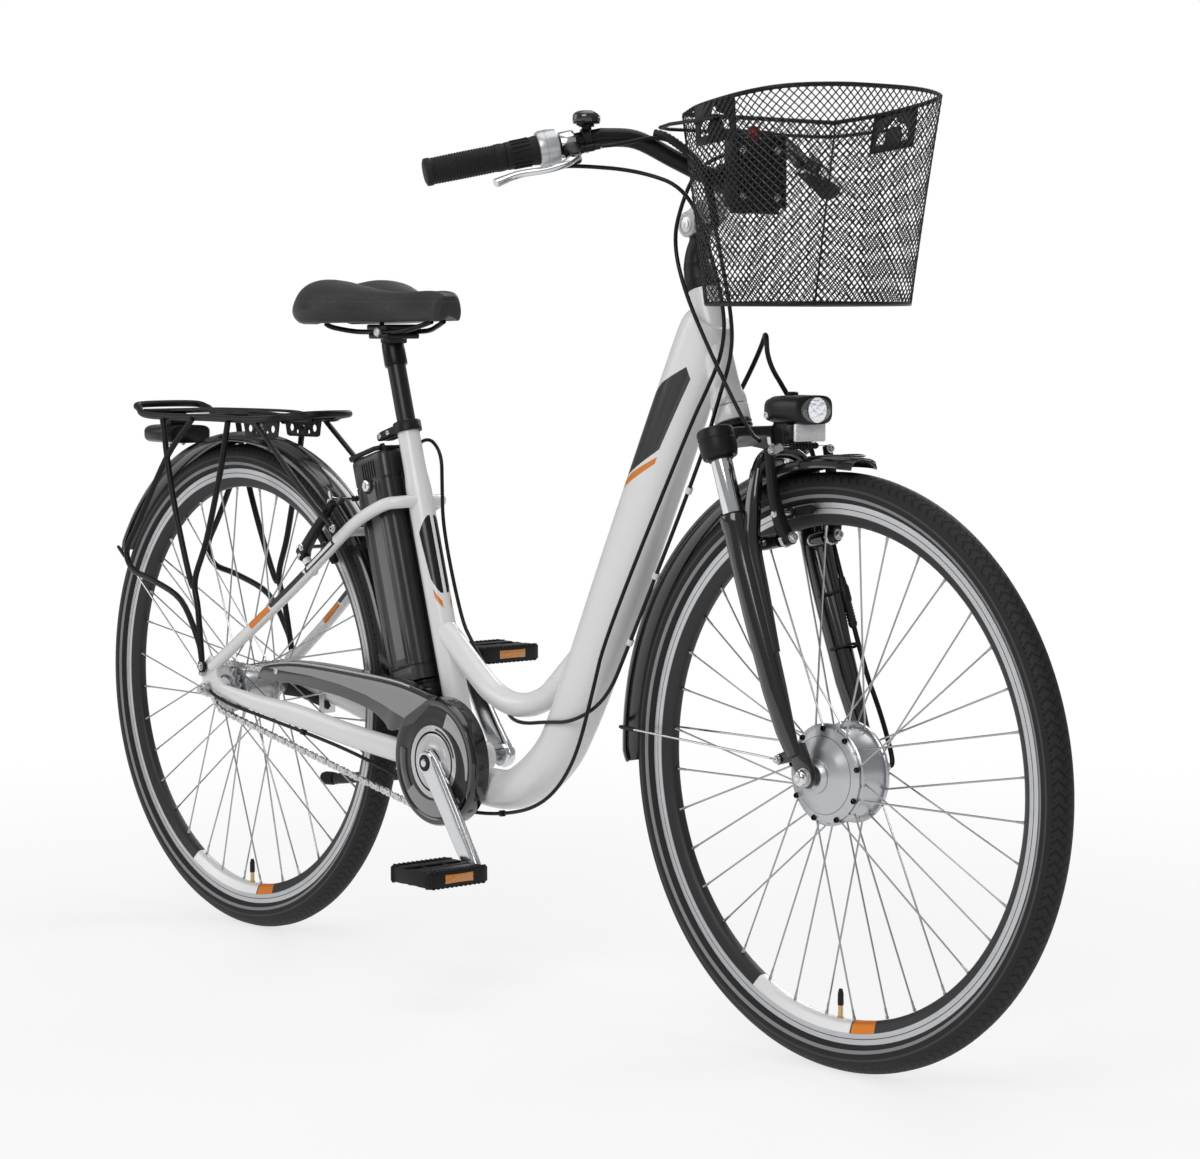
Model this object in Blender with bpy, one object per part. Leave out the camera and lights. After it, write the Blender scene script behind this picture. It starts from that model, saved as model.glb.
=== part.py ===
"""Electric city bike: step-through frame, front hub motor, seat-tube battery, rack and front basket.

Metres, +Z up, +X is the way it rides, +Y is its left side. The origin is on the ground between the axles.
Places below are measured from the ground under the rear axle, and one empty moves them to the origin.
"""

import math

import bmesh
import bpy
from mathutils import Vector

# Fits
GAP = 0.0003
RUNNING_GAP = 0.0004

# Sides of a round piece, by its size
BIG_ROUND = 16
ROUND = 12
SMALL_ROUND = 8
TINY_ROUND = 6
THIN_TUBE_ROUND = 5

# Wheels
WHEELBASE = 1.22
WHEEL_RADIUS = 0.352
AXLE_HEIGHT = 0.352
TYRE_WIDTH = 0.041
RIM_EDGE_RADIUS = WHEEL_RADIUS - 0.0355
RIM_SHOULDER_RADIUS = RIM_EDGE_RADIUS - 0.0135
RIM_BED_RADIUS = RIM_EDGE_RADIUS - 0.0265
RIM_WIDTH = 0.025
RIM_BED_WIDTH = 0.012
SPOKE_COUNT = 36
SPOKE_RADIUS = 0.001
VALVE_RADIUS = 0.0032
VALVE_LENGTH = 0.036
WHEEL_SEGMENTS = 32

# Hubs and axles
REAR_HUB_WIDTH = 0.135
FRONT_HUB_WIDTH = 0.104
REAR_AXLE_RADIUS = 0.005
FRONT_AXLE_RADIUS = 0.006
AXLE_NUT_RADIUS = 0.0088
AXLE_NUT_LENGTH = 0.010
REAR_FLANGE_RADIUS = 0.034
REAR_FLANGE_SPACING = 0.058
DRIVER_RADIUS = 0.018
MOTOR_FLANGE_RADIUS = 0.060
MOTOR_DRUM_RADIUS = 0.054
MOTOR_RIGHT_FLANGE = -0.0225
MOTOR_LEFT_FLANGE = 0.017
FLANGE_THICKNESS = 0.0052

# Drive
CHAIN_PITCH = 0.0127
CHAINRING_TEETH = 38
SPROCKET_TEETH = 18
CHAIN_LINE = 0.042
CHAIN_WIDTH = 0.007
CHAIN_HEIGHT = 0.008
CRANK_LENGTH = 0.1685
CRANK_ANGLE = -48.4
CRANK_BOSS_RADIUS = 0.014
CRANK_INNER = 0.060
CRANK_THICKNESS = 0.012
PEDAL_LENGTH = 0.096
PEDAL_WIDTH = 0.086
PEDAL_HEIGHT = 0.024
SPINDLE_RADIUS = 0.0045
GUARD_RADIUS = 0.0855
GUARD_OUTER = 0.057
GUARD_WALL = 0.0022

# Frame
BRACKET_FORWARD = 0.511
BRACKET_HEIGHT = 0.297
SHELL_RADIUS = 0.0205
SHELL_WIDTH = 0.068
BRACKET_AXLE_RADIUS = 0.0085
SEAT_ANGLE = 73.8
SEAT_TUBE_LENGTH = 0.466
SEAT_TUBE_RADIUS = 0.0175
SEAT_TUBE_TOP_RADIUS = 0.0152
HEAD_ANGLE = 71.0
RAKE = 0.045
HEAD_TUBE_FOOT = 0.4639
HEAD_TUBE_LENGTH = 0.1487
HEAD_TUBE_RADIUS = 0.018
HEADSET_RADIUS = 0.0222
CUP_HEIGHT = 0.012
LOCKNUT_HEIGHT = 0.0290
DOWN_TUBE_HALF_WIDTH = 0.026
BRACE_RADIUS = 0.016
SEAT_STAY_RADIUS = 0.0085
DROPOUT_THICKNESS = 0.006

# Fork
STEERER_RADIUS = 0.0143
STANCHION_RADIUS = 0.0127
LEG_SPREAD = 0.060
LEG_OFFSET = 0.028
LEG_RADIUS = 0.0165
LEG_TOP = 0.321
CROWN_RADIUS = 0.0225
CROWN_FOOT = 0.392
CROWN_HEIGHT = 0.037
FORK_TRAVEL = 0.035

# Seat
POST_RADIUS = 0.0127
POST_TOP = 0.566
SADDLE_LENGTH = 0.268
SADDLE_HALF_WIDTH = 0.100

# Cockpit
BAR_RADIUS = 0.0111
BAR_CENTRE_RADIUS = 0.0127
GRIP_RADIUS = 0.0165
BAR_HALF_WIDTH = 0.327
STEM_FORWARD = 0.075
STEM_RISE = 0.052
STEM_EYE_RADIUS = 0.0155
STEM_CLAMP_RADIUS = 0.0195
STEM_CLAMP_HALF_WIDTH = 0.021

# Basket
BASKET_WALL = 0.003
HANDLE_WIRE_RADIUS = 0.0022

# Rack and mudguards
RACK_TUBE_RADIUS = 0.005
RACK_HEIGHT = 0.742
MUDGUARD_RADIUS = WHEEL_RADIUS + 0.014
MUDGUARD_HALF_WIDTH = 0.027
MUDGUARD_WALL = 0.0015
STAY_WIRE_RADIUS = 0.002

# Battery
BATTERY_DEPTH = 0.080
BATTERY_WIDTH = 0.070
BATTERY_FOOT = 0.115
BATTERY_LENGTH = 0.320
LOCK_RADIUS = 0.008

CABLE_RADIUS = 0.0025
LEAD_RADIUS = 0.003

SIDEWAYS = Vector((0, 1, 0))
UP = Vector((0, 0, 1))
RIGHT, LEFT = -1, 1
SIDES = (("right", RIGHT), ("left", LEFT))

# Colour, roughness and metallic value of each finish.
FINISHES = {
    "white_paint": ((0.84, 0.85, 0.86), 0.25, 0.0),
    "black_paint": ((0.015, 0.015, 0.017), 0.3, 0.0),
    "black_plastic": ((0.02, 0.02, 0.022), 0.45, 0.0),
    "rubber": ((0.03, 0.03, 0.032), 0.8, 0.0),
    "alloy": ((0.72, 0.73, 0.75), 0.35, 1.0),
    "chrome": ((0.8, 0.8, 0.82), 0.12, 1.0),
    "dark_alloy": ((0.16, 0.16, 0.17), 0.4, 1.0),
    "steel": ((0.6, 0.6, 0.61), 0.3, 1.0),
    "red_plastic": ((0.5, 0.02, 0.02), 0.3, 0.0),
    "leather": ((0.03, 0.03, 0.032), 0.6, 0.0),
}

for old in list(bpy.data.objects):
    bpy.data.objects.remove(old)

helpers = bpy.data.collections.new("joined_shapes")
bpy.context.scene.collection.children.link(helpers)
helpers.hide_render = True


def shape(name, bm):
    """A mesh object with its faces pointing out."""
    bmesh.ops.recalc_face_normals(bm, faces=bm.faces)
    mesh = bpy.data.meshes.new(name)
    bm.to_mesh(mesh)
    bm.free()
    mesh.shade_smooth()
    mesh.set_sharp_from_angle(angle=math.radians(35))
    made = bpy.data.objects.new(name, mesh)
    bpy.context.scene.collection.objects.link(made)
    return made


def lofted(name, rings, closed=False):
    """A skin over rings of points: capped at both ends, or closed round on itself."""
    bm = bmesh.new()
    rows = [[bm.verts.new(point) for point in ring] for ring in rings]
    count = len(rows[0])
    following = rows[1:] + rows[:1] if closed else rows[1:]
    for first, second in zip(rows, following):
        for i in range(count):
            j = (i + 1) % count
            bm.faces.new((first[i], first[j], second[j], second[i]))
    if not closed:
        bm.faces.new(rows[0])
        bm.faces.new(rows[-1])
    return shape(name, bm)


def section(centre, across, depth, half_width, half_depth, count, power):
    """A superellipse round a centre: power 2 is an ellipse, and a higher power is boxier."""
    points = []
    for i in range(count):
        angle = 2 * math.pi * (i + 0.5) / count
        c, s = math.cos(angle), math.sin(angle)
        x = math.copysign(abs(c) ** (2 / power), c)
        y = math.copysign(abs(s) ** (2 / power), s)
        points.append(centre + across * (half_width * x) + depth * (half_depth * y))
    return points


def listed(value, count):
    return list(value) if isinstance(value, (list, tuple)) else [value] * count


def swept(name, route, half_width, half_depth=None, count=10, side=SIDEWAYS, power=2, closed=False):
    """A tube along a route, its section carried round the bends without twist."""
    route = [Vector(point) for point in route]
    widths = listed(half_width, len(route))
    depths = widths if half_depth is None else listed(half_depth, len(route))
    last = len(route) - 1
    across = None
    rings = []
    for i, point in enumerate(route):
        before = route[i - 1] if i or closed else route[0]
        after = route[(i + 1) % len(route)] if i < last or closed else route[last]
        along = (after - before).normalized()
        across = (across or side) - along * along.dot(across or side)
        across.normalize()
        rings.append(section(point, across, along.cross(across), widths[i], depths[i], count, power))
    return lofted(name, rings, closed)


def rounded(points, steps=4, closed=False):
    """Points read from a smooth curve through the route's own points."""
    points = [Vector(point) for point in points]
    count = len(points)
    spans = count if closed else count - 1
    found = []
    for i in range(spans):
        p1, p2 = points[i], points[(i + 1) % count]
        p0 = points[i - 1] if i or closed else p1 * 2 - p2
        p3 = points[(i + 2) % count] if i + 2 < count or closed else p2 * 2 - p1
        for k in range(steps):
            t = k / steps
            found.append(
                (p1 * 2 + (p2 - p0) * t + (p0 * 2 - p1 * 5 + p2 * 4 - p3) * t**2
                 + (p1 * 3 - p0 - p2 * 3 + p3) * t**3) / 2
            )
    if not closed:
        found.append(points[-1])
    return found


def turned(name, profile, centre, axis=SIDEWAYS, segments=ROUND, ring=False):
    """Profile points (radius, place along the axis) turned round it, capped or closed into a ring."""
    axis = Vector(axis).normalized()
    start = UP if abs(axis.dot(UP)) < 0.9 else Vector((1, 0, 0))
    across = (start - axis * axis.dot(start)).normalized()
    depth = axis.cross(across)
    rings = []
    for radius, along in profile:
        middle = Vector(centre) + axis * along
        rings.append([
            middle + across * (radius * math.cos(2 * math.pi * i / segments))
            + depth * (radius * math.sin(2 * math.pi * i / segments))
            for i in range(segments)
        ])
    return lofted(name, rings, ring)


def hole(radius, gap=GAP, segments=ROUND):
    """The corner radius of a hole with flat sides, so that a round piece of this radius clears it."""
    return (radius + gap) / math.cos(math.pi / segments)


def rod(name, start, end, radius, segments=SMALL_ROUND):
    start, end = Vector(start), Vector(end)
    along = end - start
    return turned(name, [(radius, 0), (radius, along.length)], start, along, segments)


def extruded(name, outline, near, far):
    """A plate: an outline of (x, z) points between two values of y."""
    return lofted(name, [[Vector((x, y, z)) for x, z in outline] for y in (near, far)])


def block(name, low, high, bevel=0.0):
    """A box between two corners with its edges rounded off."""
    low, high = Vector(low), Vector(high)
    bm = bmesh.new()
    bmesh.ops.create_cube(bm, size=1.0)
    size = high - low
    middle = (low + high) / 2
    for vert in bm.verts:
        vert.co = Vector([middle[i] + vert.co[i] * size[i] for i in range(3)])
    if bevel:
        bmesh.ops.bevel(bm, geom=bm.edges, offset=bevel, segments=1, affect="EDGES")
    return shape(name, bm)


def joined(name, pieces, cuts=()):
    """The first piece with the others joined on and the cuts taken out, as one closed body."""
    body = pieces[0]
    body.name = name
    for operation, others in (("UNION", pieces[1:]), ("DIFFERENCE", cuts)):
        if not others:
            continue
        group = bpy.data.collections.new(f"{name}_{operation.lower()}")
        helpers.children.link(group)
        for other in others:
            bpy.context.scene.collection.objects.unlink(other)
            group.objects.link(other)
            other.parent = body
            other.hide_render = True
            other.display_type = "WIRE"
        modifier = body.modifiers.new(operation.title(), "BOOLEAN")
        modifier.operation = operation
        modifier.operand_type = "COLLECTION"
        modifier.collection = group
    return body


def pivot(name, place, parent=None):
    """An empty on a joint's axis."""
    made = bpy.data.objects.new(name, None)
    bpy.context.scene.collection.objects.link(made)
    made.parent = parent
    made["place"] = list(place)
    base = Vector(parent["place"]) if parent else Vector((0, 0, 0))
    made.location = Vector(place) - base
    return made


def seat(piece, finish, parent):
    """Gives a finished piece its material and hangs it on a pivot, where it was modelled."""
    colour, roughness, metallic = FINISHES[finish]
    made = bpy.data.materials.new(f"{piece.name}_{finish}")
    made.use_nodes = True
    shader = made.node_tree.nodes["Principled BSDF"]
    shader.inputs["Base Color"].default_value = (*colour, 1)
    shader.inputs["Roughness"].default_value = roughness
    shader.inputs["Metallic"].default_value = metallic
    made.diffuse_color = (*colour, 1)
    piece.data.materials.append(made)
    piece.parent = parent
    piece.location = -Vector(parent["place"])
    return piece


def mirrored(point, side):
    """A point given for the left half, on the side asked for."""
    return Vector((point[0], point[1] * side, point[2]))


def both(points):
    """A route across the middle, from its left half given end first."""
    half = [Vector(point) for point in points]
    return half + [mirrored(point, RIGHT) for point in reversed(half) if abs(point[1]) > 1e-6]


# Places that other pieces are set by.
REAR_AXLE = Vector((0, 0, AXLE_HEIGHT))
FRONT_AXLE = Vector((WHEELBASE, 0, AXLE_HEIGHT))
BRACKET = Vector((BRACKET_FORWARD, 0, BRACKET_HEIGHT))
SEAT_LINE = Vector((-math.cos(math.radians(SEAT_ANGLE)), 0, math.sin(math.radians(SEAT_ANGLE))))
SEAT_BACK = Vector((-SEAT_LINE.z, 0, SEAT_LINE.x))
STEER_LINE = Vector((-math.cos(math.radians(HEAD_ANGLE)), 0, math.sin(math.radians(HEAD_ANGLE))))
STEER_FRONT = Vector((STEER_LINE.z, 0, -STEER_LINE.x))
HEAD_TUBE_TOP = HEAD_TUBE_FOOT + HEAD_TUBE_LENGTH
CROWN_TOP = CROWN_FOOT + CROWN_HEIGHT


def steer(forward, side, up):
    """A point by its place ahead of the steering axis, to the left, and up it from axle height."""
    return FRONT_AXLE + STEER_FRONT * (forward - RAKE) + SIDEWAYS * side + STEER_LINE * up


def behind_seat_tube(up, back, side=0.0):
    """A point by its place up the seat tube from the bottom bracket, behind it, and to the left."""
    return BRACKET + SEAT_LINE * up + SEAT_BACK * back + SIDEWAYS * side


HEAD_FOOT = steer(0, 0, HEAD_TUBE_FOOT)


def toward_head(reach, rise, side=0.0):
    """A point by its shares of the reach and the rise from the bottom bracket to the head tube's foot."""
    span = HEAD_FOOT - BRACKET
    return Vector((BRACKET.x + span.x * reach, side, BRACKET.z + span.z * rise))


bike = pivot("bike", (0, 0, 0))
# A larger wheel lifts the whole bike, because everything is placed from the axles' own height
bike.location = (-WHEELBASE / 2, 0, WHEEL_RADIUS - AXLE_HEIGHT)
bike["place"] = [0, 0, 0]


# Wheels
def tyre(name, axle):
    """A solid of the tyre's outer shape, its beads on the rim's edges."""
    half = TYRE_WIDTH / 2
    middle = WHEEL_RADIUS - half
    bead = math.acos((RIM_EDGE_RADIUS + GAP - middle) / half)
    steps = 4
    profile = []
    for i in range(steps + 1):
        angle = bead * (2 * i / steps - 1)
        profile.append((middle + half * math.cos(angle), half * math.sin(angle)))
    return turned(name, profile, axle, segments=WHEEL_SEGMENTS, ring=True)


def rim(name, axle):
    half, bed = RIM_WIDTH / 2, RIM_BED_WIDTH / 2
    profile = [
        (RIM_EDGE_RADIUS, -half), (RIM_EDGE_RADIUS, half), (RIM_SHOULDER_RADIUS, half),
        (RIM_BED_RADIUS, bed), (RIM_BED_RADIUS, -bed), (RIM_SHOULDER_RADIUS, -half),
    ]
    return turned(name, profile, axle, segments=WHEEL_SEGMENTS, ring=True)


def valve(name, axle):
    """The valve stem with its cap, at the bottom of the rim."""
    profile = [(VALVE_RADIUS, -RIM_SHOULDER_RADIUS), (VALVE_RADIUS, VALVE_LENGTH - RIM_BED_RADIUS)]
    return turned(name, profile, axle, UP, TINY_ROUND)


def spokes(name, axle, flanges, flange_radius, crossing):
    """Thin rods from the two flanges to just short of the rim's bed, crossing in pairs on each side."""
    bed = RIM_BED_RADIUS * math.cos(math.pi / WHEEL_SEGMENTS) - 2 * GAP
    root = flange_radius - 3 * SPOKE_RADIUS
    made = []
    for i in range(SPOKE_COUNT):
        rim_angle = math.radians(275 + 360 * i / SPOKE_COUNT)
        leading = (i // 2) % 2
        hub_angle = rim_angle + math.radians(crossing if leading else -crossing)
        clear = SPOKE_RADIUS + GAP if leading else -SPOKE_RADIUS - GAP
        side = flanges[i % 2] + clear
        start = axle + Vector((root * math.cos(hub_angle), side, root * math.sin(hub_angle)))
        rim_side = math.copysign(RIM_BED_WIDTH / 6, side) + clear
        end = axle + Vector((bed * math.cos(rim_angle), rim_side, bed * math.sin(rim_angle)))
        made.append(rod(f"{name}_spoke_{i}", start, end, SPOKE_RADIUS, 3))
    return made


# Front wheel with its hub motor
steering = pivot("steering_axis", steer(0, 0, HEAD_TUBE_FOOT), bike)
lowers = pivot("fork_slide_axis", steer(LEG_OFFSET, 0, LEG_TOP), steering)
front_spin = pivot("front_wheel_axis", FRONT_AXLE, lowers)
rear_spin = pivot("rear_wheel_axis", REAR_AXLE, bike)

seat(tyre("front_tyre", FRONT_AXLE), "rubber", front_spin)
seat(joined("front_rim", [rim("ring", FRONT_AXLE), valve("valve", FRONT_AXLE)]), "alloy", front_spin)

FRONT_BORE = FRONT_AXLE_RADIUS + RUNNING_GAP
half_flange = FLANGE_THICKNESS / 2
motor_profile = [
    (FRONT_BORE, MOTOR_RIGHT_FLANGE - half_flange),
    (MOTOR_FLANGE_RADIUS, MOTOR_RIGHT_FLANGE - half_flange),
    (MOTOR_FLANGE_RADIUS, MOTOR_RIGHT_FLANGE + half_flange),
    (MOTOR_DRUM_RADIUS, MOTOR_RIGHT_FLANGE + half_flange),
    (MOTOR_DRUM_RADIUS, MOTOR_LEFT_FLANGE - half_flange),
    (MOTOR_FLANGE_RADIUS, MOTOR_LEFT_FLANGE - half_flange),
    (MOTOR_FLANGE_RADIUS, MOTOR_LEFT_FLANGE + half_flange),
    (MOTOR_DRUM_RADIUS * 0.95, MOTOR_LEFT_FLANGE + 0.005),
    (MOTOR_DRUM_RADIUS * 0.7, MOTOR_LEFT_FLANGE + 0.014),
    (0.020, MOTOR_LEFT_FLANGE + 0.018),
    (0.016, FRONT_HUB_WIDTH / 2 - 0.010),
    (FRONT_BORE, FRONT_HUB_WIDTH / 2 - 0.010),
]
motor = turned("motor", motor_profile, FRONT_AXLE, segments=BIG_ROUND, ring=True)
front_flanges = (MOTOR_RIGHT_FLANGE, MOTOR_LEFT_FLANGE)
front_spokes = spokes("front", FRONT_AXLE, front_flanges, MOTOR_FLANGE_RADIUS, 20)
seat(joined("motor_drum_and_spokes", [motor] + front_spokes), "alloy", front_spin)

cover_start = -MOTOR_RIGHT_FLANGE + half_flange + GAP
cover_profile = [
    (FRONT_BORE, -cover_start),
    (MOTOR_DRUM_RADIUS, -cover_start),
    (MOTOR_DRUM_RADIUS, -cover_start - 0.004),
    (MOTOR_DRUM_RADIUS * 0.8, -cover_start - 0.009),
    (MOTOR_DRUM_RADIUS * 0.55, -cover_start - 0.014),
    (0.020, -FRONT_HUB_WIDTH / 2 + 0.009),
    (0.014, -FRONT_HUB_WIDTH / 2 + 0.004),
    (FRONT_BORE, -FRONT_HUB_WIDTH / 2 + 0.004),
]
seat(turned("motor_side_cover", cover_profile, FRONT_AXLE, segments=BIG_ROUND, ring=True), "alloy",
    front_spin)

# Rear wheel with its geared hub
seat(tyre("rear_tyre", REAR_AXLE), "rubber", rear_spin)
seat(joined("rear_rim", [rim("ring", REAR_AXLE), valve("valve", REAR_AXLE)]), "alloy", rear_spin)

REAR_BORE = REAR_AXLE_RADIUS + RUNNING_GAP
DRIVER_END = CHAIN_LINE + 0.0030
half_spacing = REAR_FLANGE_SPACING / 2
rear_hub_profile = [
    (REAR_BORE, -DRIVER_END),
    (DRIVER_RADIUS, -DRIVER_END),
    (DRIVER_RADIUS, -half_spacing - 0.003),
    (0.026, -half_spacing - 0.003),
    (REAR_FLANGE_RADIUS, -half_spacing - half_flange),
    (REAR_FLANGE_RADIUS, -half_spacing + half_flange),
    (0.025, -half_spacing + 0.005),
    (0.023, half_spacing - 0.005),
    (REAR_FLANGE_RADIUS, half_spacing - half_flange),
    (REAR_FLANGE_RADIUS, half_spacing + half_flange),
    (0.024, half_spacing + 0.008),
    (REAR_BORE, half_spacing + 0.008),
]
rear_hub = turned("hub", rear_hub_profile, REAR_AXLE, segments=BIG_ROUND, ring=True)
rear_spokes = spokes("rear", REAR_AXLE, (-half_spacing, half_spacing), REAR_FLANGE_RADIUS, 60)
seat(joined("rear_hub_and_spokes", [rear_hub] + rear_spokes), "alloy", rear_spin)

# Frame
SHELL_HALF = SHELL_WIDTH / 2
DROPOUT_INNER = REAR_HUB_WIDTH / 2
DROPOUT_OUTER = DROPOUT_INNER + DROPOUT_THICKNESS
DROPOUT_MIDDLE = (DROPOUT_INNER + DROPOUT_OUTER) / 2

# Down tube, head end last: shares of reach and rise, and half its depth.
DOWN_TUBE_ROUTE = (
    (0.030, -0.066, 0.024), (0.170, -0.068, 0.026), (0.265, -0.033, 0.029), (0.367, 0.052, 0.032),
    (0.435, 0.160, 0.035), (0.518, 0.327, 0.038), (0.645, 0.597, 0.040), (0.796, 0.920, 0.040),
    (0.921, 1.192, 0.038),
)
BRACE_ROUTE = (
    (-0.086, 0.351), (0.0527, 0.237), (0.115, 0.195), (0.187, 0.172), (0.261, 0.176), (0.327, 0.202),
    (0.368, 0.235), (0.50, 0.36),
)
# Right-hand stays as seen from the left side: forward, out, up.
SEAT_STAY_ROUTE = (
    (0.416, 0.006, 0.638), (0.409, 0.033, 0.637), (0.390, 0.0458, 0.633), (0.341, 0.0495, 0.612),
    (0.290, 0.051, 0.580), (0.198, 0.055, 0.514), (0.109, 0.064, 0.452), (0.008, DROPOUT_MIDDLE, 0.385),
)
CHAINSTAY_ROUTE = (
    (0.500, 0.018, 0.294), (0.440, 0.0285, 0.296), (0.370, 0.037, 0.304), (0.300, 0.0475, 0.3145),
    (0.200, 0.058, 0.331), (0.120, 0.0665, 0.341), (0.030, DROPOUT_MIDDLE, 0.353),
)
CHAINSTAY_HALF_DEPTH = (0.017, 0.017, 0.0165, 0.016, 0.0155, 0.0125, 0.0095)
CHAINSTAY_HALF_WIDTH = (0.009, 0.0085, 0.0085, 0.009, 0.0095, 0.009, 0.0040)
DROPOUT_OUTLINE = (
    (-0.013, 0.342), (0.010, 0.340), (0.040, 0.346), (0.042, 0.360), (0.022, 0.372), (0.018, 0.398),
    (0.004, 0.401), (-0.010, 0.390), (-0.016, 0.368),
)

down_tube = swept(
    "down_tube",
    [toward_head(a, b) for a, b, depth in DOWN_TUBE_ROUTE],
    DOWN_TUBE_HALF_WIDTH,
    [depth for a, b, depth in DOWN_TUBE_ROUTE],
    count=ROUND, power=2.4,
)
head_tube = turned("head_tube", [
    (HEADSET_RADIUS, HEAD_TUBE_FOOT), (HEADSET_RADIUS, HEAD_TUBE_FOOT + 0.008),
    (HEAD_TUBE_RADIUS, HEAD_TUBE_FOOT + 0.030), (HEAD_TUBE_RADIUS, HEAD_TUBE_TOP),
], steer(0, 0, 0), STEER_LINE, ROUND)
seat_tube = swept(
    "seat_tube",
    [behind_seat_tube(up, 0) for up in (0, 0.37, 0.40, SEAT_TUBE_LENGTH)],
    [SEAT_TUBE_RADIUS, SEAT_TUBE_RADIUS, SEAT_TUBE_TOP_RADIUS, SEAT_TUBE_TOP_RADIUS], count=ROUND,
)
shell = turned("shell", [(SHELL_RADIUS, -SHELL_HALF), (SHELL_RADIUS, SHELL_HALF)], BRACKET)
brace = swept("brace", [toward_head(a, b) for a, b in BRACE_ROUTE], BRACE_RADIUS, count=SMALL_ROUND)

frame_pieces = [down_tube, head_tube, seat_tube, shell, brace]
for word, side in SIDES:
    stay = [mirrored(point, side) for point in SEAT_STAY_ROUTE]
    frame_pieces.append(swept(f"seat_stay_{word}", stay, SEAT_STAY_RADIUS, count=8))
    chainstay = [mirrored(point, side) for point in CHAINSTAY_ROUTE]
    frame_pieces.append(swept(
        f"chainstay_{word}", chainstay, list(CHAINSTAY_HALF_WIDTH), list(CHAINSTAY_HALF_DEPTH), count=8
    ))
    plate = sorted((DROPOUT_INNER * side, DROPOUT_OUTER * side))
    frame_pieces.append(extruded(f"dropout_{word}", DROPOUT_OUTLINE, *plate))

# The bridge between the seat stays, and the posts that the rear brake arms turn on.
BRIDGE = Vector((0.306, 0, 0.592))
REAR_BRAKE_PIVOT = Vector((0.211, 0.0520, 0.557))
BRAKE_POST_RADIUS = 0.004
frame_pieces.append(rod("stay_bridge", (BRIDGE.x, -0.047, BRIDGE.z), (BRIDGE.x, 0.047, BRIDGE.z), 0.006,
    10))


def wheel_radial(point, axle):
    """The direction from an axle out to a point, in the wheel's plane."""
    flat = Vector((point[0] - axle.x, 0, point[2] - axle.z))
    return flat.normalized()


rear_radial = wheel_radial(REAR_BRAKE_PIVOT, REAR_AXLE)
rear_tangent = Vector((-rear_radial.z, 0, rear_radial.x))
BRAKE_POST_LENGTH = 0.026
for word, side in SIDES:
    post = mirrored(REAR_BRAKE_PIVOT, side)
    frame_pieces.append(rod(
        f"rear_post_{word}", post - rear_tangent * 0.036,
        post + rear_tangent * (BRAKE_POST_LENGTH - 0.012),
        BRAKE_POST_RADIUS, 10,
    ))

# The kickstand's mount under the left chainstay, with the pin that its leg turns on.
STAND_PIVOT = Vector((0.370, 0.0510, 0.2560))
STAND_FOOT = Vector((0.080, 0.0740, 0.2180))
STAND_AXIS = Vector((0.042, 0.94, 0.34)).normalized()
STAND_PIN_RADIUS = 0.005
frame_pieces.append(block("stand_mount", (0.352, 0.0280, 0.2440), (0.388, 0.0460, 0.2950)))
frame_pieces.append(rod("stand_pin", STAND_PIVOT - STAND_AXIS * 0.012,
    STAND_PIVOT + STAND_AXIS * 0.0118, STAND_PIN_RADIUS))

POST_BORE = hole(POST_RADIUS)
frame_cuts = [
    turned("steerer_bore", [(STEERER_RADIUS + 0.001, HEAD_TUBE_FOOT - 0.01),
        (STEERER_RADIUS + 0.001, HEAD_TUBE_TOP + 0.01)],
           steer(0, 0, 0), STEER_LINE, ROUND),
    rod("post_bore", behind_seat_tube(0.20, 0), behind_seat_tube(SEAT_TUBE_LENGTH + 0.01, 0), POST_BORE,
        ROUND),
    turned("shell_bore", [(BRACKET_AXLE_RADIUS + RUNNING_GAP, -SHELL_WIDTH),
        (BRACKET_AXLE_RADIUS + RUNNING_GAP, SHELL_WIDTH)],
           BRACKET),
    turned("axle_bore", [(REAR_AXLE_RADIUS + GAP, -0.1), (REAR_AXLE_RADIUS + GAP, 0.1)], REAR_AXLE,
        segments=SMALL_ROUND),
    rod("post_slot", behind_seat_tube(SEAT_TUBE_LENGTH - 0.03, 0),
        behind_seat_tube(SEAT_TUBE_LENGTH - 0.03, -0.03), 0.0008, 6),
]
seat(joined("frame", frame_pieces, frame_cuts), "white_paint", bike)

# Headset: the cups stay in the head tube
cup_bore = STEERER_RADIUS + 0.001
lower_cup = [
    (cup_bore, HEAD_TUBE_FOOT - GAP - CUP_HEIGHT), (HEADSET_RADIUS, HEAD_TUBE_FOOT - GAP - CUP_HEIGHT),
    (HEADSET_RADIUS, HEAD_TUBE_FOOT - GAP), (cup_bore, HEAD_TUBE_FOOT - GAP),
]
seat(turned("lower_headset_cup", lower_cup, steer(0, 0, 0), STEER_LINE, ROUND, ring=True), "chrome", bike)

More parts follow.
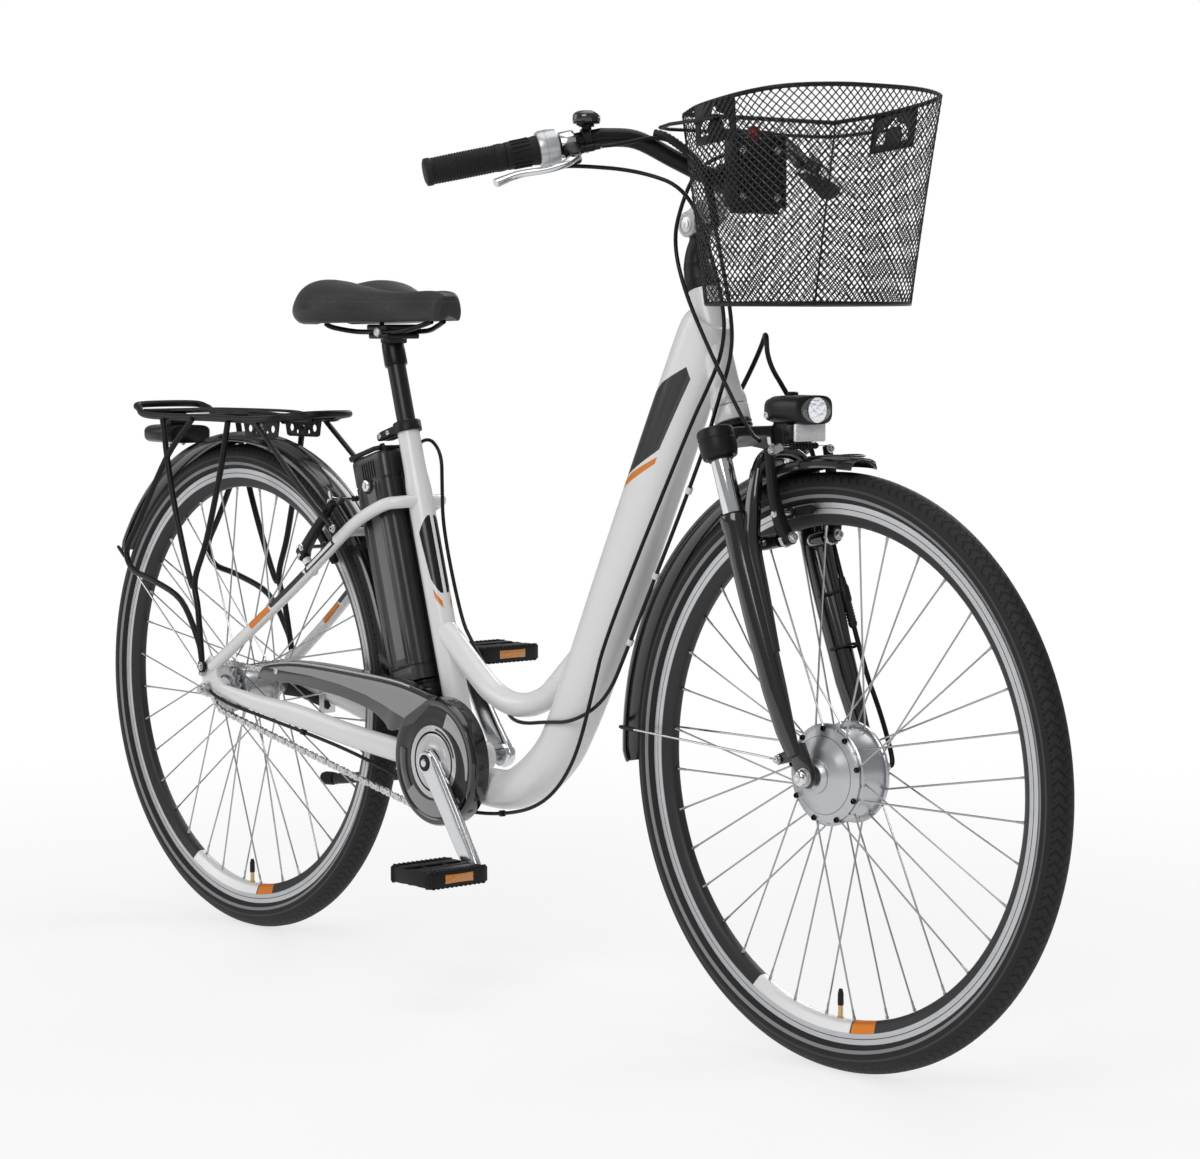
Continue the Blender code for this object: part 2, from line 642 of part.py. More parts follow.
# Rear axle with its nuts and lock spacers, and the coaster brake's arm
nut_start = DROPOUT_OUTER + GAP
rear_axle_pieces = [turned("rear_axle", [(REAR_AXLE_RADIUS, -0.090), (REAR_AXLE_RADIUS, 0.090)],
    REAR_AXLE, segments=SMALL_ROUND)]
COASTER_ARM_SIDE = (0.0563, 0.0593)
spacer_stretches = (
    ("right", RIGHT, DRIVER_END + RUNNING_GAP, DROPOUT_INNER - GAP),
    ("left", LEFT, half_spacing + 0.008 + RUNNING_GAP, DROPOUT_INNER - GAP),
)
for word, side, first, last in spacer_stretches:
    rear_axle_pieces.append(turned(
        f"rear_spacer_{word}", [(0.0085, side * first), (0.0085, side * last)], REAR_AXLE,
        segments=SMALL_ROUND,
    ))
for word, side in SIDES:
    rear_axle_pieces.append(turned(
        f"rear_nut_{word}", [(AXLE_NUT_RADIUS, side * nut_start),
            (AXLE_NUT_RADIUS, side * (nut_start + AXLE_NUT_LENGTH))],
        REAR_AXLE, segments=TINY_ROUND,
    ))
rear_axle_pieces.append(extruded("coaster_arm", [
    (-0.016, 0.340), (0.004, 0.334), (0.045, 0.334), (0.112, 0.322), (0.118, 0.328), (0.112, 0.334),
    (0.040, 0.352), (0.016, 0.368), (-0.004, 0.370), (-0.016, 0.362),
], *COASTER_ARM_SIDE))
seat(joined("rear_axle_and_brake_arm", rear_axle_pieces), "steel", bike)

# Bottom bracket and cranks
crank_spin = pivot("crank_axis", BRACKET, bike)
axle_end = CRANK_INNER + CRANK_THICKNESS - 0.003
seat(turned("bottom_bracket_axle", [(BRACKET_AXLE_RADIUS, -axle_end), (BRACKET_AXLE_RADIUS, axle_end)],
    BRACKET,
            segments=SMALL_ROUND), "steel", crank_spin)

CRANK_ARM = Vector((math.cos(math.radians(CRANK_ANGLE)), 0,
    math.sin(math.radians(CRANK_ANGLE)))) * CRANK_LENGTH
CHAINRING_THICKNESS = 0.003
PEDAL_START = 0.0865


def pitch_radius(teeth):
    return CHAIN_PITCH / (2 * math.sin(math.pi / teeth))


def toothed_disc(name, centre, teeth, bore, side):
    """A disc that ends just inside the chain's links."""
    outer = pitch_radius(teeth) - CHAIN_HEIGHT / 2 - RUNNING_GAP
    half = CHAINRING_THICKNESS / 2
    profile = [
        (bore, side * CHAIN_LINE - half), (outer, side * CHAIN_LINE - half),
        (outer, side * CHAIN_LINE + half), (bore, side * CHAIN_LINE + half),
    ]
    return turned(name, profile, centre, segments=BIG_ROUND, ring=True)


def crank(name, side):
    """A crank arm with its boss on the axle and the pedal spindle screwed into its end."""
    arm = CRANK_ARM * -side
    middle = CRANK_INNER + CRANK_THICKNESS / 2
    boss_start = CHAIN_LINE - 0.004 if side == RIGHT else CRANK_INNER - 0.008
    boss = turned("boss", [
        (CRANK_BOSS_RADIUS, side * boss_start),
        (CRANK_BOSS_RADIUS, side * (CRANK_INNER + CRANK_THICKNESS + 0.002)),
    ], BRACKET)
    shares = (0, 0.3, 0.75, 0.93, 1.0)
    route = [BRACKET + arm * share + SIDEWAYS * side * (middle + 0.012 * share) for share in shares]
    blade = swept("blade", route, [0.006] * 5, [0.0135, 0.0125, 0.0105, 0.0110, 0.0110], count=8, power=3,
                  side=SIDEWAYS)
    end = BRACKET + arm * 0.985
    eye = turned("eye", [(0.0125, side * (middle + 0.006)), (0.0125, side * (middle + 0.018))], end,
        segments=SMALL_ROUND)
    spindle = turned("spindle", [
        (SPINDLE_RADIUS, side * (middle + 0.010)),
        (SPINDLE_RADIUS, side * (PEDAL_START + PEDAL_LENGTH - 0.010)),
    ], BRACKET + arm, segments=SMALL_ROUND)
    bore = turned("bore", [
        (BRACKET_AXLE_RADIUS + GAP, side * 0.03), (BRACKET_AXLE_RADIUS + GAP, side * (axle_end + GAP)),
    ], BRACKET, segments=SMALL_ROUND)
    pieces = [blade, boss, eye, spindle]
    if side == RIGHT:
        pieces.append(toothed_disc("chainring", BRACKET, CHAINRING_TEETH, CRANK_BOSS_RADIUS - 0.001,
            RIGHT))
    return joined(name, pieces, [bore])


for word, side in SIDES:
    seat(crank(f"{word}_crank", side), "alloy", crank_spin)


sprocket_spin = pivot("sprocket_axis", REAR_AXLE, bike)
sprocket_bore = DRIVER_RADIUS + RUNNING_GAP
seat(toothed_disc("rear_sprocket", REAR_AXLE, SPROCKET_TEETH, sprocket_bore, RIGHT), "steel",
    sprocket_spin)


def chain_route():
    """The chain's pitch line round the chainring and the sprocket, as points in its plane."""
    big, small = pitch_radius(CHAINRING_TEETH), pitch_radius(SPROCKET_TEETH)
    span = BRACKET - REAR_AXLE
    heading = math.atan2(span.z, span.x)
    spread = math.acos((big - small) / span.length)
    points = []
    for centre, radius, first, last, steps in (
        (BRACKET, big, heading + math.pi - spread, heading - math.pi + spread, 20),
        (REAR_AXLE, small, heading - math.pi + spread, heading - math.pi - spread, 10),
    ):
        for i in range(steps + 1):
            angle = first + (last - first) * i / steps
            points.append(centre + Vector((radius * math.cos(angle), -CHAIN_LINE,
                radius * math.sin(angle))))
    return points


seat(swept("chain", chain_route(), CHAIN_WIDTH / 2 * math.sqrt(2), CHAIN_HEIGHT / 2 * math.sqrt(2),
    count=4,
           closed=True), "steel", bike)

for word, side in SIDES:
    centre = BRACKET - CRANK_ARM * side
    spin = pivot(f"{word}_pedal_axis", centre + SIDEWAYS * side * PEDAL_START, crank_spin)
    sides = sorted((side * (PEDAL_START + GAP), side * (PEDAL_START + PEDAL_LENGTH)))
    low = centre + Vector((-PEDAL_WIDTH / 2, sides[0], -PEDAL_HEIGHT / 2))
    high = centre + Vector((PEDAL_WIDTH / 2, sides[1], PEDAL_HEIGHT / 2))
    body = block("body", low, high, 0.004)
    bore = turned("bore", [
        (SPINDLE_RADIUS + RUNNING_GAP, side * (PEDAL_START - 0.01)),
        (SPINDLE_RADIUS + RUNNING_GAP, side * (PEDAL_START + PEDAL_LENGTH - 0.009)),
    ], centre, segments=SMALL_ROUND)
    seat(joined(f"{word}_pedal", [body], [bore]), "black_plastic", spin)

# Chain guard: a shallow pan round the chainring with an arm over the chain's upper run
guard_ring = turned("guard_ring", [
    (0.030, -GUARD_OUTER), (GUARD_RADIUS, -GUARD_OUTER), (GUARD_RADIUS, -0.0300),
    (GUARD_RADIUS - GUARD_WALL, -0.0300), (GUARD_RADIUS - GUARD_WALL, -GUARD_OUTER + GUARD_WALL),
    (0.030, -GUARD_OUTER + GUARD_WALL),
], BRACKET, segments=20, ring=True)
GUARD_ARM_TOP = ((0.1005, 0.376), (0.110, 0.390), (0.128, 0.399), (0.206, 0.407), (0.346, 0.404),
    (0.440, 0.3985), (0.520, 0.3840))
GUARD_ARM_FOOT = ((0.470, 0.345), (0.4175, 0.330), (0.402, 0.340), (0.369, 0.354), (0.300, 0.366),
    (0.2055, 0.374))
guard_arm = extruded("guard_arm", GUARD_ARM_TOP + GUARD_ARM_FOOT, -GUARD_OUTER, -GUARD_OUTER + GUARD_WALL)
guard_lip_outline = [Vector((x, z)) for x, z in GUARD_ARM_TOP[2:]]
guard_lip = extruded(
    "guard_lip",
    [tuple(p) for p in guard_lip_outline] + [(p.x, p.y - GUARD_WALL) for p in reversed(guard_lip_outline)],
    -GUARD_OUTER, -0.0366,
)
guard_gap = block("guard_gap", (0.40, -GUARD_OUTER + GUARD_WALL + 0.0005, 0.17), (0.500, -0.02, 0.3815))
seat(joined("chain_guard", [guard_ring, guard_arm, guard_lip], [guard_gap]), "black_plastic", bike)

# Suspension fork: the crown carries the steerer and the stanchions, and the lower legs slide on them
stanchion_foot = LEG_TOP - 0.059
plate_rings = []
for side_place, front, rear, foot, top in (
    (-LEG_SPREAD, 0.044, 0.012, 0.400, CROWN_TOP - 0.004), (-0.032, 0.038, -0.012, 0.4150, CROWN_TOP),
    (0.032, 0.038, -0.012, 0.4150, CROWN_TOP), (LEG_SPREAD, 0.044, 0.012, 0.400, CROWN_TOP - 0.004),
):
    plate_rings.append([
        steer(front, side_place, foot), steer(front, side_place, top), steer(rear, side_place, top),
        steer(rear, side_place, foot),
    ])
crown_pieces = [lofted("crown_plate", plate_rings)]
steerer_top = HEAD_TUBE_TOP + LOCKNUT_HEIGHT - 0.002
crown_pieces.append(turned("steerer", [
    (0.019, 0.4150), (0.019, CROWN_TOP), (0.0165, HEAD_TUBE_FOOT - CUP_HEIGHT - 0.002),
    (STEERER_RADIUS, HEAD_TUBE_FOOT - CUP_HEIGHT - 0.001), (STEERER_RADIUS, steerer_top),
], steer(0, 0, 0), STEER_LINE, ROUND))
for word, side in SIDES:
    foot = steer(LEG_OFFSET, side * LEG_SPREAD, 0)
    crown_pieces.append(turned(f"barrel_{word}", [
        (CROWN_RADIUS - 0.002, CROWN_FOOT), (CROWN_RADIUS, CROWN_FOOT + 0.003),
        (CROWN_RADIUS, CROWN_TOP - 0.004), (CROWN_RADIUS - 0.004, CROWN_TOP),
    ], foot, STEER_LINE, ROUND))
    crown_pieces.append(turned(f"stanchion_{word}", [
        (STANCHION_RADIUS, stanchion_foot), (STANCHION_RADIUS, CROWN_FOOT + 0.01),
    ], foot, STEER_LINE, ROUND))
QUILL_RADIUS = 0.0110
quill_foot = HEAD_TUBE_TOP - 0.06
quill_bore = turned("quill_bore", [(QUILL_RADIUS + GAP, quill_foot - GAP),
    (QUILL_RADIUS + GAP, steerer_top + 0.01)],
                    steer(0, 0, 0), STEER_LINE, SMALL_ROUND)
seat(joined("fork_crown", crown_pieces, [quill_bore]), "black_paint", steering)

locknut_foot = HEAD_TUBE_TOP + GAP
locknut_top = locknut_foot + LOCKNUT_HEIGHT
# Lower legs, joined over the wheel by the brake arch
LEG_ROUTE = (
    (LEG_OFFSET, LEG_TOP, 0.0175), (LEG_OFFSET, LEG_TOP - 0.008, 0.0178),
    (LEG_OFFSET, LEG_TOP - 0.020, LEG_RADIUS),
    (LEG_OFFSET, 0.200, LEG_RADIUS), (LEG_OFFSET + 0.001, 0.110, 0.0160),
    (LEG_OFFSET + 0.003, 0.060, 0.0145),
    (LEG_OFFSET + 0.007, 0.028, 0.0110),
)
LEG_SIDE = (LEG_SPREAD, LEG_SPREAD, LEG_SPREAD, LEG_SPREAD, LEG_SPREAD, LEG_SPREAD - 0.0005,
    LEG_SPREAD - 0.002)
LEG_HALF_WIDTH = (0.0175, 0.0178, 0.0165, 0.0160, 0.0135, 0.0085, 0.0045)
TAB_INNER = FRONT_HUB_WIDTH / 2 + GAP
TAB_OUTER = TAB_INNER + 0.008
ARCH_ROUTE = ((0.044, 0.056, 0.300), (0.060, 0.0520, 0.335), (0.066, 0.040, 0.368),
    (0.066, 0.020, 0.3835), (0.066, 0, 0.386))
FRONT_BRAKE_PIVOT = Vector((1.165 - WHEELBASE, 0.037, 0.625 - AXLE_HEIGHT)) + FRONT_AXLE
front_radial = wheel_radial(FRONT_BRAKE_PIVOT, FRONT_AXLE)
front_tangent = Vector((front_radial.z, 0, -front_radial.x))
leg_pieces = []
for word, side in SIDES:
    route = [steer(forward, side * out, up) for (forward, up, depth), out in zip(LEG_ROUTE, LEG_SIDE)]
    leg_pieces.append(swept(f"leg_{word}", route, list(LEG_HALF_WIDTH),
        [stretch[2] for stretch in LEG_ROUTE], count=SMALL_ROUND))
    tab = []
    for forward, up in ((0.024, 0.050), (0.052, 0.040), (0.058, 0.008), (0.055, -0.008), (0.045, -0.014),
                        (0.035, -0.009), (0.031, 0.004)):
        point = steer(forward, 0, up)
        tab.append((point.x, point.z))
    leg_pieces.append(extruded(f"tab_{word}", tab, *sorted((side * TAB_INNER, side * TAB_OUTER))))
    ear = [steer(forward, 0, up) for forward, up in ((0.005, 0.024), (0.032, 0.022), (0.032, 0.038),
        (0.005, 0.036))]
    leg_pieces.append(extruded(
        f"ear_{word}", [(point.x, point.z) for point in ear],
        *sorted((side * (TAB_OUTER - 0.004), side * TAB_OUTER))
    ))
    post = mirrored(FRONT_BRAKE_PIVOT, side)
    boss_route = [post - front_tangent * 0.050 + SIDEWAYS * side * 0.018, post - front_tangent * 0.030,
                  post - front_tangent * 0.012]
    leg_pieces.append(swept(f"boss_{word}", boss_route, 0.0085, count=TINY_ROUND))
    leg_pieces.append(rod(f"post_{word}", post - front_tangent * 0.016,
        post + front_tangent * (BRAKE_POST_LENGTH - 0.012),
                          BRAKE_POST_RADIUS, 10))
arch = rounded(both([steer(forward, out, up) for forward, out, up in ARCH_ROUTE]), 2)
leg_pieces.append(swept("arch", arch, 0.0060, 0.0080, count=TINY_ROUND, side=STEER_FRONT))
leg_cuts = [turned("front_axle_bore", [(FRONT_AXLE_RADIUS + GAP, -0.1), (FRONT_AXLE_RADIUS + GAP, 0.1)],
    FRONT_AXLE,
                   segments=SMALL_ROUND)]
for word, side in SIDES:
    leg_cuts.append(turned(f"leg_bore_{word}", [
        (STANCHION_RADIUS + GAP, stanchion_foot - FORK_TRAVEL - 0.006),
        (STANCHION_RADIUS + GAP, LEG_TOP + 0.02),
    ], steer(LEG_OFFSET, side * LEG_SPREAD, 0), STEER_LINE, ROUND))
seat(joined("fork_lower_legs", leg_pieces, leg_cuts), "black_paint", lowers)

# Front axle with its nuts and washers
front_axle_pieces = [turned("front_axle", [(FRONT_AXLE_RADIUS, -0.0735), (FRONT_AXLE_RADIUS, 0.0760)],
    FRONT_AXLE,
                            segments=SMALL_ROUND)]
for word, side, hub_end in (("right", RIGHT, FRONT_HUB_WIDTH / 2 - 0.004),
        ("left", LEFT, FRONT_HUB_WIDTH / 2 - 0.010)):
    front_axle_pieces.append(turned(
        f"front_nut_{word}", [(AXLE_NUT_RADIUS + 0.001, side * (TAB_OUTER + GAP)),
                              (AXLE_NUT_RADIUS + 0.001, side * (TAB_OUTER + GAP + AXLE_NUT_LENGTH))],
        FRONT_AXLE, segments=TINY_ROUND,
    ))
    front_axle_pieces.append(turned(
        f"front_spacer_{word}", [(0.010, side * (hub_end + RUNNING_GAP)),
            (0.010, side * (TAB_INNER - GAP))],
        FRONT_AXLE, segments=SMALL_ROUND,
    ))
seat(joined("front_axle", front_axle_pieces), "steel", lowers)


# Rim brakes: an arm on each side turns on its post and presses a pad on the rim
ARM_LENGTH = 0.108
PAD_REACH = RIM_EDGE_RADIUS - 0.008


def brake_arm(name, post, axle, radial, tangent, side, top_out):
    """An arm from its hub on the post up past the tyre, with its pad just off the rim's wall."""
    middle = post + tangent * 0.001
    hub = turned("hub", [(0.0075, -0.009), (0.0075, 0.011)], middle, tangent, 10)
    lean = SIDEWAYS * side * (top_out - abs(post.y))
    top = middle + radial * ARM_LENGTH + lean
    route = [middle, middle + radial * 0.020 + lean * 0.7, middle + radial * 0.052 + lean * 1.1, top]
    bar = swept("bar", route, 0.0055, 0.0070, count=4, side=SIDEWAYS)
    distance = (Vector((post.x - axle.x, 0, post.z - axle.z))).length
    pad_middle = middle + radial * (PAD_REACH - distance)
    pad_inner = RIM_WIDTH / 2 + 0.0022
    stud_start = Vector((pad_middle.x, side * (pad_inner + 0.004), pad_middle.z))
    stud_end = Vector((pad_middle.x, side * (abs(route[1].y) + 0.009), pad_middle.z))
    stud = rod("stud", stud_start, stud_end, 0.003, 6)
    pad_ends = [Vector((pad_middle.x, side * (pad_inner + 0.0045),
        pad_middle.z)) + tangent * along for along in (-0.030, 0.030)]
    pad = swept("pad", pad_ends, 0.0062, 0.0068, count=4)
    bore = turned("bore", [(BRAKE_POST_RADIUS + RUNNING_GAP, -0.02),
        (BRAKE_POST_RADIUS + RUNNING_GAP, 0.02)], middle,
                  tangent, 10)
    return joined(name, [bar, hub, stud, pad], [bore])


for word, side in SIDES:
    post = mirrored(FRONT_BRAKE_PIVOT, side)
    turn = pivot(f"front_brake_{word}_axis", post, lowers)
    seat(brake_arm(f"front_brake_arm_{word}", post, FRONT_AXLE, front_radial, front_tangent, side,
        0.048), "alloy", turn)
    post = mirrored(REAR_BRAKE_PIVOT, side)
    turn = pivot(f"rear_brake_{word}_axis", post, bike)
    seat(brake_arm(f"rear_brake_arm_{word}", post, REAR_AXLE, rear_radial, rear_tangent, side, 0.056),
        "alloy", turn)


# Mudguards: an arched strip on a circle a little larger than the tyre
def mudguard(name, axle, first, last, steps):
    """A thin arched strip from one angle to another round the axle."""
    arch = ((-1.0, -0.0085), (-0.82, 0.0), (0.0, 0.0042), (0.82, 0.0), (1.0, -0.0085))
    rings = []
    for i in range(steps + 1):
        angle = math.radians(first + (last - first) * i / steps)
        outward = Vector((math.cos(angle), 0, math.sin(angle)))
        outer = [axle + outward * (MUDGUARD_RADIUS + MUDGUARD_WALL + lift) + SIDEWAYS * (share * MUDGUARD_HALF_WIDTH)
                 for share, lift in arch]
        inner = [axle + outward * (MUDGUARD_RADIUS + lift) + SIDEWAYS * (share * (MUDGUARD_HALF_WIDTH - MUDGUARD_WALL))
                 for share, lift in reversed(arch)]
        rings.append(outer + inner)
    return lofted(name, rings)


def guard_edge(axle, degrees, side):
    """A point in a mudguard's edge, where a stay is fixed."""
    angle = math.radians(degrees)
    radius = MUDGUARD_RADIUS - 0.0055
    place = Vector((radius * math.cos(angle), side * (MUDGUARD_HALF_WIDTH + 0.0002),
        radius * math.sin(angle)))
    return axle + place


front_stays = []
STAY_SIDE = STAY_WIRE_RADIUS + GAP
for word, side in SIDES:
    stay_start = steer(0.010, side * (TAB_OUTER + STAY_SIDE + GAP), 0.030)
    stay_end = guard_edge(FRONT_AXLE, 176.5, side)
    front_stays.append(rod(f"front_stay_{word}", stay_start, stay_end, STAY_WIRE_RADIUS, 4))
arch_foot = 0.386 - 0.0080
mudguard_lug = swept("lug", [steer(0.066, 0, MUDGUARD_RADIUS - 0.006),
    steer(0.066, 0, arch_foot - GAP)], 0.010, 0.004,
    count=4)
seat(joined("front_mudguard", [mudguard("strip", FRONT_AXLE, 84.5, 183.5, 12),
    mudguard_lug] + front_stays),
     "black_paint", lowers)

rear_stays = []
for word, side in SIDES:
    stay_start = REAR_AXLE + Vector((-0.0115, side * (DROPOUT_OUTER + STAY_SIDE), 0.023))
    stay_end = guard_edge(REAR_AXLE, 149, side)
    rear_stays.append(rod(f"rear_stay_{word}", stay_start, stay_end, STAY_WIRE_RADIUS, 4))
seat(joined("rear_mudguard", [mudguard("strip", REAR_AXLE, 8, 150.5, 17)] + rear_stays), "black_paint",
    bike)

# Seat post, clamp and saddle
seat_slide = pivot("seat_slide_axis", behind_seat_tube(SEAT_TUBE_LENGTH, 0), bike)
post_foot = 0.265
seat(rod("seat_post", behind_seat_tube(post_foot, 0), behind_seat_tube(POST_TOP, 0), POST_RADIUS, ROUND),
     "black_paint", seat_slide)

clamp_top = SEAT_TUBE_LENGTH - 0.001
clamp_ring = swept("seat_clamp", [behind_seat_tube(clamp_top - 0.014, 0), behind_seat_tube(clamp_top, 0)],
                   SEAT_TUBE_TOP_RADIUS + 0.004, count=ROUND)
clamp_lug = swept("lug", [behind_seat_tube(clamp_top - 0.007, 0.012),
    behind_seat_tube(clamp_top - 0.007, 0.058)],
                  0.011, 0.0098, count=4)
clamp_bore = rod("clamp_bore", behind_seat_tube(0.40, 0), behind_seat_tube(0.50, 0),
    hole(SEAT_TUBE_TOP_RADIUS), ROUND)
seat(joined("seat_clamp", [clamp_ring, clamp_lug], [clamp_bore]), "black_paint", bike)

# The saddle's middle, on the ground plan over the post's top.
post_top = behind_seat_tube(POST_TOP, 0)
RAIL_ABOVE_POST = 0.0255
SADDLE_ABOVE_RAILS = 0.034
RAIL_HEIGHT = post_top.z + RAIL_ABOVE_POST
SADDLE_BASE_HEIGHT = RAIL_HEIGHT + SADDLE_ABOVE_RAILS
SADDLE_REAR = post_top.x - 0.138
# Share of the length from the rear, half width as a share, rise of the lobes, rise of the middle channel.
SADDLE_STATIONS = (
    (0.000, 0.30, 0.018, 0.016), (0.025, 0.62, 0.028, 0.022), (0.08, 0.86, 0.034, 0.025),
    (0.18, 0.99, 0.038, 0.026),
    (0.30, 0.97, 0.036, 0.024), (0.42, 0.80, 0.030, 0.020), (0.54, 0.55, 0.024, 0.016),
    (0.66, 0.37, 0.022, 0.015),
    (0.78, 0.29, 0.023, 0.017), (0.88, 0.265, 0.024, 0.020), (0.955, 0.24, 0.022, 0.021),
    (0.99, 0.17, 0.016, 0.016),
)
SADDLE_NOSE_DROP = 0.004


def saddle_ring(share, width, lobes, channel):
    """One cross-section: a padded top with two lobes and a channel, sides drawn in to the base."""
    x = SADDLE_REAR + SADDLE_LENGTH * share
    half = SADDLE_HALF_WIDTH * width
    base = SADDLE_BASE_HEIGHT - SADDLE_NOSE_DROP * share
    skirt = 0.026 * (1 - 0.35 * share)
    outline = (
        (0.0, channel), (0.16, channel + (lobes - channel) * 0.45), (0.36, lobes), (0.60, lobes * 0.97),
        (0.82, lobes * 0.74), (0.96, lobes * 0.28), (1.0, -skirt * 0.15), (0.95, -skirt * 0.62),
        (0.80, -skirt),
        (0.55, -skirt * 0.80), (0.25, -skirt * 0.62),
    )
    right = [Vector((x, -half * across, base + up)) for across, up in outline]
    left = [Vector((x, half * across, base + up)) for across, up in reversed(outline[1:])]
    return right + [Vector((x, 0, base - skirt * 0.6))] + left


seat(lofted("saddle_cushion", [saddle_ring(*station) for station in SADDLE_STATIONS]), "leather",
    seat_slide)

RAIL_RADIUS = 0.0035
rail_pieces = []
for word, side in SIDES:
    rail = rounded([
        (SADDLE_REAR + 0.047, side * 0.048, SADDLE_BASE_HEIGHT - 0.0230),
        (SADDLE_REAR + 0.057, side * 0.040, RAIL_HEIGHT + 0.006),
        (SADDLE_REAR + 0.085, side * 0.022, RAIL_HEIGHT),
        (SADDLE_REAR + 0.185, side * 0.022, RAIL_HEIGHT + 0.001),
        (SADDLE_REAR + 0.225, side * 0.012, RAIL_HEIGHT + 0.010),
        (SADDLE_REAR + 0.237, side * 0.010, SADDLE_BASE_HEIGHT - 0.0202),
    ], 1)
    rail_pieces.append(swept(f"rail_{word}", rail, RAIL_RADIUS, count=TINY_ROUND))
rail_pieces.insert(0, block("clamp_head", (post_top.x - 0.022, -0.030, RAIL_HEIGHT - 0.010),
                            (post_top.x + 0.024, 0.030, RAIL_HEIGHT + 0.010), 0.002))
head_neck = swept("neck", [behind_seat_tube(POST_TOP - 0.022, 0), behind_seat_tube(POST_TOP + 0.012, 0)],
                  POST_RADIUS + 0.003, count=ROUND)
neck_bore = rod("neck_bore", behind_seat_tube(POST_TOP - 0.05, 0), behind_seat_tube(POST_TOP + GAP, 0),
    POST_RADIUS + GAP, ROUND)
seat(joined("saddle_rails_and_clamp", rail_pieces + [head_neck], [neck_bore]), "steel", seat_slide)

# Stem: a column in the steerer, and an arm that tilts on its eye
STEM_PIVOT = steer(0.018, 0, 0.6894)
BAR_CENTRE = STEM_PIVOT + Vector((STEM_FORWARD, 0, STEM_RISE))
EAR_INNER = 0.0108
EAR_OUTER = 0.0195
BOLT_RADIUS = 0.004
column = swept("stem_column", [
    steer(0, 0, locknut_top + GAP), steer(0, 0, locknut_top + 0.004), steer(0.005, 0, locknut_top + 0.016),
    steer(0.014, 0, locknut_top + 0.027), STEM_PIVOT - STEER_LINE * 0.006,
], [0.0165, 0.0165, 0.0140, EAR_INNER - GAP, EAR_INNER - GAP], [0.0165, 0.0165, 0.0145, 0.0135, 0.0135],
count=ROUND)
quill = turned("quill", [(QUILL_RADIUS, quill_foot + GAP), (QUILL_RADIUS, locknut_top + 0.002)],
    steer(0, 0, 0),
               STEER_LINE, SMALL_ROUND)
eye = turned("eye", [(STEM_EYE_RADIUS, -EAR_INNER + GAP), (STEM_EYE_RADIUS, EAR_INNER - GAP)],
    STEM_PIVOT, segments=ROUND)
bolt_bore = hole(BOLT_RADIUS, GAP, SMALL_ROUND)
eye_bore = turned("eye_bore", [(bolt_bore, -0.02), (bolt_bore, 0.02)], STEM_PIVOT, segments=SMALL_ROUND)
locknut = turned("locknut", [
    (STEERER_RADIUS + GAP, locknut_foot), (HEAD_TUBE_RADIUS + 0.001, locknut_foot),
    (HEAD_TUBE_RADIUS + 0.001, locknut_top - 0.003), (HEAD_TUBE_RADIUS - 0.001, locknut_top + 0.001),
    (STEERER_RADIUS + GAP, locknut_top + 0.001),
], steer(0, 0, 0), STEER_LINE, ROUND, ring=True)
seat(joined("stem_column", [column, quill, eye, locknut], [eye_bore]), "black_paint", steering)

tilt = pivot("stem_tilt_axis", STEM_PIVOT, steering)
stem_line = (BAR_CENTRE - STEM_PIVOT).normalized()
stem_pieces = [swept("stem_arm", [STEM_PIVOT + stem_line * (STEM_EYE_RADIUS + 0.0035),
    STEM_PIVOT + stem_line * 0.045,
                                  BAR_CENTRE - stem_line * 0.010],
                     [EAR_OUTER, 0.0170, 0.0150], [0.0125, 0.0120, 0.0110], count=8, power=3.5)]
for side in (RIGHT, LEFT):
    ends = sorted((side * EAR_INNER, side * EAR_OUTER))
    stem_pieces.append(turned("ear", [(STEM_EYE_RADIUS, ends[0]), (STEM_EYE_RADIUS, ends[1])],
        STEM_PIVOT, segments=ROUND))
    offset = SIDEWAYS * side * (EAR_INNER + EAR_OUTER) / 2
    stem_pieces.append(swept("cheek", [STEM_PIVOT + offset, STEM_PIVOT + stem_line * 0.028 + offset],
                             (EAR_OUTER - EAR_INNER) / 2 * math.sqrt(2) * 0.98, 0.0125 * math.sqrt(2),
                             count=4))
stem_pieces.append(turned("bolt", [(BOLT_RADIUS, -EAR_OUTER - 0.001), (BOLT_RADIUS, EAR_OUTER + 0.001)],
    STEM_PIVOT,
                          segments=SMALL_ROUND))
stem_pieces.append(turned("clamp", [(STEM_CLAMP_RADIUS, -STEM_CLAMP_HALF_WIDTH),
    (STEM_CLAMP_RADIUS, STEM_CLAMP_HALF_WIDTH)],
                          BAR_CENTRE, segments=ROUND))
bar_bore = turned("bar_bore", [(hole(BAR_CENTRE_RADIUS), -0.03), (hole(BAR_CENTRE_RADIUS), 0.03)],
    BAR_CENTRE)
seat(joined("stem_arm", stem_pieces, [bar_bore]), "alloy", tilt)

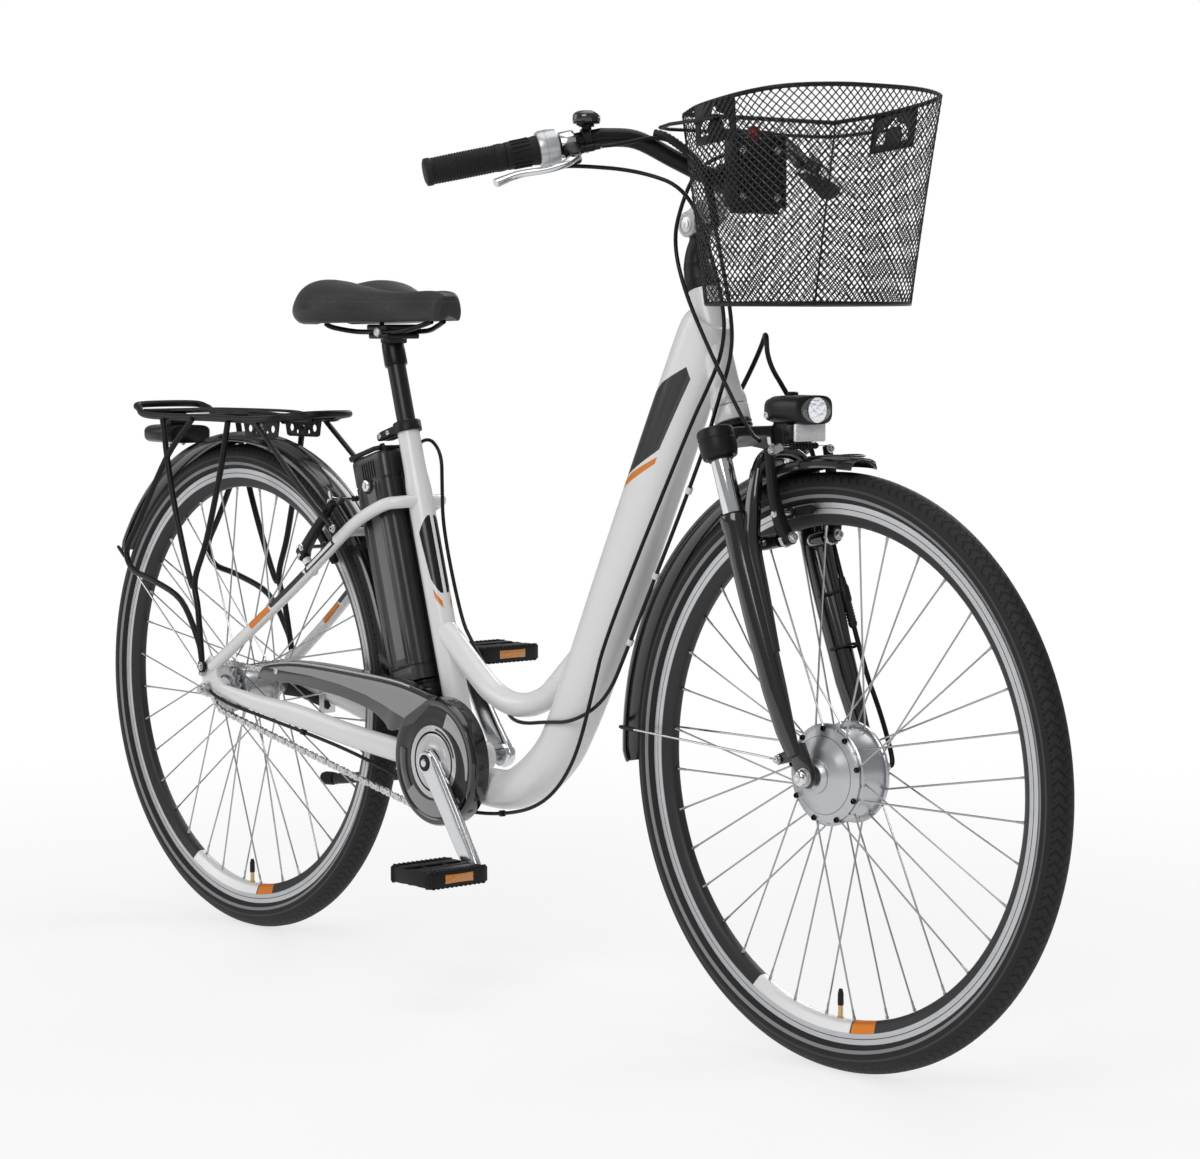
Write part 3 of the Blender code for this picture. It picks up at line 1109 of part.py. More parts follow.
# Handlebar: from its left end to the middle, ahead of and above the clamp's centre
BAR_END = BAR_CENTRE + Vector((-0.183, BAR_HALF_WIDTH, 0.006))
BAR_BEND = BAR_CENTRE + Vector((-0.080, 0.149, 0.048))
GRIP_LINE = (BAR_BEND - BAR_END).normalized()
BAR_ROUTE = (
    BAR_CENTRE + Vector((-0.056, 0.116, 0.0450)), BAR_CENTRE + Vector((-0.030, 0.080, 0.0230)),
    BAR_CENTRE + Vector((-0.010, 0.052, 0.0060)),
)
inner_bar = rounded([BAR_BEND, *BAR_ROUTE, BAR_CENTRE + Vector((0, 0.036, 0))], 2)
left_bar = [BAR_END] + inner_bar + [BAR_CENTRE + Vector((0, 0.034, 0)),
    BAR_CENTRE + Vector((0, 0.0005, 0))]
bar_points = both(left_bar)
bar_radii = [BAR_RADIUS] * (len(left_bar) - 2) + [BAR_CENTRE_RADIUS] * 4 + [BAR_RADIUS] * (len(left_bar) - 2)
seat(swept("handlebar", bar_points, bar_radii, count=SMALL_ROUND, side=STEER_FRONT), "black_paint", tilt)

# Each grip's own directions: along the bar inwards, forward and down to the lever, and square to both.
GRIP_REACH = GRIP_LINE.cross(UP).normalized() * -1
GRIP_REACH = (GRIP_REACH * math.cos(math.radians(28)) - GRIP_LINE.cross(GRIP_REACH) * math.sin(math.radians(28)))
if GRIP_REACH.x < 0:
    GRIP_REACH = GRIP_REACH * -1
GRIP_NORMAL = GRIP_LINE.cross(GRIP_REACH)


def grip_point(side, along, reach=0.0, normal=0.0):
    """A point by its place along the bar from its end, out to the lever, and across the lever."""
    return mirrored(BAR_END + GRIP_LINE * along + GRIP_REACH * reach + GRIP_NORMAL * normal, side)


def collar(name, side, first, last, radius, segments=ROUND):
    """A ring round the bar's straight end."""
    axis = mirrored(GRIP_LINE, side)
    bore = hole(BAR_RADIUS, GAP, segments)
    profile = [(bore, first), (radius, first), (radius, last), (bore, last)]
    return turned(name, profile, mirrored(BAR_END, side), axis, segments, ring=True)


def grip(name, side, length):
    axis = mirrored(GRIP_LINE, side)
    profile = [
        (GRIP_RADIUS - 0.003, -0.006), (GRIP_RADIUS, -0.003), (GRIP_RADIUS, length),
        (hole(BAR_RADIUS), length), (hole(BAR_RADIUS), -GAP),
    ]
    return turned(name, profile, mirrored(BAR_END, side), axis, ROUND)


RIGHT_GRIP_LENGTH = 0.092
LEFT_GRIP_LENGTH = 0.128
TWIST_END = 0.131
SHIFTER_END = 0.156
seat(grip("right_grip", RIGHT, RIGHT_GRIP_LENGTH), "rubber", tilt)
seat(grip("left_grip", LEFT, LEFT_GRIP_LENGTH), "rubber", tilt)
twist = pivot("twist_shifter_axis", grip_point(RIGHT, 0.11), tilt)
seat(collar("twist_shifter", RIGHT, RIGHT_GRIP_LENGTH + GAP, TWIST_END, 0.0175), "rubber", twist)
seat(collar("shifter_housing", RIGHT, TWIST_END + GAP, SHIFTER_END, 0.0215), "alloy", tilt)

LEVER_PIVOT_REACH = 0.034
LEVER_HALF = 0.0045
LEVER_PIN_RADIUS = 0.0025


def lever_bracket(name, side, start):
    """The ring on the bar, the body beside it and the two ears that hold the lever."""
    ring = collar("ring", side, start, start + 0.018, 0.0155)
    body = swept("body", [grip_point(side, start + 0.011, 0.0125),
        grip_point(side, start + 0.011, LEVER_PIVOT_REACH - 0.010)],
                 0.009, 0.011, count=6, side=mirrored(GRIP_NORMAL, side))
    ears = []
    for normal in (LEVER_HALF + 0.0018, -LEVER_HALF - 0.0018):
        ears.append(swept("ear", [
            grip_point(side, start + 0.011, LEVER_PIVOT_REACH - 0.016, normal),
            grip_point(side, start + 0.011, LEVER_PIVOT_REACH + 0.006, normal),
        ], 0.0020, 0.0085, count=4, side=mirrored(GRIP_NORMAL, side)))
    pin = rod("pin", grip_point(side, start + 0.011, LEVER_PIVOT_REACH, -LEVER_HALF - 0.0025),
              grip_point(side, start + 0.011, LEVER_PIVOT_REACH, LEVER_HALF + 0.0025), LEVER_PIN_RADIUS)
    barrel = rod("barrel", grip_point(side, start + 0.018, 0.020),
        grip_point(side, start + 0.044, 0.022), 0.0045, 8)
    return joined(name, [body, ring, *ears, pin, barrel])


def brake_lever(name, side, start):
    """A blade from its eye in the bracket along the grip, flared at its tip."""
    route = rounded([
        grip_point(side, start + 0.011, LEVER_PIVOT_REACH), grip_point(side, start - 0.006, 0.049),
        grip_point(side, start - 0.030, 0.054), grip_point(side, start - 0.062, 0.052),
        grip_point(side, start - 0.092, 0.062),
    ], 2)
    count = len(route)
    widths = [LEVER_HALF] * count
    depths = [0.0062] * 3 + [0.0050] * (count - 4) + [0.0060]
    blade = swept("blade", route, widths, depths, count=8, side=mirrored(GRIP_NORMAL, side), power=2.6)
    eye = rod("eye", grip_point(side, start + 0.011, LEVER_PIVOT_REACH, -LEVER_HALF),
              grip_point(side, start + 0.011, LEVER_PIVOT_REACH, LEVER_HALF), 0.0062, 12)
    bore = rod("bore", grip_point(side, start + 0.011, LEVER_PIVOT_REACH, -0.01),
               grip_point(side, start + 0.011, LEVER_PIVOT_REACH, 0.01),
               hole(LEVER_PIN_RADIUS, GAP, SMALL_ROUND))
    return joined(name, [blade, eye], [bore])


for word, side, start in (("right", RIGHT, SHIFTER_END + 0.002), ("left", LEFT, LEFT_GRIP_LENGTH + 0.003)):
    seat(lever_bracket(f"{word}_lever_bracket", side, start), "black_plastic", tilt)
    squeeze = pivot(f"{word}_brake_lever_axis", grip_point(side, start + 0.011, LEVER_PIVOT_REACH), tilt)
    seat(brake_lever(f"{word}_brake_lever", side, start), "alloy", squeeze)

# Bell beside the right-hand controls
BELL_START = SHIFTER_END + 0.030
BELL_RADIUS = 0.0165
bell_middle = grip_point(RIGHT, BELL_START + 0.005)
bell_strap = collar("bell_strap", RIGHT, BELL_START, BELL_START + 0.010, 0.0140, SMALL_ROUND)
bell_post = rod("bell_post", bell_middle + UP * 0.0125, bell_middle + UP * 0.022, 0.006, 10)
bell_plate = rod("bell_plate", bell_middle + UP * 0.0195, bell_middle + UP * 0.022,
    BELL_RADIUS - 0.0005, ROUND)
bell_dome = turned("bell_dome", [
    (BELL_RADIUS, 0.0215), (BELL_RADIUS, 0.028), (BELL_RADIUS * 0.8, 0.033), (BELL_RADIUS * 0.3, 0.035),
], bell_middle, UP, ROUND)
seat(joined("bell", [bell_strap, bell_post, bell_plate, bell_dome]), "black_plastic", tilt)

# The bell's thumb lever turns round the bell's post
bell_lever_turn = pivot("bell_lever_axis", bell_middle, tilt)
bell_lever_eye = turned("eye", [
    (hole(0.006, RUNNING_GAP), 0.0157), (0.0092, 0.0157), (0.0092, 0.0190),
    (hole(0.006, RUNNING_GAP), 0.0190),
], bell_middle, UP, ring=True)
bell_lever_way = mirrored(GRIP_REACH - GRIP_LINE * 0.6, RIGHT).normalized()
bell_lever_way.z = 0
bell_lever_arm = swept("arm", [
    bell_middle + bell_lever_way * 0.0080 + UP * 0.0173,
    bell_middle + bell_lever_way * 0.0300 + UP * 0.0173,
], 0.0045, 0.0020, count=4)
seat(joined("bell_lever", [bell_lever_eye, bell_lever_arm]), "black_plastic", bell_lever_turn)

# Basket adapter: two rings on the bar hold a plate ahead of the stem, with the release button in its top
ADAPTER_THICKNESS = 0.008
ADAPTER_REAR = BAR_CENTRE.x + 0.020
ADAPTER_FRONT = ADAPTER_REAR + ADAPTER_THICKNESS
ADAPTER_HALF_WIDTH = 0.038
ADAPTER_HEIGHT = 0.090
ADAPTER_TOP = BAR_CENTRE.z + 0.048
ADAPTER_FOOT = ADAPTER_TOP - ADAPTER_HEIGHT
BUTTON_HALF_WIDTH = 0.008
BUTTON_TRAVEL = 0.003
adapter_pieces = [block("adapter", (ADAPTER_REAR, -ADAPTER_HALF_WIDTH, ADAPTER_FOOT),
    (ADAPTER_FRONT, ADAPTER_HALF_WIDTH, ADAPTER_TOP))]
adapter_cuts = [turned("bar_bore", [(hole(BAR_CENTRE_RADIUS), -0.034),
    (hole(BAR_CENTRE_RADIUS), 0.034)], BAR_CENTRE)]
for word, side in SIDES:
    ring_sides = sorted((side * 0.0235, side * 0.0325))
    adapter_pieces.append(turned(f"ring_{word}", [(0.0175, ring_sides[0]), (0.0175, ring_sides[1])],
        BAR_CENTRE))
    adapter_pieces.append(block(f"lug_{word}", (BAR_CENTRE.x + 0.011, ring_sides[0], BAR_CENTRE.z - 0.009),
        (ADAPTER_REAR + 0.001, ring_sides[1], BAR_CENTRE.z + 0.009)))
button_low = Vector((ADAPTER_REAR + 0.0018, -BUTTON_HALF_WIDTH, ADAPTER_TOP - 0.014))
button_high = Vector((ADAPTER_FRONT - 0.0018, BUTTON_HALF_WIDTH, ADAPTER_TOP + 0.014))
clear = Vector((RUNNING_GAP, RUNNING_GAP, BUTTON_TRAVEL + RUNNING_GAP))
adapter_cuts.append(block("button_pocket", button_low - clear, button_high + clear))
seat(joined("basket_adapter", adapter_pieces, adapter_cuts), "black_plastic", tilt)
button_slide = pivot("release_button_axis", (button_low + button_high) / 2, tilt)
seat(block("basket_release_button", button_low, button_high, 0.001), "red_plastic", button_slide)

# Basket: half of its rim and of its floor, as shares of their length and of their half width, from the
# rear corner round to the middle of the front
BASKET_REAR = ADAPTER_FRONT + 0.005
BASKET_LENGTH = 0.207
BASKET_HALF_WIDTH = 0.150
BASKET_DEPTH = 0.224
FLOOR_LENGTH = 0.178
FLOOR_HALF_WIDTH = 0.120
RIM_OUTLINE = ((0.0, 0.8333), (0.2512, 0.98), (0.6135, 1.0), (0.8551, 0.8533), (0.9758, 0.4667),
    (1.0, 0.0))
FLOOR_OUTLINE = ((0.0, 0.7333), (0.1966, 0.9833), (0.6180, 1.0), (0.8708, 0.8167), (0.9831, 0.4167),
    (1.0, 0.0))
RIM_REAR_HEIGHT = ADAPTER_TOP + 0.024
BASKET_FOOT = RIM_REAR_HEIGHT - BASKET_DEPTH
RIM_SLOPE = 0.13


def basket_ring(outline, rear, length, half_width, height, slope, inset):
    """One ring of the basket, drawn in by the wall and raised towards the front by the slope."""
    middle = length / 2
    drawn_in = 1 - inset / middle
    half = []
    for along, across in outline:
        reach = middle + (along * length - middle) * drawn_in
        half.append(Vector((rear + reach, across * half_width * drawn_in, height + slope * reach)))
    return both(half)


def rim_ring(inset):
    return basket_ring(RIM_OUTLINE, BASKET_REAR, BASKET_LENGTH, BASKET_HALF_WIDTH, RIM_REAR_HEIGHT,
        RIM_SLOPE, inset)


def floor_ring(inset, lift):
    return basket_ring(FLOOR_OUTLINE, BASKET_REAR + 0.002, FLOOR_LENGTH, FLOOR_HALF_WIDTH,
        BASKET_FOOT + lift, 0, inset)


basket_lift = pivot("basket_slide_axis", (ADAPTER_FRONT, 0, ADAPTER_TOP), tilt)
basket_shell = lofted("basket", [floor_ring(0, 0), rim_ring(0), rim_ring(BASKET_WALL),
                                 floor_ring(BASKET_WALL, BASKET_WALL)])
HOOK_REAR = ADAPTER_REAR - 0.004
HOOK_HALF_WIDTH = ADAPTER_HALF_WIDTH + 0.004
hook_foot = ADAPTER_FOOT + 0.007
hook_top = ADAPTER_TOP + 0.003
hook_front = BASKET_REAR + 0.0035
basket_pieces = [basket_shell, block("hook_plate", (ADAPTER_FRONT + GAP, -HOOK_HALF_WIDTH, hook_foot),
                                     (hook_front, HOOK_HALF_WIDTH, ADAPTER_TOP - 0.005))]
for word, side in SIDES:
    outer, inner, lip = side * HOOK_HALF_WIDTH, side * (ADAPTER_HALF_WIDTH + GAP), side * 0.0345
    basket_pieces.append(block(f"channel_{word}", (HOOK_REAR, min(outer, inner), hook_foot),
                               (hook_front, max(outer, inner), hook_top)))
    basket_pieces.append(block(f"lip_{word}", (HOOK_REAR, min(outer, lip), hook_foot),
                               (ADAPTER_REAR - GAP, max(outer, lip), hook_top)))
    top_hook = sorted((side * 0.016, outer))
    basket_pieces.append(block(f"top_hook_{word}", (HOOK_REAR, top_hook[0], ADAPTER_TOP + GAP),
                               (hook_front, top_hook[1], hook_top + 0.0005)))
HANDLE_PIVOT = Vector((BASKET_REAR + BASKET_LENGTH * 0.4, 0, RIM_REAR_HEIGHT - 0.012))
handle_hole = turned("handle_hole", [
    (hole(HANDLE_WIRE_RADIUS, RUNNING_GAP, SMALL_ROUND), -0.2),
    (hole(HANDLE_WIRE_RADIUS, RUNNING_GAP, SMALL_ROUND), 0.2),
], HANDLE_PIVOT, segments=SMALL_ROUND)
seat(joined("basket", basket_pieces, [handle_hole]), "black_paint", basket_lift)

handle_turn = pivot("basket_handle_axis", HANDLE_PIVOT, basket_lift)
handle_half = [
    HANDLE_PIVOT + Vector((0, BASKET_HALF_WIDTH - 0.007, 0)),
    HANDLE_PIVOT + Vector((0, BASKET_HALF_WIDTH + 0.002, 0)),
    HANDLE_PIVOT + Vector((-0.003, BASKET_HALF_WIDTH + 0.0045, 0)),
    Vector((BASKET_REAR + 0.012, BASKET_HALF_WIDTH + 0.003, RIM_REAR_HEIGHT - 0.015)),
    Vector((BASKET_REAR - 0.016, BASKET_HALF_WIDTH - 0.007, RIM_REAR_HEIGHT - 0.017)),
    Vector((BASKET_REAR - 0.028, BASKET_HALF_WIDTH * 0.79, RIM_REAR_HEIGHT - 0.0175)),
]
seat(swept("basket_handle", both(handle_half), HANDLE_WIRE_RADIUS, count=TINY_ROUND, side=UP), "steel",
     handle_turn)

# Headlight on the brake arch
LIGHT_LOW = Vector((1.102, -0.028, 0.757))
LIGHT_HIGH = Vector((1.178, 0.028, 0.792))
light_middle = (LIGHT_LOW + LIGHT_HIGH) / 2
light_half = (LIGHT_HIGH - LIGHT_LOW) / 2
housing = swept("housing", [
    (LIGHT_LOW.x, 0, light_middle.z + 0.004), (LIGHT_LOW.x + 0.020, 0, light_middle.z),
    (LIGHT_HIGH.x, 0, light_middle.z),
], [light_half.y * 0.6, light_half.y, light_half.y], [light_half.z * 0.6, light_half.z, light_half.z],
count=12, power=3)
reflector = block("reflector", (1.140, -0.026, 0.736), (1.168, 0.026, 0.762), 0.002)
light_bracket = swept("bracket", [steer(0.066, 0, 0.386 + 0.0080 + GAP), steer(0.066, 0, 0.404),
    (1.118, 0, 0.768)], 0.010, 0.005,
                      count=4)
seat(joined("headlight", [housing, reflector, light_bracket]), "black_plastic", lowers)

# Luggage rack: a tube loop, cross tubes and side plates, on two pairs of legs and two front struts
RACK_LOOP = (
    (-0.213, 0.045, 0.758), (-0.195, 0.060, 0.752), (-0.165, 0.062, 0.743), (0.119, 0.060, RACK_HEIGHT),
    (0.160, 0.048, 0.747), (0.205, 0.030, 0.751),
)
RACK_EYE = Vector((-0.007, 0.0790, 0.393))
HOOP_LEG = (
    (-0.045, 0.0655, 0.741), (-0.112, 0.067, 0.683), (-0.182, 0.070, 0.589), (-0.216, 0.072, 0.542),
    (-0.198, 0.073, 0.514),
    (-0.143, 0.075, 0.502), (-0.0635, 0.077, 0.477), (-0.017, 0.079, 0.423), tuple(RACK_EYE),
)
FRONT_LEG = (
    (0.046, 0.0655, 0.738), (0.029, 0.067, 0.670), (-0.004, 0.0705, 0.568), (-0.031, 0.0735, 0.508),
    (-0.020, 0.076, 0.4655),
    tuple(RACK_EYE),
)
REAR_LEG = ((-0.124, 0.0655, 0.739), (-0.107, 0.067, 0.665), (-0.082, 0.0695, 0.593),
    (-0.044, 0.073, 0.5075), (-0.031, 0.074, 0.498))
STRUT = ((0.110, 0.0600, 0.738), (0.130, 0.0615, 0.722), (0.240, 0.0665, 0.640), (0.3065, 0.0685, 0.598))
loop_left = [Vector(point) for point in RACK_LOOP]
loop_right = [mirrored(point, RIGHT) for point in reversed(RACK_LOOP)]
rack_pieces = [swept("rack", loop_left + loop_right, RACK_TUBE_RADIUS, count=THIN_TUBE_ROUND, closed=True)]
for number, (x, z, half) in enumerate(((-0.185, 0.7485, 0.058), (-0.090, 0.7425, 0.060),
        (0.045, 0.742, 0.059), (0.130, 0.7430, 0.056))):
    rack_pieces.append(rod(f"cross_{number}", (x, -half, z), (x, half, z), 0.004, THIN_TUBE_ROUND))
for word, side in SIDES:
    for label, route in (("hoop", HOOP_LEG), ("front_leg", FRONT_LEG), ("rear_leg", REAR_LEG),
            ("strut", STRUT)):
        route = [mirrored(point, side) for point in route]
        rack_pieces.append(swept(f"{label}_{word}", route, RACK_TUBE_RADIUS * 0.9, count=THIN_TUBE_ROUND))
    strut_end = mirrored(STRUT[-1], side)
    rack_pieces.append(rod(f"strut_bolt_{word}", (strut_end.x, side * 0.0597, strut_end.z),
        (strut_end.x, side * 0.0735, strut_end.z),
                           0.0052, SMALL_ROUND))
    plate_side = sorted((side * 0.035, side * 0.037))
    rack_pieces.append(block(f"side_plate_{word}", (0.043, plate_side[0], 0.716),
        (0.132, plate_side[1], 0.742)))
    eye_side = sorted((side * (DROPOUT_OUTER + GAP), side * 0.0815))
    rack_pieces.append(turned(f"rack_eye_{word}", [(0.0066, eye_side[0]), (0.0066, eye_side[1])],
        (RACK_EYE.x, 0, RACK_EYE.z),
                              segments=SMALL_ROUND))
rack_pieces.append(block("lamp_plate", (-0.208, -0.030, 0.7400), (-0.170, 0.030, 0.7500)))
seat(joined("rack", rack_pieces), "black_paint", bike)

# Rear lamp under the rack's rear end
lamp_shell = block("lamp_shell", (-0.222, -0.040, 0.700), (-0.150, 0.040, 0.728), 0.006)
lamp_foot = block("lamp_foot", (-0.202, -0.018, 0.727), (-0.176, 0.018, 0.7400 - GAP))
seat(joined("rear_lamp", [lamp_shell, lamp_foot]), "red_plastic", bike)

# Battery on its dock behind the seat tube, with a folding handle and a key lock
BATTERY_BACK = 0.0615
DOCK_RAIL_BACK = 0.0188
battery_half = BATTERY_WIDTH / 2
battery_top = BATTERY_FOOT + BATTERY_LENGTH
dock_base = swept("dock_base", [behind_seat_tube(0.085, BATTERY_BACK - 0.0015),
    behind_seat_tube(BATTERY_FOOT - GAP, BATTERY_BACK - 0.0015)],
                  battery_half, BATTERY_DEPTH / 2 + 0.0010, count=ROUND + 2, power=5)
dock_rail = swept("dock_rail", [behind_seat_tube(0.090, DOCK_RAIL_BACK),
    behind_seat_tube(0.400, DOCK_RAIL_BACK)],
    0.010 * math.sqrt(2),
                  0.0016 * math.sqrt(2), count=4)
seat(joined("battery_dock", [dock_base, dock_rail]), "black_plastic", bike)

battery_slide = pivot("battery_slide_axis", behind_seat_tube(battery_top, BATTERY_BACK), bike)
battery_body = swept("battery", [behind_seat_tube(BATTERY_FOOT, BATTERY_BACK),
    behind_seat_tube(battery_top - 0.004, BATTERY_BACK),
                                 behind_seat_tube(battery_top, BATTERY_BACK)],
                     [battery_half, battery_half, battery_half - 0.003],
                     [BATTERY_DEPTH / 2, BATTERY_DEPTH / 2, BATTERY_DEPTH / 2 - 0.003], count=ROUND + 2,
                     power=5)
HANDLE_UP = battery_top + 0.0045
HANDLE_BACK = 0.038
HANDLE_RADIUS = 0.0033
battery_pieces = [battery_body]
handle_axis_start = behind_seat_tube(HANDLE_UP, HANDLE_BACK)
for word, side in SIDES:
    battery_pieces.append(swept(f"ear_{word}", [
        behind_seat_tube(battery_top - 0.002, HANDLE_BACK, side * 0.019),
        behind_seat_tube(HANDLE_UP + 0.0058, HANDLE_BACK, side * 0.019),
    ], 0.003 * math.sqrt(2), 0.0062 * math.sqrt(2), count=4))
handle_bore = turned("handle_bore", [
    (hole(HANDLE_RADIUS, RUNNING_GAP, SMALL_ROUND), -0.03),
    (hole(HANDLE_RADIUS, RUNNING_GAP, SMALL_ROUND), 0.03),
], handle_axis_start, segments=SMALL_ROUND)
LOCK_PLACE = Vector((0.340, 0, 0.6565))
LOCK_STEM = 0.004
lock_bore = turned("lock_bore", [(hole(LOCK_STEM, RUNNING_GAP, SMALL_ROUND), -0.05),
    (hole(LOCK_STEM, RUNNING_GAP, SMALL_ROUND), -0.024)],
                   LOCK_PLACE, segments=SMALL_ROUND)
seat(joined("battery_case", battery_pieces, [handle_bore, lock_bore]), "black_plastic", battery_slide)

battery_handle_turn = pivot("battery_handle_axis", handle_axis_start, battery_slide)
HANDLE_LIP_BACK = 0.1060
handle_loop = [
    behind_seat_tube(HANDLE_UP, back, side) for back, side in (
        (HANDLE_BACK, -0.026), (HANDLE_BACK, 0.026), (HANDLE_BACK + 0.005, 0.030),
        (HANDLE_LIP_BACK - 0.008, 0.030),
        (HANDLE_LIP_BACK, 0.023), (HANDLE_LIP_BACK, -0.023), (HANDLE_LIP_BACK - 0.008, -0.030),
        (HANDLE_BACK + 0.005, -0.030),
    )
]
seat(swept("battery_handle", handle_loop, HANDLE_RADIUS, count=8, side=SEAT_LINE, closed=True),
    "black_plastic",
     battery_handle_turn)
lock_turn = pivot("battery_lock_axis", LOCK_PLACE + SIDEWAYS * -battery_half, battery_slide)
lock_face = battery_half + GAP
lock_pieces = [
    turned("lock", [(LOCK_RADIUS, -lock_face - 0.0055), (LOCK_RADIUS, -lock_face)], LOCK_PLACE,
        segments=ROUND),
    turned("stem", [(LOCK_STEM, -lock_face - 0.001), (LOCK_STEM, -0.026)], LOCK_PLACE,
        segments=SMALL_ROUND),
]
key_slot = block("key_slot", LOCK_PLACE + Vector((-0.0010, -0.06, -0.0045)),
    LOCK_PLACE + Vector((0.0010, -lock_face - 0.003, 0.0045)))
seat(joined("battery_lock", lock_pieces, [key_slot]), "steel", lock_turn)

# Kickstand leg, folded back along the left chainstay
stand_turn = pivot("kickstand_axis", STAND_PIVOT, bike)
stand_eye = turned("eye", [(0.0110, 0.0035), (0.0110, 0.0150)], STAND_PIVOT, STAND_AXIS)
stand_leg = swept("kickstand_leg", [
    STAND_PIVOT + STAND_AXIS * 0.0090, STAND_PIVOT + STAND_AXIS * 0.0090 + Vector((-0.030, 0.002, -0.005)),
    STAND_FOOT + Vector((0.030, -0.002, 0.002)), STAND_FOOT,
], [0.0080, 0.0080, 0.0080, 0.0095], count=SMALL_ROUND)
stand_bore = turned("bore", [
    (hole(STAND_PIN_RADIUS, RUNNING_GAP, SMALL_ROUND), -0.02),
    (hole(STAND_PIN_RADIUS, RUNNING_GAP, SMALL_ROUND), 0.0126),
], STAND_PIVOT, STAND_AXIS, SMALL_ROUND)
seat(joined("kickstand_leg", [stand_leg, stand_eye], [stand_bore]), "black_paint", stand_turn)


# Cables, each one length along its whole route
def cable(name, route, radius, parent):
    """A round cable along a smooth route."""
    curve = bpy.data.curves.new(name, "CURVE")
    curve.dimensions = "3D"
    curve.bevel_depth = radius
    curve.bevel_resolution = 2
    curve.use_fill_caps = True
    points = rounded(route, 2)
    spline = curve.splines.new("POLY")
    spline.points.add(len(points) - 1)
    for spot, point in zip(spline.points, points):
        spot.co = (*point, 1)
    made = bpy.data.objects.new(name, curve)
    bpy.context.scene.collection.objects.link(made)
    return seat(made, "black_plastic", parent)


right_start = SHIFTER_END + 0.002
left_start = LEFT_GRIP_LENGTH + 0.003
cable("front_brake_cable", [
    grip_point(LEFT, left_start + 0.0450, 0.0221), grip_point(LEFT, left_start + 0.070, 0.0260),
    (1.018, 0.100, 1.104),
    (1.024, 0.045, 1.086), (1.018, 0.0, 1.079), (1.000, -0.030, 1.060), (0.978, -0.035, 1.018),
    (0.964, -0.035, 0.975),
    (0.986, -0.038, 0.9165), (1.040, -0.043, 0.840), (1.0857, -0.042, 0.775), (1.1100, -0.042, 0.745),
    (1.1300, -0.048, 0.7385),
], CABLE_RADIUS, steering)
cable("rear_brake_cable", [
    grip_point(RIGHT, right_start + 0.0450, 0.0221), grip_point(RIGHT, right_start + 0.066, 0.0270),
    (1.020, -0.098, 1.098),
    (1.052, -0.066, 1.062), (1.060, -0.048, 0.965), (1.070, -0.036, 0.880), (1.064, -0.032, 0.835),
    (1.042, -0.0305, 0.790), (1.0119, -0.0300, 0.7186), (0.874, -0.0300, 0.475),
    (0.8338, -0.0300, 0.4066), (0.770, -0.0310, 0.372), (0.705, -0.0280, 0.3660),
    (0.660, -0.0170, 0.3590), (0.620, -0.0050, 0.3575), (0.585, 0.0110, 0.3620),
    (0.560, 0.0200, 0.3850), (0.525, 0.0205, 0.4200),
    (0.4960, 0.0205, 0.4520), (0.4790, 0.0165, 0.4800),
    (0.4415, 0.0150, 0.600), (0.4400, 0.0150, 0.660), (0.4380, 0.0160, 0.7000),
    (0.4080, 0.0235, 0.7200), (0.3760, 0.0300, 0.7180), (0.3500, 0.0410, 0.7050), (0.3180, 0.0470, 0.6800),
    (0.2960, 0.0540, 0.6560), (0.2900, 0.0560, 0.6420),
], CABLE_RADIUS, bike)
cable("shift_cable", [
    grip_point(RIGHT, SHIFTER_END - 0.012, 0.0057, -0.0229),
    grip_point(RIGHT, SHIFTER_END + 0.020, 0.006, -0.0270),
    (0.990, -0.112, 1.056), (1.036, -0.076, 1.034), (1.053, -0.055, 0.960), (1.060, -0.038, 0.885),
    (1.050, -0.034, 0.840),
    (1.022, -0.0305, 0.800), (0.9900, -0.0300, 0.7550), (0.8339, -0.0330, 0.4850),
    (0.8145, -0.0365, 0.4175),
    (0.787, -0.0375, 0.3400), (0.7512, -0.0330, 0.2950), (0.711, -0.0300, 0.2640),
    (0.6599, -0.0280, 0.2440),
    (0.5761, -0.0240, 0.2310), (0.5000, -0.0240, 0.2330), (0.3827, -0.0340, 0.2690),
    (0.2910, -0.0480, 0.2950), (0.1320, -0.0630, 0.3215), (0.0600, -0.0760, 0.3350),
    (0.0260, -0.0790, 0.3450),
    (0.0130, -0.0790, 0.3510),
], CABLE_RADIUS, bike)
cable("motor_lead", [
    FRONT_AXLE + Vector((0, 0.0774, 0)), FRONT_AXLE + Vector((0.001, 0.0850, 0.002)),
    steer(0.046, 0.0870, 0.025),
    steer(0.048, 0.0820, 0.070), steer(0.0510, 0.0700, 0.120), steer(0.0510, 0.0665, 0.300),
    steer(0.0540, 0.0665, 0.360), steer(0.0570, 0.0600, 0.415), steer(0.0600, 0.0400, 0.460),
    steer(0.0640, 0.0160, 0.500),
    (1.082, 0.008, 0.868), (1.060, 0.022, 0.850), (1.028, 0.0310, 0.815), (0.994, 0.0310, 0.770),
    (0.972, 0.0310, 0.745),
], LEAD_RADIUS, lowers)
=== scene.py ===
"""Electric city bike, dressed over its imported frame. Metres, +X is the way it rides, +Y its left side."""

import math

import bpy
from mathutils import Euler, Matrix, Vector


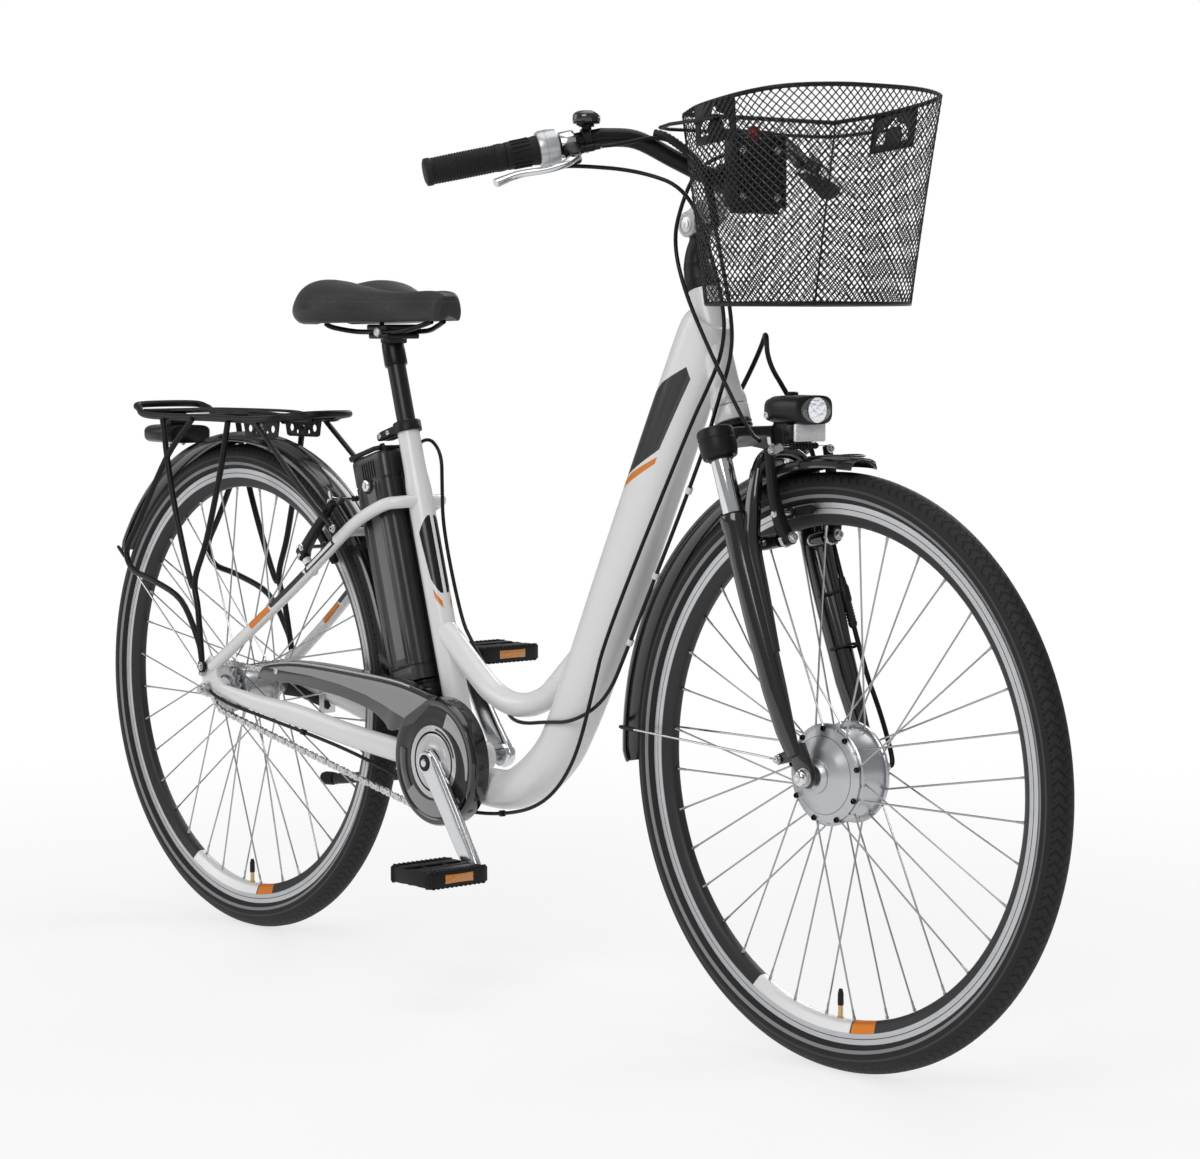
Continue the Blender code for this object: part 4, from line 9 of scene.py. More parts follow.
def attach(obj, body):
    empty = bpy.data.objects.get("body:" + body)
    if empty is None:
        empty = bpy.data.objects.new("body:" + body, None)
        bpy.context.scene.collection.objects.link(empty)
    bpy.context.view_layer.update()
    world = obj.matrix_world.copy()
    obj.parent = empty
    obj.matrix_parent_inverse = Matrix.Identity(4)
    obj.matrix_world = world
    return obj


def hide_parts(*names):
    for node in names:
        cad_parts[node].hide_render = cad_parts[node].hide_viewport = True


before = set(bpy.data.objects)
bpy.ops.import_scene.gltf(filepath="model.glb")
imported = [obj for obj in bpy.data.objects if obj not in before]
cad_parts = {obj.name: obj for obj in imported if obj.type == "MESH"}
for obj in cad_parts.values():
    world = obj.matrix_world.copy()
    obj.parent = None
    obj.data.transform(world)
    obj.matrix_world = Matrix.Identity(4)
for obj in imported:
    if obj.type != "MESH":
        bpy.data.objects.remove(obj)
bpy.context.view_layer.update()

# Studio: a camera a little above the axles on the bike's right-hand front quarter, a plain pale floor
# and large soft lamps. What the camera, mirrors and glass see behind the bike is white; only the lamps
# and a dimmer sky light it.
SIDEWAYS = Vector((0, 1, 0))
UP = Vector((0, 0, 1))
RIGHT, LEFT = -1, 1

CAMERA_AIM = Vector((0.1755, 0, 0.5536))
CAMERA_DISTANCE = 4.0492
CAMERA_AZIMUTH = 49.546
CAMERA_ELEVATION = 4.497
CAMERA_ROLL = -0.096
turn = Euler((math.radians(90 - CAMERA_ELEVATION), 0, math.radians(CAMERA_AZIMUTH))).to_matrix()
turn = turn @ Matrix.Rotation(math.radians(CAMERA_ROLL), 3, "Z")
camera = bpy.data.objects.new("camera", bpy.data.cameras.new("camera"))
bpy.context.scene.collection.objects.link(camera)
camera.data.lens = 95.925
camera.location = CAMERA_AIM + turn @ Vector((0, 0, CAMERA_DISTANCE))
camera.rotation_euler = turn.to_euler()
camera.data.shift_y = -0.0004
bpy.context.scene.camera = camera
bpy.context.scene.view_settings.view_transform = "Standard"


class Socket:
    """One output in a node tree, so that shader maths can be written as an expression."""

    def __init__(self, finish, output):
        self.finish = finish
        self.output = output

    def maths(self, operation, *values):
        return self.finish.node("ShaderNodeMath", {"operation": operation}, *values)

    def sine(self):
        return self.maths("SINE", self)

    def root(self):
        return self.maths("SQRT", self)

    def __add__(self, other):
        return self.maths("ADD", self, other)

    def __sub__(self, other):
        return self.maths("SUBTRACT", self, other)

    def __rsub__(self, other):
        return self.maths("SUBTRACT", other, self)

    def __mul__(self, other):
        return self.maths("MULTIPLY", self, other)

    def __truediv__(self, other):
        return self.maths("DIVIDE", self, other)

    def __lt__(self, other):
        return self.maths("LESS_THAN", self, other)

    def __gt__(self, other):
        return self.maths("GREATER_THAN", self, other)

    def __abs__(self):
        return self.maths("ABSOLUTE", self)

    __radd__ = __add__
    __rmul__ = __mul__


class Finish:
    """The node tree of one material or world."""

    def __init__(self, owner):
        self.owner = owner
        owner.use_nodes = True
        self.tree = owner.node_tree
        self.shader = self.tree.nodes.get("Principled BSDF")

    def node(self, kind, settings=None, *values, output=0, **named):
        """A node of this kind: its settings first, then its sockets by order or by name."""
        made = self.tree.nodes.new(kind)
        for key, value in (settings or {}).items():
            if key == "stops":
                ramp = made.color_ramp.elements
                while len(ramp) < len(value):
                    ramp.new(0.5)
                for stop, (place, colour) in zip(ramp, value):
                    stop.position = place
                    stop.color = (*colour, 1)
            else:
                setattr(made, key, value)
        sockets = list(enumerate(values)) + [(key.replace("_", " "), value) for key,
            value in named.items()]
        for key, value in sockets:
            self.feed(made.inputs[key], value)
        return Socket(self, made.outputs[output])

    def feed(self, socket, value):
        """Links a socket, or sets it to a plain value."""
        if isinstance(value, Socket):
            self.tree.links.new(value.output, socket)
        elif socket.type == "RGBA" and len(value) == 3:
            socket.default_value = (*value, 1)
        else:
            socket.default_value = value

    def set(self, **sockets):
        for key, value in sockets.items():
            self.feed(self.shader.inputs[key.replace("_", " ")], value)

    def place(self):
        return self.node("ShaderNodeTexCoord", output="Object")

    def axes(self):
        parts = self.node("ShaderNodeSeparateXYZ", None, self.place())
        return [Socket(self, parts.output.node.outputs[i]) for i in range(3)]

    def noise(self, where, scale, detail=3.0):
        return self.node("ShaderNodeTexNoise", None, Vector=where, Scale=scale, Detail=detail)

    def mix(self, amount, first, second):
        """A colour between two others."""
        made = self.node("ShaderNodeMix", {"data_type": "RGBA"}).output.node
        self.feed(made.inputs[0], amount)
        self.feed(made.inputs[6], first)
        self.feed(made.inputs[7], second)
        return Socket(self, made.outputs[2])

    def step(self, value, first, last):
        """0 below first and 1 above last, smooth between them."""
        return self.node("ShaderNodeMapRange", {"interpolation_type": "SMOOTHSTEP"}, Value=value,
                         From_Min=first, From_Max=last)

    def bump(self, height, strength, distance=0.001):
        self.set(Normal=self.node("ShaderNodeBump", None, Strength=strength, Distance=distance,
            Height=height))


def between(finish, value, low, high, blur):
    """1 where a value lies between two others, its edges this soft."""
    return finish.step(value, low - blur, low + blur) * (1 - finish.step(value, high - blur, high + blur))


def drifting(name, colour, roughness, metallic=0.0, grain=900.0, depth=0.05, mottle=0.08, coat=0.0):
    """A finish whose colour and sheen drift a little, over a fine grain."""
    finish = Finish(bpy.data.materials.new(name))
    where = finish.place()
    cloud = finish.noise(where, 16.0, 4.0)
    fine = finish.noise(where, grain, 2.0)
    darker = tuple(part * (1 - 2 * mottle) for part in colour)
    finish.set(Base_Color=finish.mix(cloud, colour, darker), Roughness=cloud * 0.14 + (roughness - 0.07),
               Metallic=metallic, Coat_Weight=coat, Coat_Roughness=0.06)
    finish.shader.inputs["Specular IOR Level"].default_value = 0.5 if coat or metallic > 0.5 else 0.22
    finish.bump(fine, depth)
    finish.owner.diffuse_color = (*colour, 1)
    return finish


world = bpy.data.worlds.new("studio")
bpy.context.scene.world = world
sky = Finish(world)
rays = sky.node("ShaderNodeLightPath").output.node
seen = Socket(sky, rays.outputs["Is Camera Ray"]).maths(
    "MAXIMUM", Socket(sky, rays.outputs["Is Camera Ray"]),
    Socket(sky, rays.outputs["Is Transmission Ray"]))
sky_strength = seen.maths("MAXIMUM", seen, Socket(sky, rays.outputs["Is Glossy Ray"]) * 0.10) * 0.72 + 0.28
sky.feed(world.node_tree.nodes["Background"].inputs["Color"], (1, 1, 1))
sky.feed(world.node_tree.nodes["Background"].inputs["Strength"], sky_strength)

for name, place, size, watts in (
    ("key_lamp", (2.2, -3.6, 3.3), 2.6, 95), ("fill_lamp", (-3.4, -3.0, 2.2), 2.4, 38),
    ("rim_lamp", (-1.5, 3.8, 3.0), 2.4, 60), ("top_lamp", (0.2, 0.3, 4.6), 3.6, 70),
):
    lamp = bpy.data.lights.new(name, "AREA")
    lamp.size = size
    lamp.energy = watts
    lamp_object = bpy.data.objects.new(name, lamp)
    bpy.context.scene.collection.objects.link(lamp_object)
    lamp_object.location = place
    lamp_object.rotation_euler = (CAMERA_AIM - Vector(place)).to_track_quat("-Z", "Y").to_euler()

floor_paint = Finish(bpy.data.materials.new("pale_floor"))
floor_rays = floor_paint.node("ShaderNodeLightPath").output.node
floor_seen = Socket(floor_paint, floor_rays.outputs["Is Camera Ray"]).maths(
    "MAXIMUM", Socket(floor_paint, floor_rays.outputs["Is Camera Ray"]),
    Socket(floor_paint, floor_rays.outputs["Is Glossy Ray"]))
floor_paint.set(Base_Color=(0.9, 0.9, 0.9), Roughness=0.9)
floor_paint.shader.inputs["Specular IOR Level"].default_value = 0.0
floor_glow = floor_paint.node("ShaderNodeEmission", None, Color=(1, 1, 1), Strength=1.0)
floor_x, floor_y = floor_paint.axes()[:2]
floor_span = (floor_x * floor_x + floor_y * floor_y).root()
floor_far = floor_paint.step(floor_span, 0.9, 2.6) * 0.29 + 0.71
floor_mix = floor_paint.node("ShaderNodeMixShader", None, floor_seen * floor_far,
                             Socket(floor_paint, floor_paint.shader.outputs[0]), floor_glow)
floor_paint.feed(floor_paint.tree.nodes["Material Output"].inputs["Surface"], floor_mix)
bpy.ops.object.select_all(action="DESELECT")
bpy.ops.mesh.primitive_plane_add(size=60)
floor = bpy.context.object
floor.name = "floor"
floor.data.materials.append(floor_paint.owner)


# Frame: welded aluminium tubes with a low step-through down tube, sprayed gloss white over flat colour
# blocks. A short brace ties the down tube to the foot of the seat tube, and flat dropouts close the rear.
HALF_WHEELBASE = 0.610


def at(forward, out, height):
    """A place by its distance ahead of the rear axle, left of the middle and above the ground."""
    return Vector((forward - HALF_WHEELBASE, out, height))


def squared(angle, across_power, up_power):
    """The cosine and sine of an angle, bulged towards the corners of their square."""
    across, up = math.cos(angle), math.sin(angle)
    return math.copysign(abs(across) ** across_power, across), math.copysign(abs(up) ** up_power, up)


def only(*pieces):
    """Selects these objects alone, the first of them active."""
    bpy.ops.object.select_all(action="DESELECT")
    for piece in pieces:
        piece.select_set(True)
    bpy.context.view_layer.objects.active = pieces[0]


def modify(piece, kind, **settings):
    """Adds a modifier with these settings and applies it."""
    only(piece)
    modifier = piece.modifiers.new(kind.title(), kind)
    for key, value in settings.items():
        setattr(modifier, key, value)
    bpy.ops.object.modifier_apply(modifier=modifier.name)
    return piece


def shaded(piece, bevel=0.0, segments=2, angle=35):
    """Rounds a piece's hard edges and smooths the rest."""
    if bevel:
        modify(piece, "BEVEL", width=bevel, segments=segments, limit_method="ANGLE",
               angle_limit=math.radians(40), use_clamp_overlap=True)
    only(piece)
    bpy.ops.object.shade_smooth_by_angle(angle=math.radians(angle))
    return piece


def drawn(name, points, edges=(), faces=()):
    """A new object with these points."""
    mesh = bpy.data.meshes.new(name)
    mesh.from_pydata([tuple(point) for point in points], list(edges), list(faces))
    piece = bpy.data.objects.new(name, mesh)
    bpy.context.scene.collection.objects.link(piece)
    return piece


def cleaned(piece):
    """Merges doubled points and turns all faces outwards."""
    only(piece)
    bpy.ops.object.mode_set(mode="EDIT")
    bpy.ops.mesh.select_all(action="SELECT")
    bpy.ops.mesh.remove_doubles(threshold=0.000002)
    bpy.ops.mesh.normals_make_consistent(inside=False)
    bpy.ops.object.mode_set(mode="OBJECT")
    return piece


def turned(name, profile, centre, axis=SIDEWAYS, sides=48, ring=False, bevel=0.0, part_turn=2 * math.pi):
    """Points (radius, place along the axis) spun round it: capped at its ends, or closed into a ring."""
    centre = Vector(centre)
    axis = Vector(axis).normalized()
    start = UP if abs(axis.dot(UP)) < 0.9 else Vector((1, 0, 0))
    start = (start - axis * axis.dot(start)).normalized()
    if not ring:
        profile = [(0.0, profile[0][1]), *profile, (0.0, profile[-1][1])]
    points = [centre + start * radius + axis * along for radius, along in profile]
    edges = [(i, i + 1) for i in range(len(points) - 1)] + ([(len(points) - 1, 0)] if ring else [])
    piece = drawn(name, points, edges)
    only(piece)
    bpy.ops.object.mode_set(mode="EDIT")
    bpy.ops.mesh.select_all(action="SELECT")
    bpy.ops.mesh.spin(steps=sides, angle=part_turn, center=centre, axis=axis)
    bpy.ops.object.mode_set(mode="OBJECT")
    return shaded(cleaned(piece), bevel)


def rounded(points, steps=4, closed=False):
    """Points read from a smooth curve through the route's own points."""
    points = [Vector(point) for point in points]
    count = len(points)
    found = []
    for i in range(count if closed else count - 1):
        p1, p2 = points[i], points[(i + 1) % count]
        p0 = points[i - 1] if i or closed else p1 * 2 - p2
        p3 = points[(i + 2) % count] if i + 2 < count or closed else p2 * 2 - p1
        for k in range(steps):
            t = k / steps
            found.append((p1 * 2 + (p2 - p0) * t + (p0 * 2 - p1 * 5 + p2 * 4 - p3) * t**2
                          + (p1 * 3 - p0 - p2 * 3 + p3) * t**3) / 2)
    return found if closed else found + [points[-1]]


def eased(values, steps):
    """Numbers read from a smooth curve through these."""
    return [point.x for point in rounded([Vector((value, 0, 0)) for value in values], steps)]


def lofted(name, rings, closed=False):
    """A skin over rings of points, capped at both ends or closed round on itself."""
    points = [point for ring in rings for point in ring]
    count, total = len(rings[0]), len(rings)
    faces = []
    for row in range(total if closed else total - 1):
        first, second = row * count, (row + 1) % total * count
        for i in range(count):
            j = (i + 1) % count
            faces.append((first + i, first + j, second + j, second + i))
    if not closed:
        faces += [tuple(range(count)), tuple(range((total - 1) * count, total * count))]
    return cleaned(drawn(name, points, (), faces))


def swept(name, route, half_width, half_depth=None, sides=24, across=SIDEWAYS, power=2.0, closed=False,
          bevel=0.0):
    """A bar along a route. Widths go across it and depths square to that; power 2 is an ellipse."""
    route = [Vector(point) for point in route]
    count = len(route)
    widths = list(half_width) if isinstance(half_width, (list, tuple)) else [half_width] * count
    depths = half_depth or widths
    depths = list(depths) if isinstance(depths, (list, tuple)) else [depths] * count
    rings = []
    for i, point in enumerate(route):
        before = route[i - 1] if i or closed else route[0]
        after = route[(i + 1) % count] if i < count - 1 or closed else route[-1]
        along = (after - before).normalized()
        across = (across - along * along.dot(across)).normalized()
        deep = along.cross(across)
        ring = []
        for k in range(sides):
            wide, far = squared(2 * math.pi * (k + 0.5) / sides, 2 / power, 2 / power)
            ring.append(point + across * (wide * widths[i]) + deep * (far * depths[i]))
        rings.append(ring)
    return shaded(lofted(name, rings, closed), bevel)


def plate(name, outline, near, far, bevel=0.0006):
    """A flat plate: (forward, height) points between two distances from the bike's middle."""
    rings = [[at(x, y, z) for x, z in outline] for y in (near, far)]
    return shaded(lofted(name, rings), bevel)


def block(name, low, high, bevel=0.001):
    """A box between two corners with its edges rounded."""
    bpy.ops.object.select_all(action="DESELECT")
    bpy.ops.mesh.primitive_cube_add(size=1, location=(Vector(low) + Vector(high)) / 2)
    piece = bpy.context.object
    piece.name = name
    piece.scale = Vector(high) - Vector(low)
    bpy.ops.object.transform_apply(location=True, rotation=True, scale=True)
    return shaded(piece, bevel)


def rod(name, start, end, radius, sides=16, bevel=0.0):
    """A straight round bar between two places."""
    start, end = Vector(start), Vector(end)
    return turned(name, [(radius, 0), (radius, (end - start).length)], start, end - start, sides,
        bevel=bevel)


def painted(piece, finish):
    """Gives a piece its finish."""
    piece.data.materials.clear()
    piece.data.materials.append(finish.owner)
    return piece


def joined(name, pieces):
    """Several pieces as one object, each with its own finish."""
    only(*pieces)
    if len(pieces) > 1:
        bpy.ops.object.join()
    pieces[0].name = name
    pieces[0].data.name = name
    return pieces[0]


def fitted(piece, body, slot, *nodes):
    """Hangs a finished piece on its body, in place of the solids that it stands for."""
    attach(piece, body)
    if nodes:
        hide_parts(*nodes)
    return piece


def mirrored(point, side):
    """A place on the bike's left, or the one opposite it on the right."""
    return Vector((point[0], point[1] * side, point[2]))


def on_side(points, side):
    """The places of a route that is given for the bike's left, on this side of it."""
    return [mirrored(at(*point), side) for point in points]


AXLE_HEIGHT = 0.352
REAR_AXLE = at(0, 0, AXLE_HEIGHT)
FRONT_AXLE = at(2 * HALF_WHEELBASE, 0, AXLE_HEIGHT)
BRACKET = at(0.511, 0, 0.297)
SEAT_LINE = Vector((-0.278991, 0, 0.960294))
SEAT_BACK = Vector((-0.960294, 0, -0.278991))
STEER_LINE = Vector((-0.325568, 0, 0.945519))
STEER_FRONT = Vector((0.945519, 0, 0.325568))
FORK_OFFSET = 0.045
HEAD_FOOT = FRONT_AXLE - STEER_FRONT * FORK_OFFSET + STEER_LINE * 0.4639


def steer(forward, out, up):
    """A place ahead of the steering axis, left of it, and up it from axle height."""
    return FRONT_AXLE + STEER_FRONT * (forward - FORK_OFFSET) + SIDEWAYS * out + STEER_LINE * up


def behind_seat_tube(up, back, out=0.0):
    """A place up the seat tube from the bottom bracket, behind it and to the left."""
    return BRACKET + SEAT_LINE * up + SEAT_BACK * back + SIDEWAYS * out


def toward_head(reach, rise, out=0.0):
    """A place by its shares of the reach and the rise from the bottom bracket to the head tube's foot."""
    span = HEAD_FOOT - BRACKET
    return BRACKET + Vector((span.x * reach, out, span.z * rise))


WHITE, BLOCK_BLACK = (0.76, 0.76, 0.755), (0.005, 0.005, 0.0055)
BLOCK_GREY, BLOCK_ORANGE = (0.030, 0.030, 0.031), (0.66, 0.19, 0.012)
frame_paint = Finish(bpy.data.materials.new("gloss_white_paint"))
frame_x, frame_y, frame_z = frame_paint.axes()


def block_mask(*corners):
    """A block of colour with straight edges between its corners, seen from the side."""
    inside = 1.0
    spots = [at(x, 0, z) for x, z in corners]
    for first, second in zip(spots, spots[1:] + spots[:1]):
        edge = (second - first).normalized()
        inside = frame_paint.step((frame_z - first.z) * edge.x - (frame_x - first.x) * edge.z, -0.0003,
            0.0003) * inside
    return inside


def stay_strip(low, high, first, last, lean=0.0):
    """A strip along the seat stays: between two offsets from their middle line, with leaning ends."""
    start = at(0.1090, 0, 0.4520)
    along = (at(0.1980, 0, 0.5140) - start).normalized()
    run = (frame_x - start.x) * along.x + (frame_z - start.z) * along.z
    off = (frame_z - start.z) * along.x - (frame_x - start.x) * along.z
    return (between(frame_paint, run + off * lean, first, last, 0.0004)
            * between(frame_paint, off, low, high, 0.0004))


sides_only = abs(frame_y) > 0.0075
down_panel = block_mask((0.846, 0.6800), (0.9269, 0.7220), (0.9815, 0.8087), (0.9769, 0.8236),
    (0.9300, 0.8041), (0.9080, 0.7880)) * sides_only
grey_edge = block_mask((0.9190, 0.7175), (0.9400, 0.7100), (0.9950, 0.8000), (0.9800, 0.8170)) * down_panel
seat_panel = block_mask((0.4520, 0.5351), (0.4640, 0.5165), (0.5000, 0.5165), (0.4700, 0.6280),
    (0.4345, 0.6197), (0.4298, 0.5953)) * (abs(frame_y) > 0.0026)
stay_blocks = stay_strip(-0.0030, 0.0100, 0.050, 0.140, 0.6) + stay_strip(-0.0035, 0.0100, 0.144,
    0.222) * (
    1 - stay_strip(-0.0008, 0.0040, 0.149, 0.217))
black_blocks = down_panel + seat_panel + stay_blocks * sides_only
orange_blocks = (block_mask((0.8454, 0.6680), (0.9193, 0.7046), (0.9230, 0.7129), (0.8751, 0.6926),
    (0.8454, 0.6750))
                 + stay_strip(-0.0048, 0.0100, -0.004, 0.047, 0.2)) * sides_only
orange_blocks = orange_blocks + block_mask((0.4600, 0.5105), (0.4700, 0.4965), (0.4672, 0.5060),
    (0.4560, 0.5230))
grime = frame_paint.noise(frame_paint.place(), 7.0, 5.0)
white_shade = frame_paint.mix(grime, WHITE, tuple(part * 0.955 for part in WHITE))
with_black = frame_paint.mix(black_blocks, white_shade,
    frame_paint.mix(grey_edge, BLOCK_BLACK, BLOCK_GREY))
frame_paint.set(Base_Color=frame_paint.mix(orange_blocks, with_black, BLOCK_ORANGE),
                Roughness=grime * 0.10 + 0.20, Coat_Weight=0.25, Coat_Roughness=0.05,
                Specular_IOR_Level=0.4)
frame_paint.bump(frame_paint.noise(frame_paint.place(), 420.0, 2.0), 0.03)

DOWN_TUBE = (
    (0.030, -0.066, 0.024), (0.170, -0.068, 0.026), (0.265, -0.033, 0.029), (0.367, 0.052, 0.032),
    (0.435, 0.160, 0.035), (0.518, 0.327, 0.038), (0.645, 0.597, 0.040), (0.796, 0.920, 0.040),
    (0.850, 1.037, 0.039), (0.888, 1.120, 0.038), (0.912, 1.172, 0.037), (0.926, 1.200, 0.034),
    (0.938, 1.222, 0.026),
)
down_middle = rounded([toward_head(reach, rise) for reach, rise, deep in DOWN_TUBE], 6)
down_depth = eased([deep for reach, rise, deep in DOWN_TUBE], 6)
BRACE = (
    (-0.086, 0.351), (0.0527, 0.237), (0.115, 0.195), (0.187, 0.172), (0.261, 0.176), (0.327, 0.202),
    (0.368, 0.235), (0.50, 0.36),
)
frame_tubes = [
    swept("down_tube", down_middle, 0.026, down_depth, 48, power=2.4),
    swept("brace_tube", rounded([toward_head(reach, rise) for reach, rise in BRACE], 6), 0.016, sides=32),
    turned("head_tube", [(0.0212, 0.4639), (0.0222, 0.4646), (0.0222, 0.4719), (0.0205, 0.480),
        (0.0189, 0.487), (0.0182, 0.494), (0.0180, 0.6120), (0.0175, 0.6126)], steer(0, 0, 0),
                         STEER_LINE, 48),
    swept("seat_tube", [behind_seat_tube(up, 0) for up in (0, 0.365, 0.375, 0.392, 0.402, 0.4655, 0.466)],
          [0.0175, 0.0175, 0.0172, 0.0156, 0.0152, 0.0152, 0.0148], sides=40),
    turned("bracket_shell", [(0.0195, -0.034), (0.0205, -0.033), (0.0205, 0.033), (0.0195, 0.034)],
        BRACKET),
    rod("stay_bridge", at(0.306, -0.047, 0.592), at(0.306, 0.047, 0.592), 0.006, 20),
]
DROPOUT = (
    (-0.013, 0.342), (0.010, 0.340), (0.040, 0.346), (0.042, 0.360), (0.022, 0.372), (0.018, 0.398),
    (0.004, 0.401), (-0.010, 0.390), (-0.016, 0.368),
)
SEAT_STAY = (
    (0.416, 0.006, 0.638), (0.409, 0.033, 0.637), (0.390, 0.0458, 0.633), (0.341, 0.0495, 0.612),
    (0.290, 0.051, 0.580), (0.198, 0.055, 0.514), (0.109, 0.064, 0.452), (0.008, 0.0705, 0.385),
)
CHAINSTAY = (
    (0.500, 0.018, 0.294, 0.0090, 0.0170), (0.440, 0.0285, 0.296, 0.0085, 0.0170),
    (0.370, 0.037, 0.304, 0.0085, 0.0165), (0.300, 0.0475, 0.3145, 0.0090, 0.0160),
    (0.200, 0.058, 0.331, 0.0095, 0.0155), (0.120, 0.0665, 0.341, 0.0090, 0.0125),
    (0.030, 0.0705, 0.353, 0.0040, 0.0095),
)
REAR_POST = at(0.211, 0.0520, 0.557)
rear_out = (REAR_POST - REAR_AXLE - SIDEWAYS * 0.0520).normalized()
rear_ahead = Vector((-rear_out.z, 0, rear_out.x))
for side in (RIGHT, LEFT):
    stay = rounded(on_side(SEAT_STAY, side), 6)
    frame_tubes.append(swept("seat_stay", stay, 0.0085, sides=24))
    chain_route = rounded(on_side([point[:3] for point in CHAINSTAY], side), 5)
    frame_tubes.append(swept("chainstay", chain_route, eased([point[3] for point in CHAINSTAY], 5),
                             eased([point[4] for point in CHAINSTAY], 5), 32, power=2.3))
    frame_tubes.append(plate("dropout", DROPOUT, side * 0.0675, side * 0.0735, 0.0012))
    post = mirrored(REAR_POST, side)
    frame_tubes.append(rod("brake_post", post - rear_ahead * 0.036, post - rear_ahead * 0.009, 0.0065,
        20, 0.001))
frame_tubes.append(block("stand_mount", at(0.352, 0.028, 0.244), at(0.388, 0.046, 0.295), 0.002))
for tube in frame_tubes:
    painted(tube, frame_paint)
fitted(joined("frame_tubes", frame_tubes), "bike", "frame_paint", "frame")


# Tyres: black rubber on steel beads, a woven tread of slanted grooves over the crown and a grey
# reflecting band moulded into each wall.
WHEELS = (("front", FRONT_AXLE, "front_wheel"), ("rear", REAR_AXLE, "rear_wheel"))


def polar(finish, centre):
    """Distance and angle round a wheel's or a ring's own centre."""
    x, y, z = finish.axes()
    x, z = x - centre.x, z - centre.z
    return (x * x + z * z).root(), x.maths("ARCTAN2", z, x), y


for word, axle, body in WHEELS:
    rubber = Finish(bpy.data.materials.new(f"{word}_tyre_rubber"))
    radius, angle, across = polar(rubber, axle)
    crown = rubber.step(radius, 0.3405, 0.3425)
    zigzag = across.maths("PINGPONG", across, 0.0062)
    phase = angle * 168.0 + zigzag * 620.0
    slits = rubber.step(phase.sine(), 0.55, 0.80)
    offset = angle * 168.0 - zigzag * 620.0 + 1.6
    turns = rubber.step(offset.sine(), 0.80, 0.95) * rubber.step(zigzag, 0.0034, 0.0040)
    shaded_grooves = slits.maths("MAXIMUM", slits, turns) * crown
    wall_rings = (radius * 5200.0).sine() * (1 - crown)
    band = between(rubber, radius, 0.3222, 0.3262, 0.0003)
    low_band = between(rubber, radius, 0.3325, 0.3352, 0.0004)
    dust = rubber.noise(rubber.place(), 30.0, 5.0)
    black = rubber.mix(dust, (0.008, 0.008, 0.0085), (0.018, 0.018, 0.019))
    # The tread's grooves are painted darker than the rubber around them, as painted shade inside them.
    black = rubber.mix(low_band, rubber.mix(shaded_grooves, black, (0.002, 0.002, 0.002)), (0.050, 0.050, 0.052))
    rubber.set(Base_Color=rubber.mix(band, black, (0.26, 0.26, 0.27)),
               Roughness=dust * 0.15 + 0.55 - band * 0.2)
    rubber.bump(wall_rings * 0.08 - shaded_grooves + rubber.noise(rubber.place(), 700.0) * 0.10, 0.9, 0.0022)
    rubber.shader.inputs["Specular IOR Level"].default_value = 0.32
    outline = [(0.3168, 0.0126), (0.3190, 0.0150), (0.3230, 0.0183), (0.3290, 0.0203), (0.3350, 0.0198),
               (0.3410, 0.0172), (0.3460, 0.0130), (0.3500, 0.0078), (0.3518, 0.0026)]
    outline += [(radius, -out) for radius, out in reversed(outline)] + [(0.3150, -0.0095),
        (0.3150, 0.0095)]
    tyre = turned(f"{word}_tyre_tread", outline, axle, sides=180, ring=True)
    fitted(painted(tyre, rubber), body, "tyre_rubber", f"{word}_tyre")

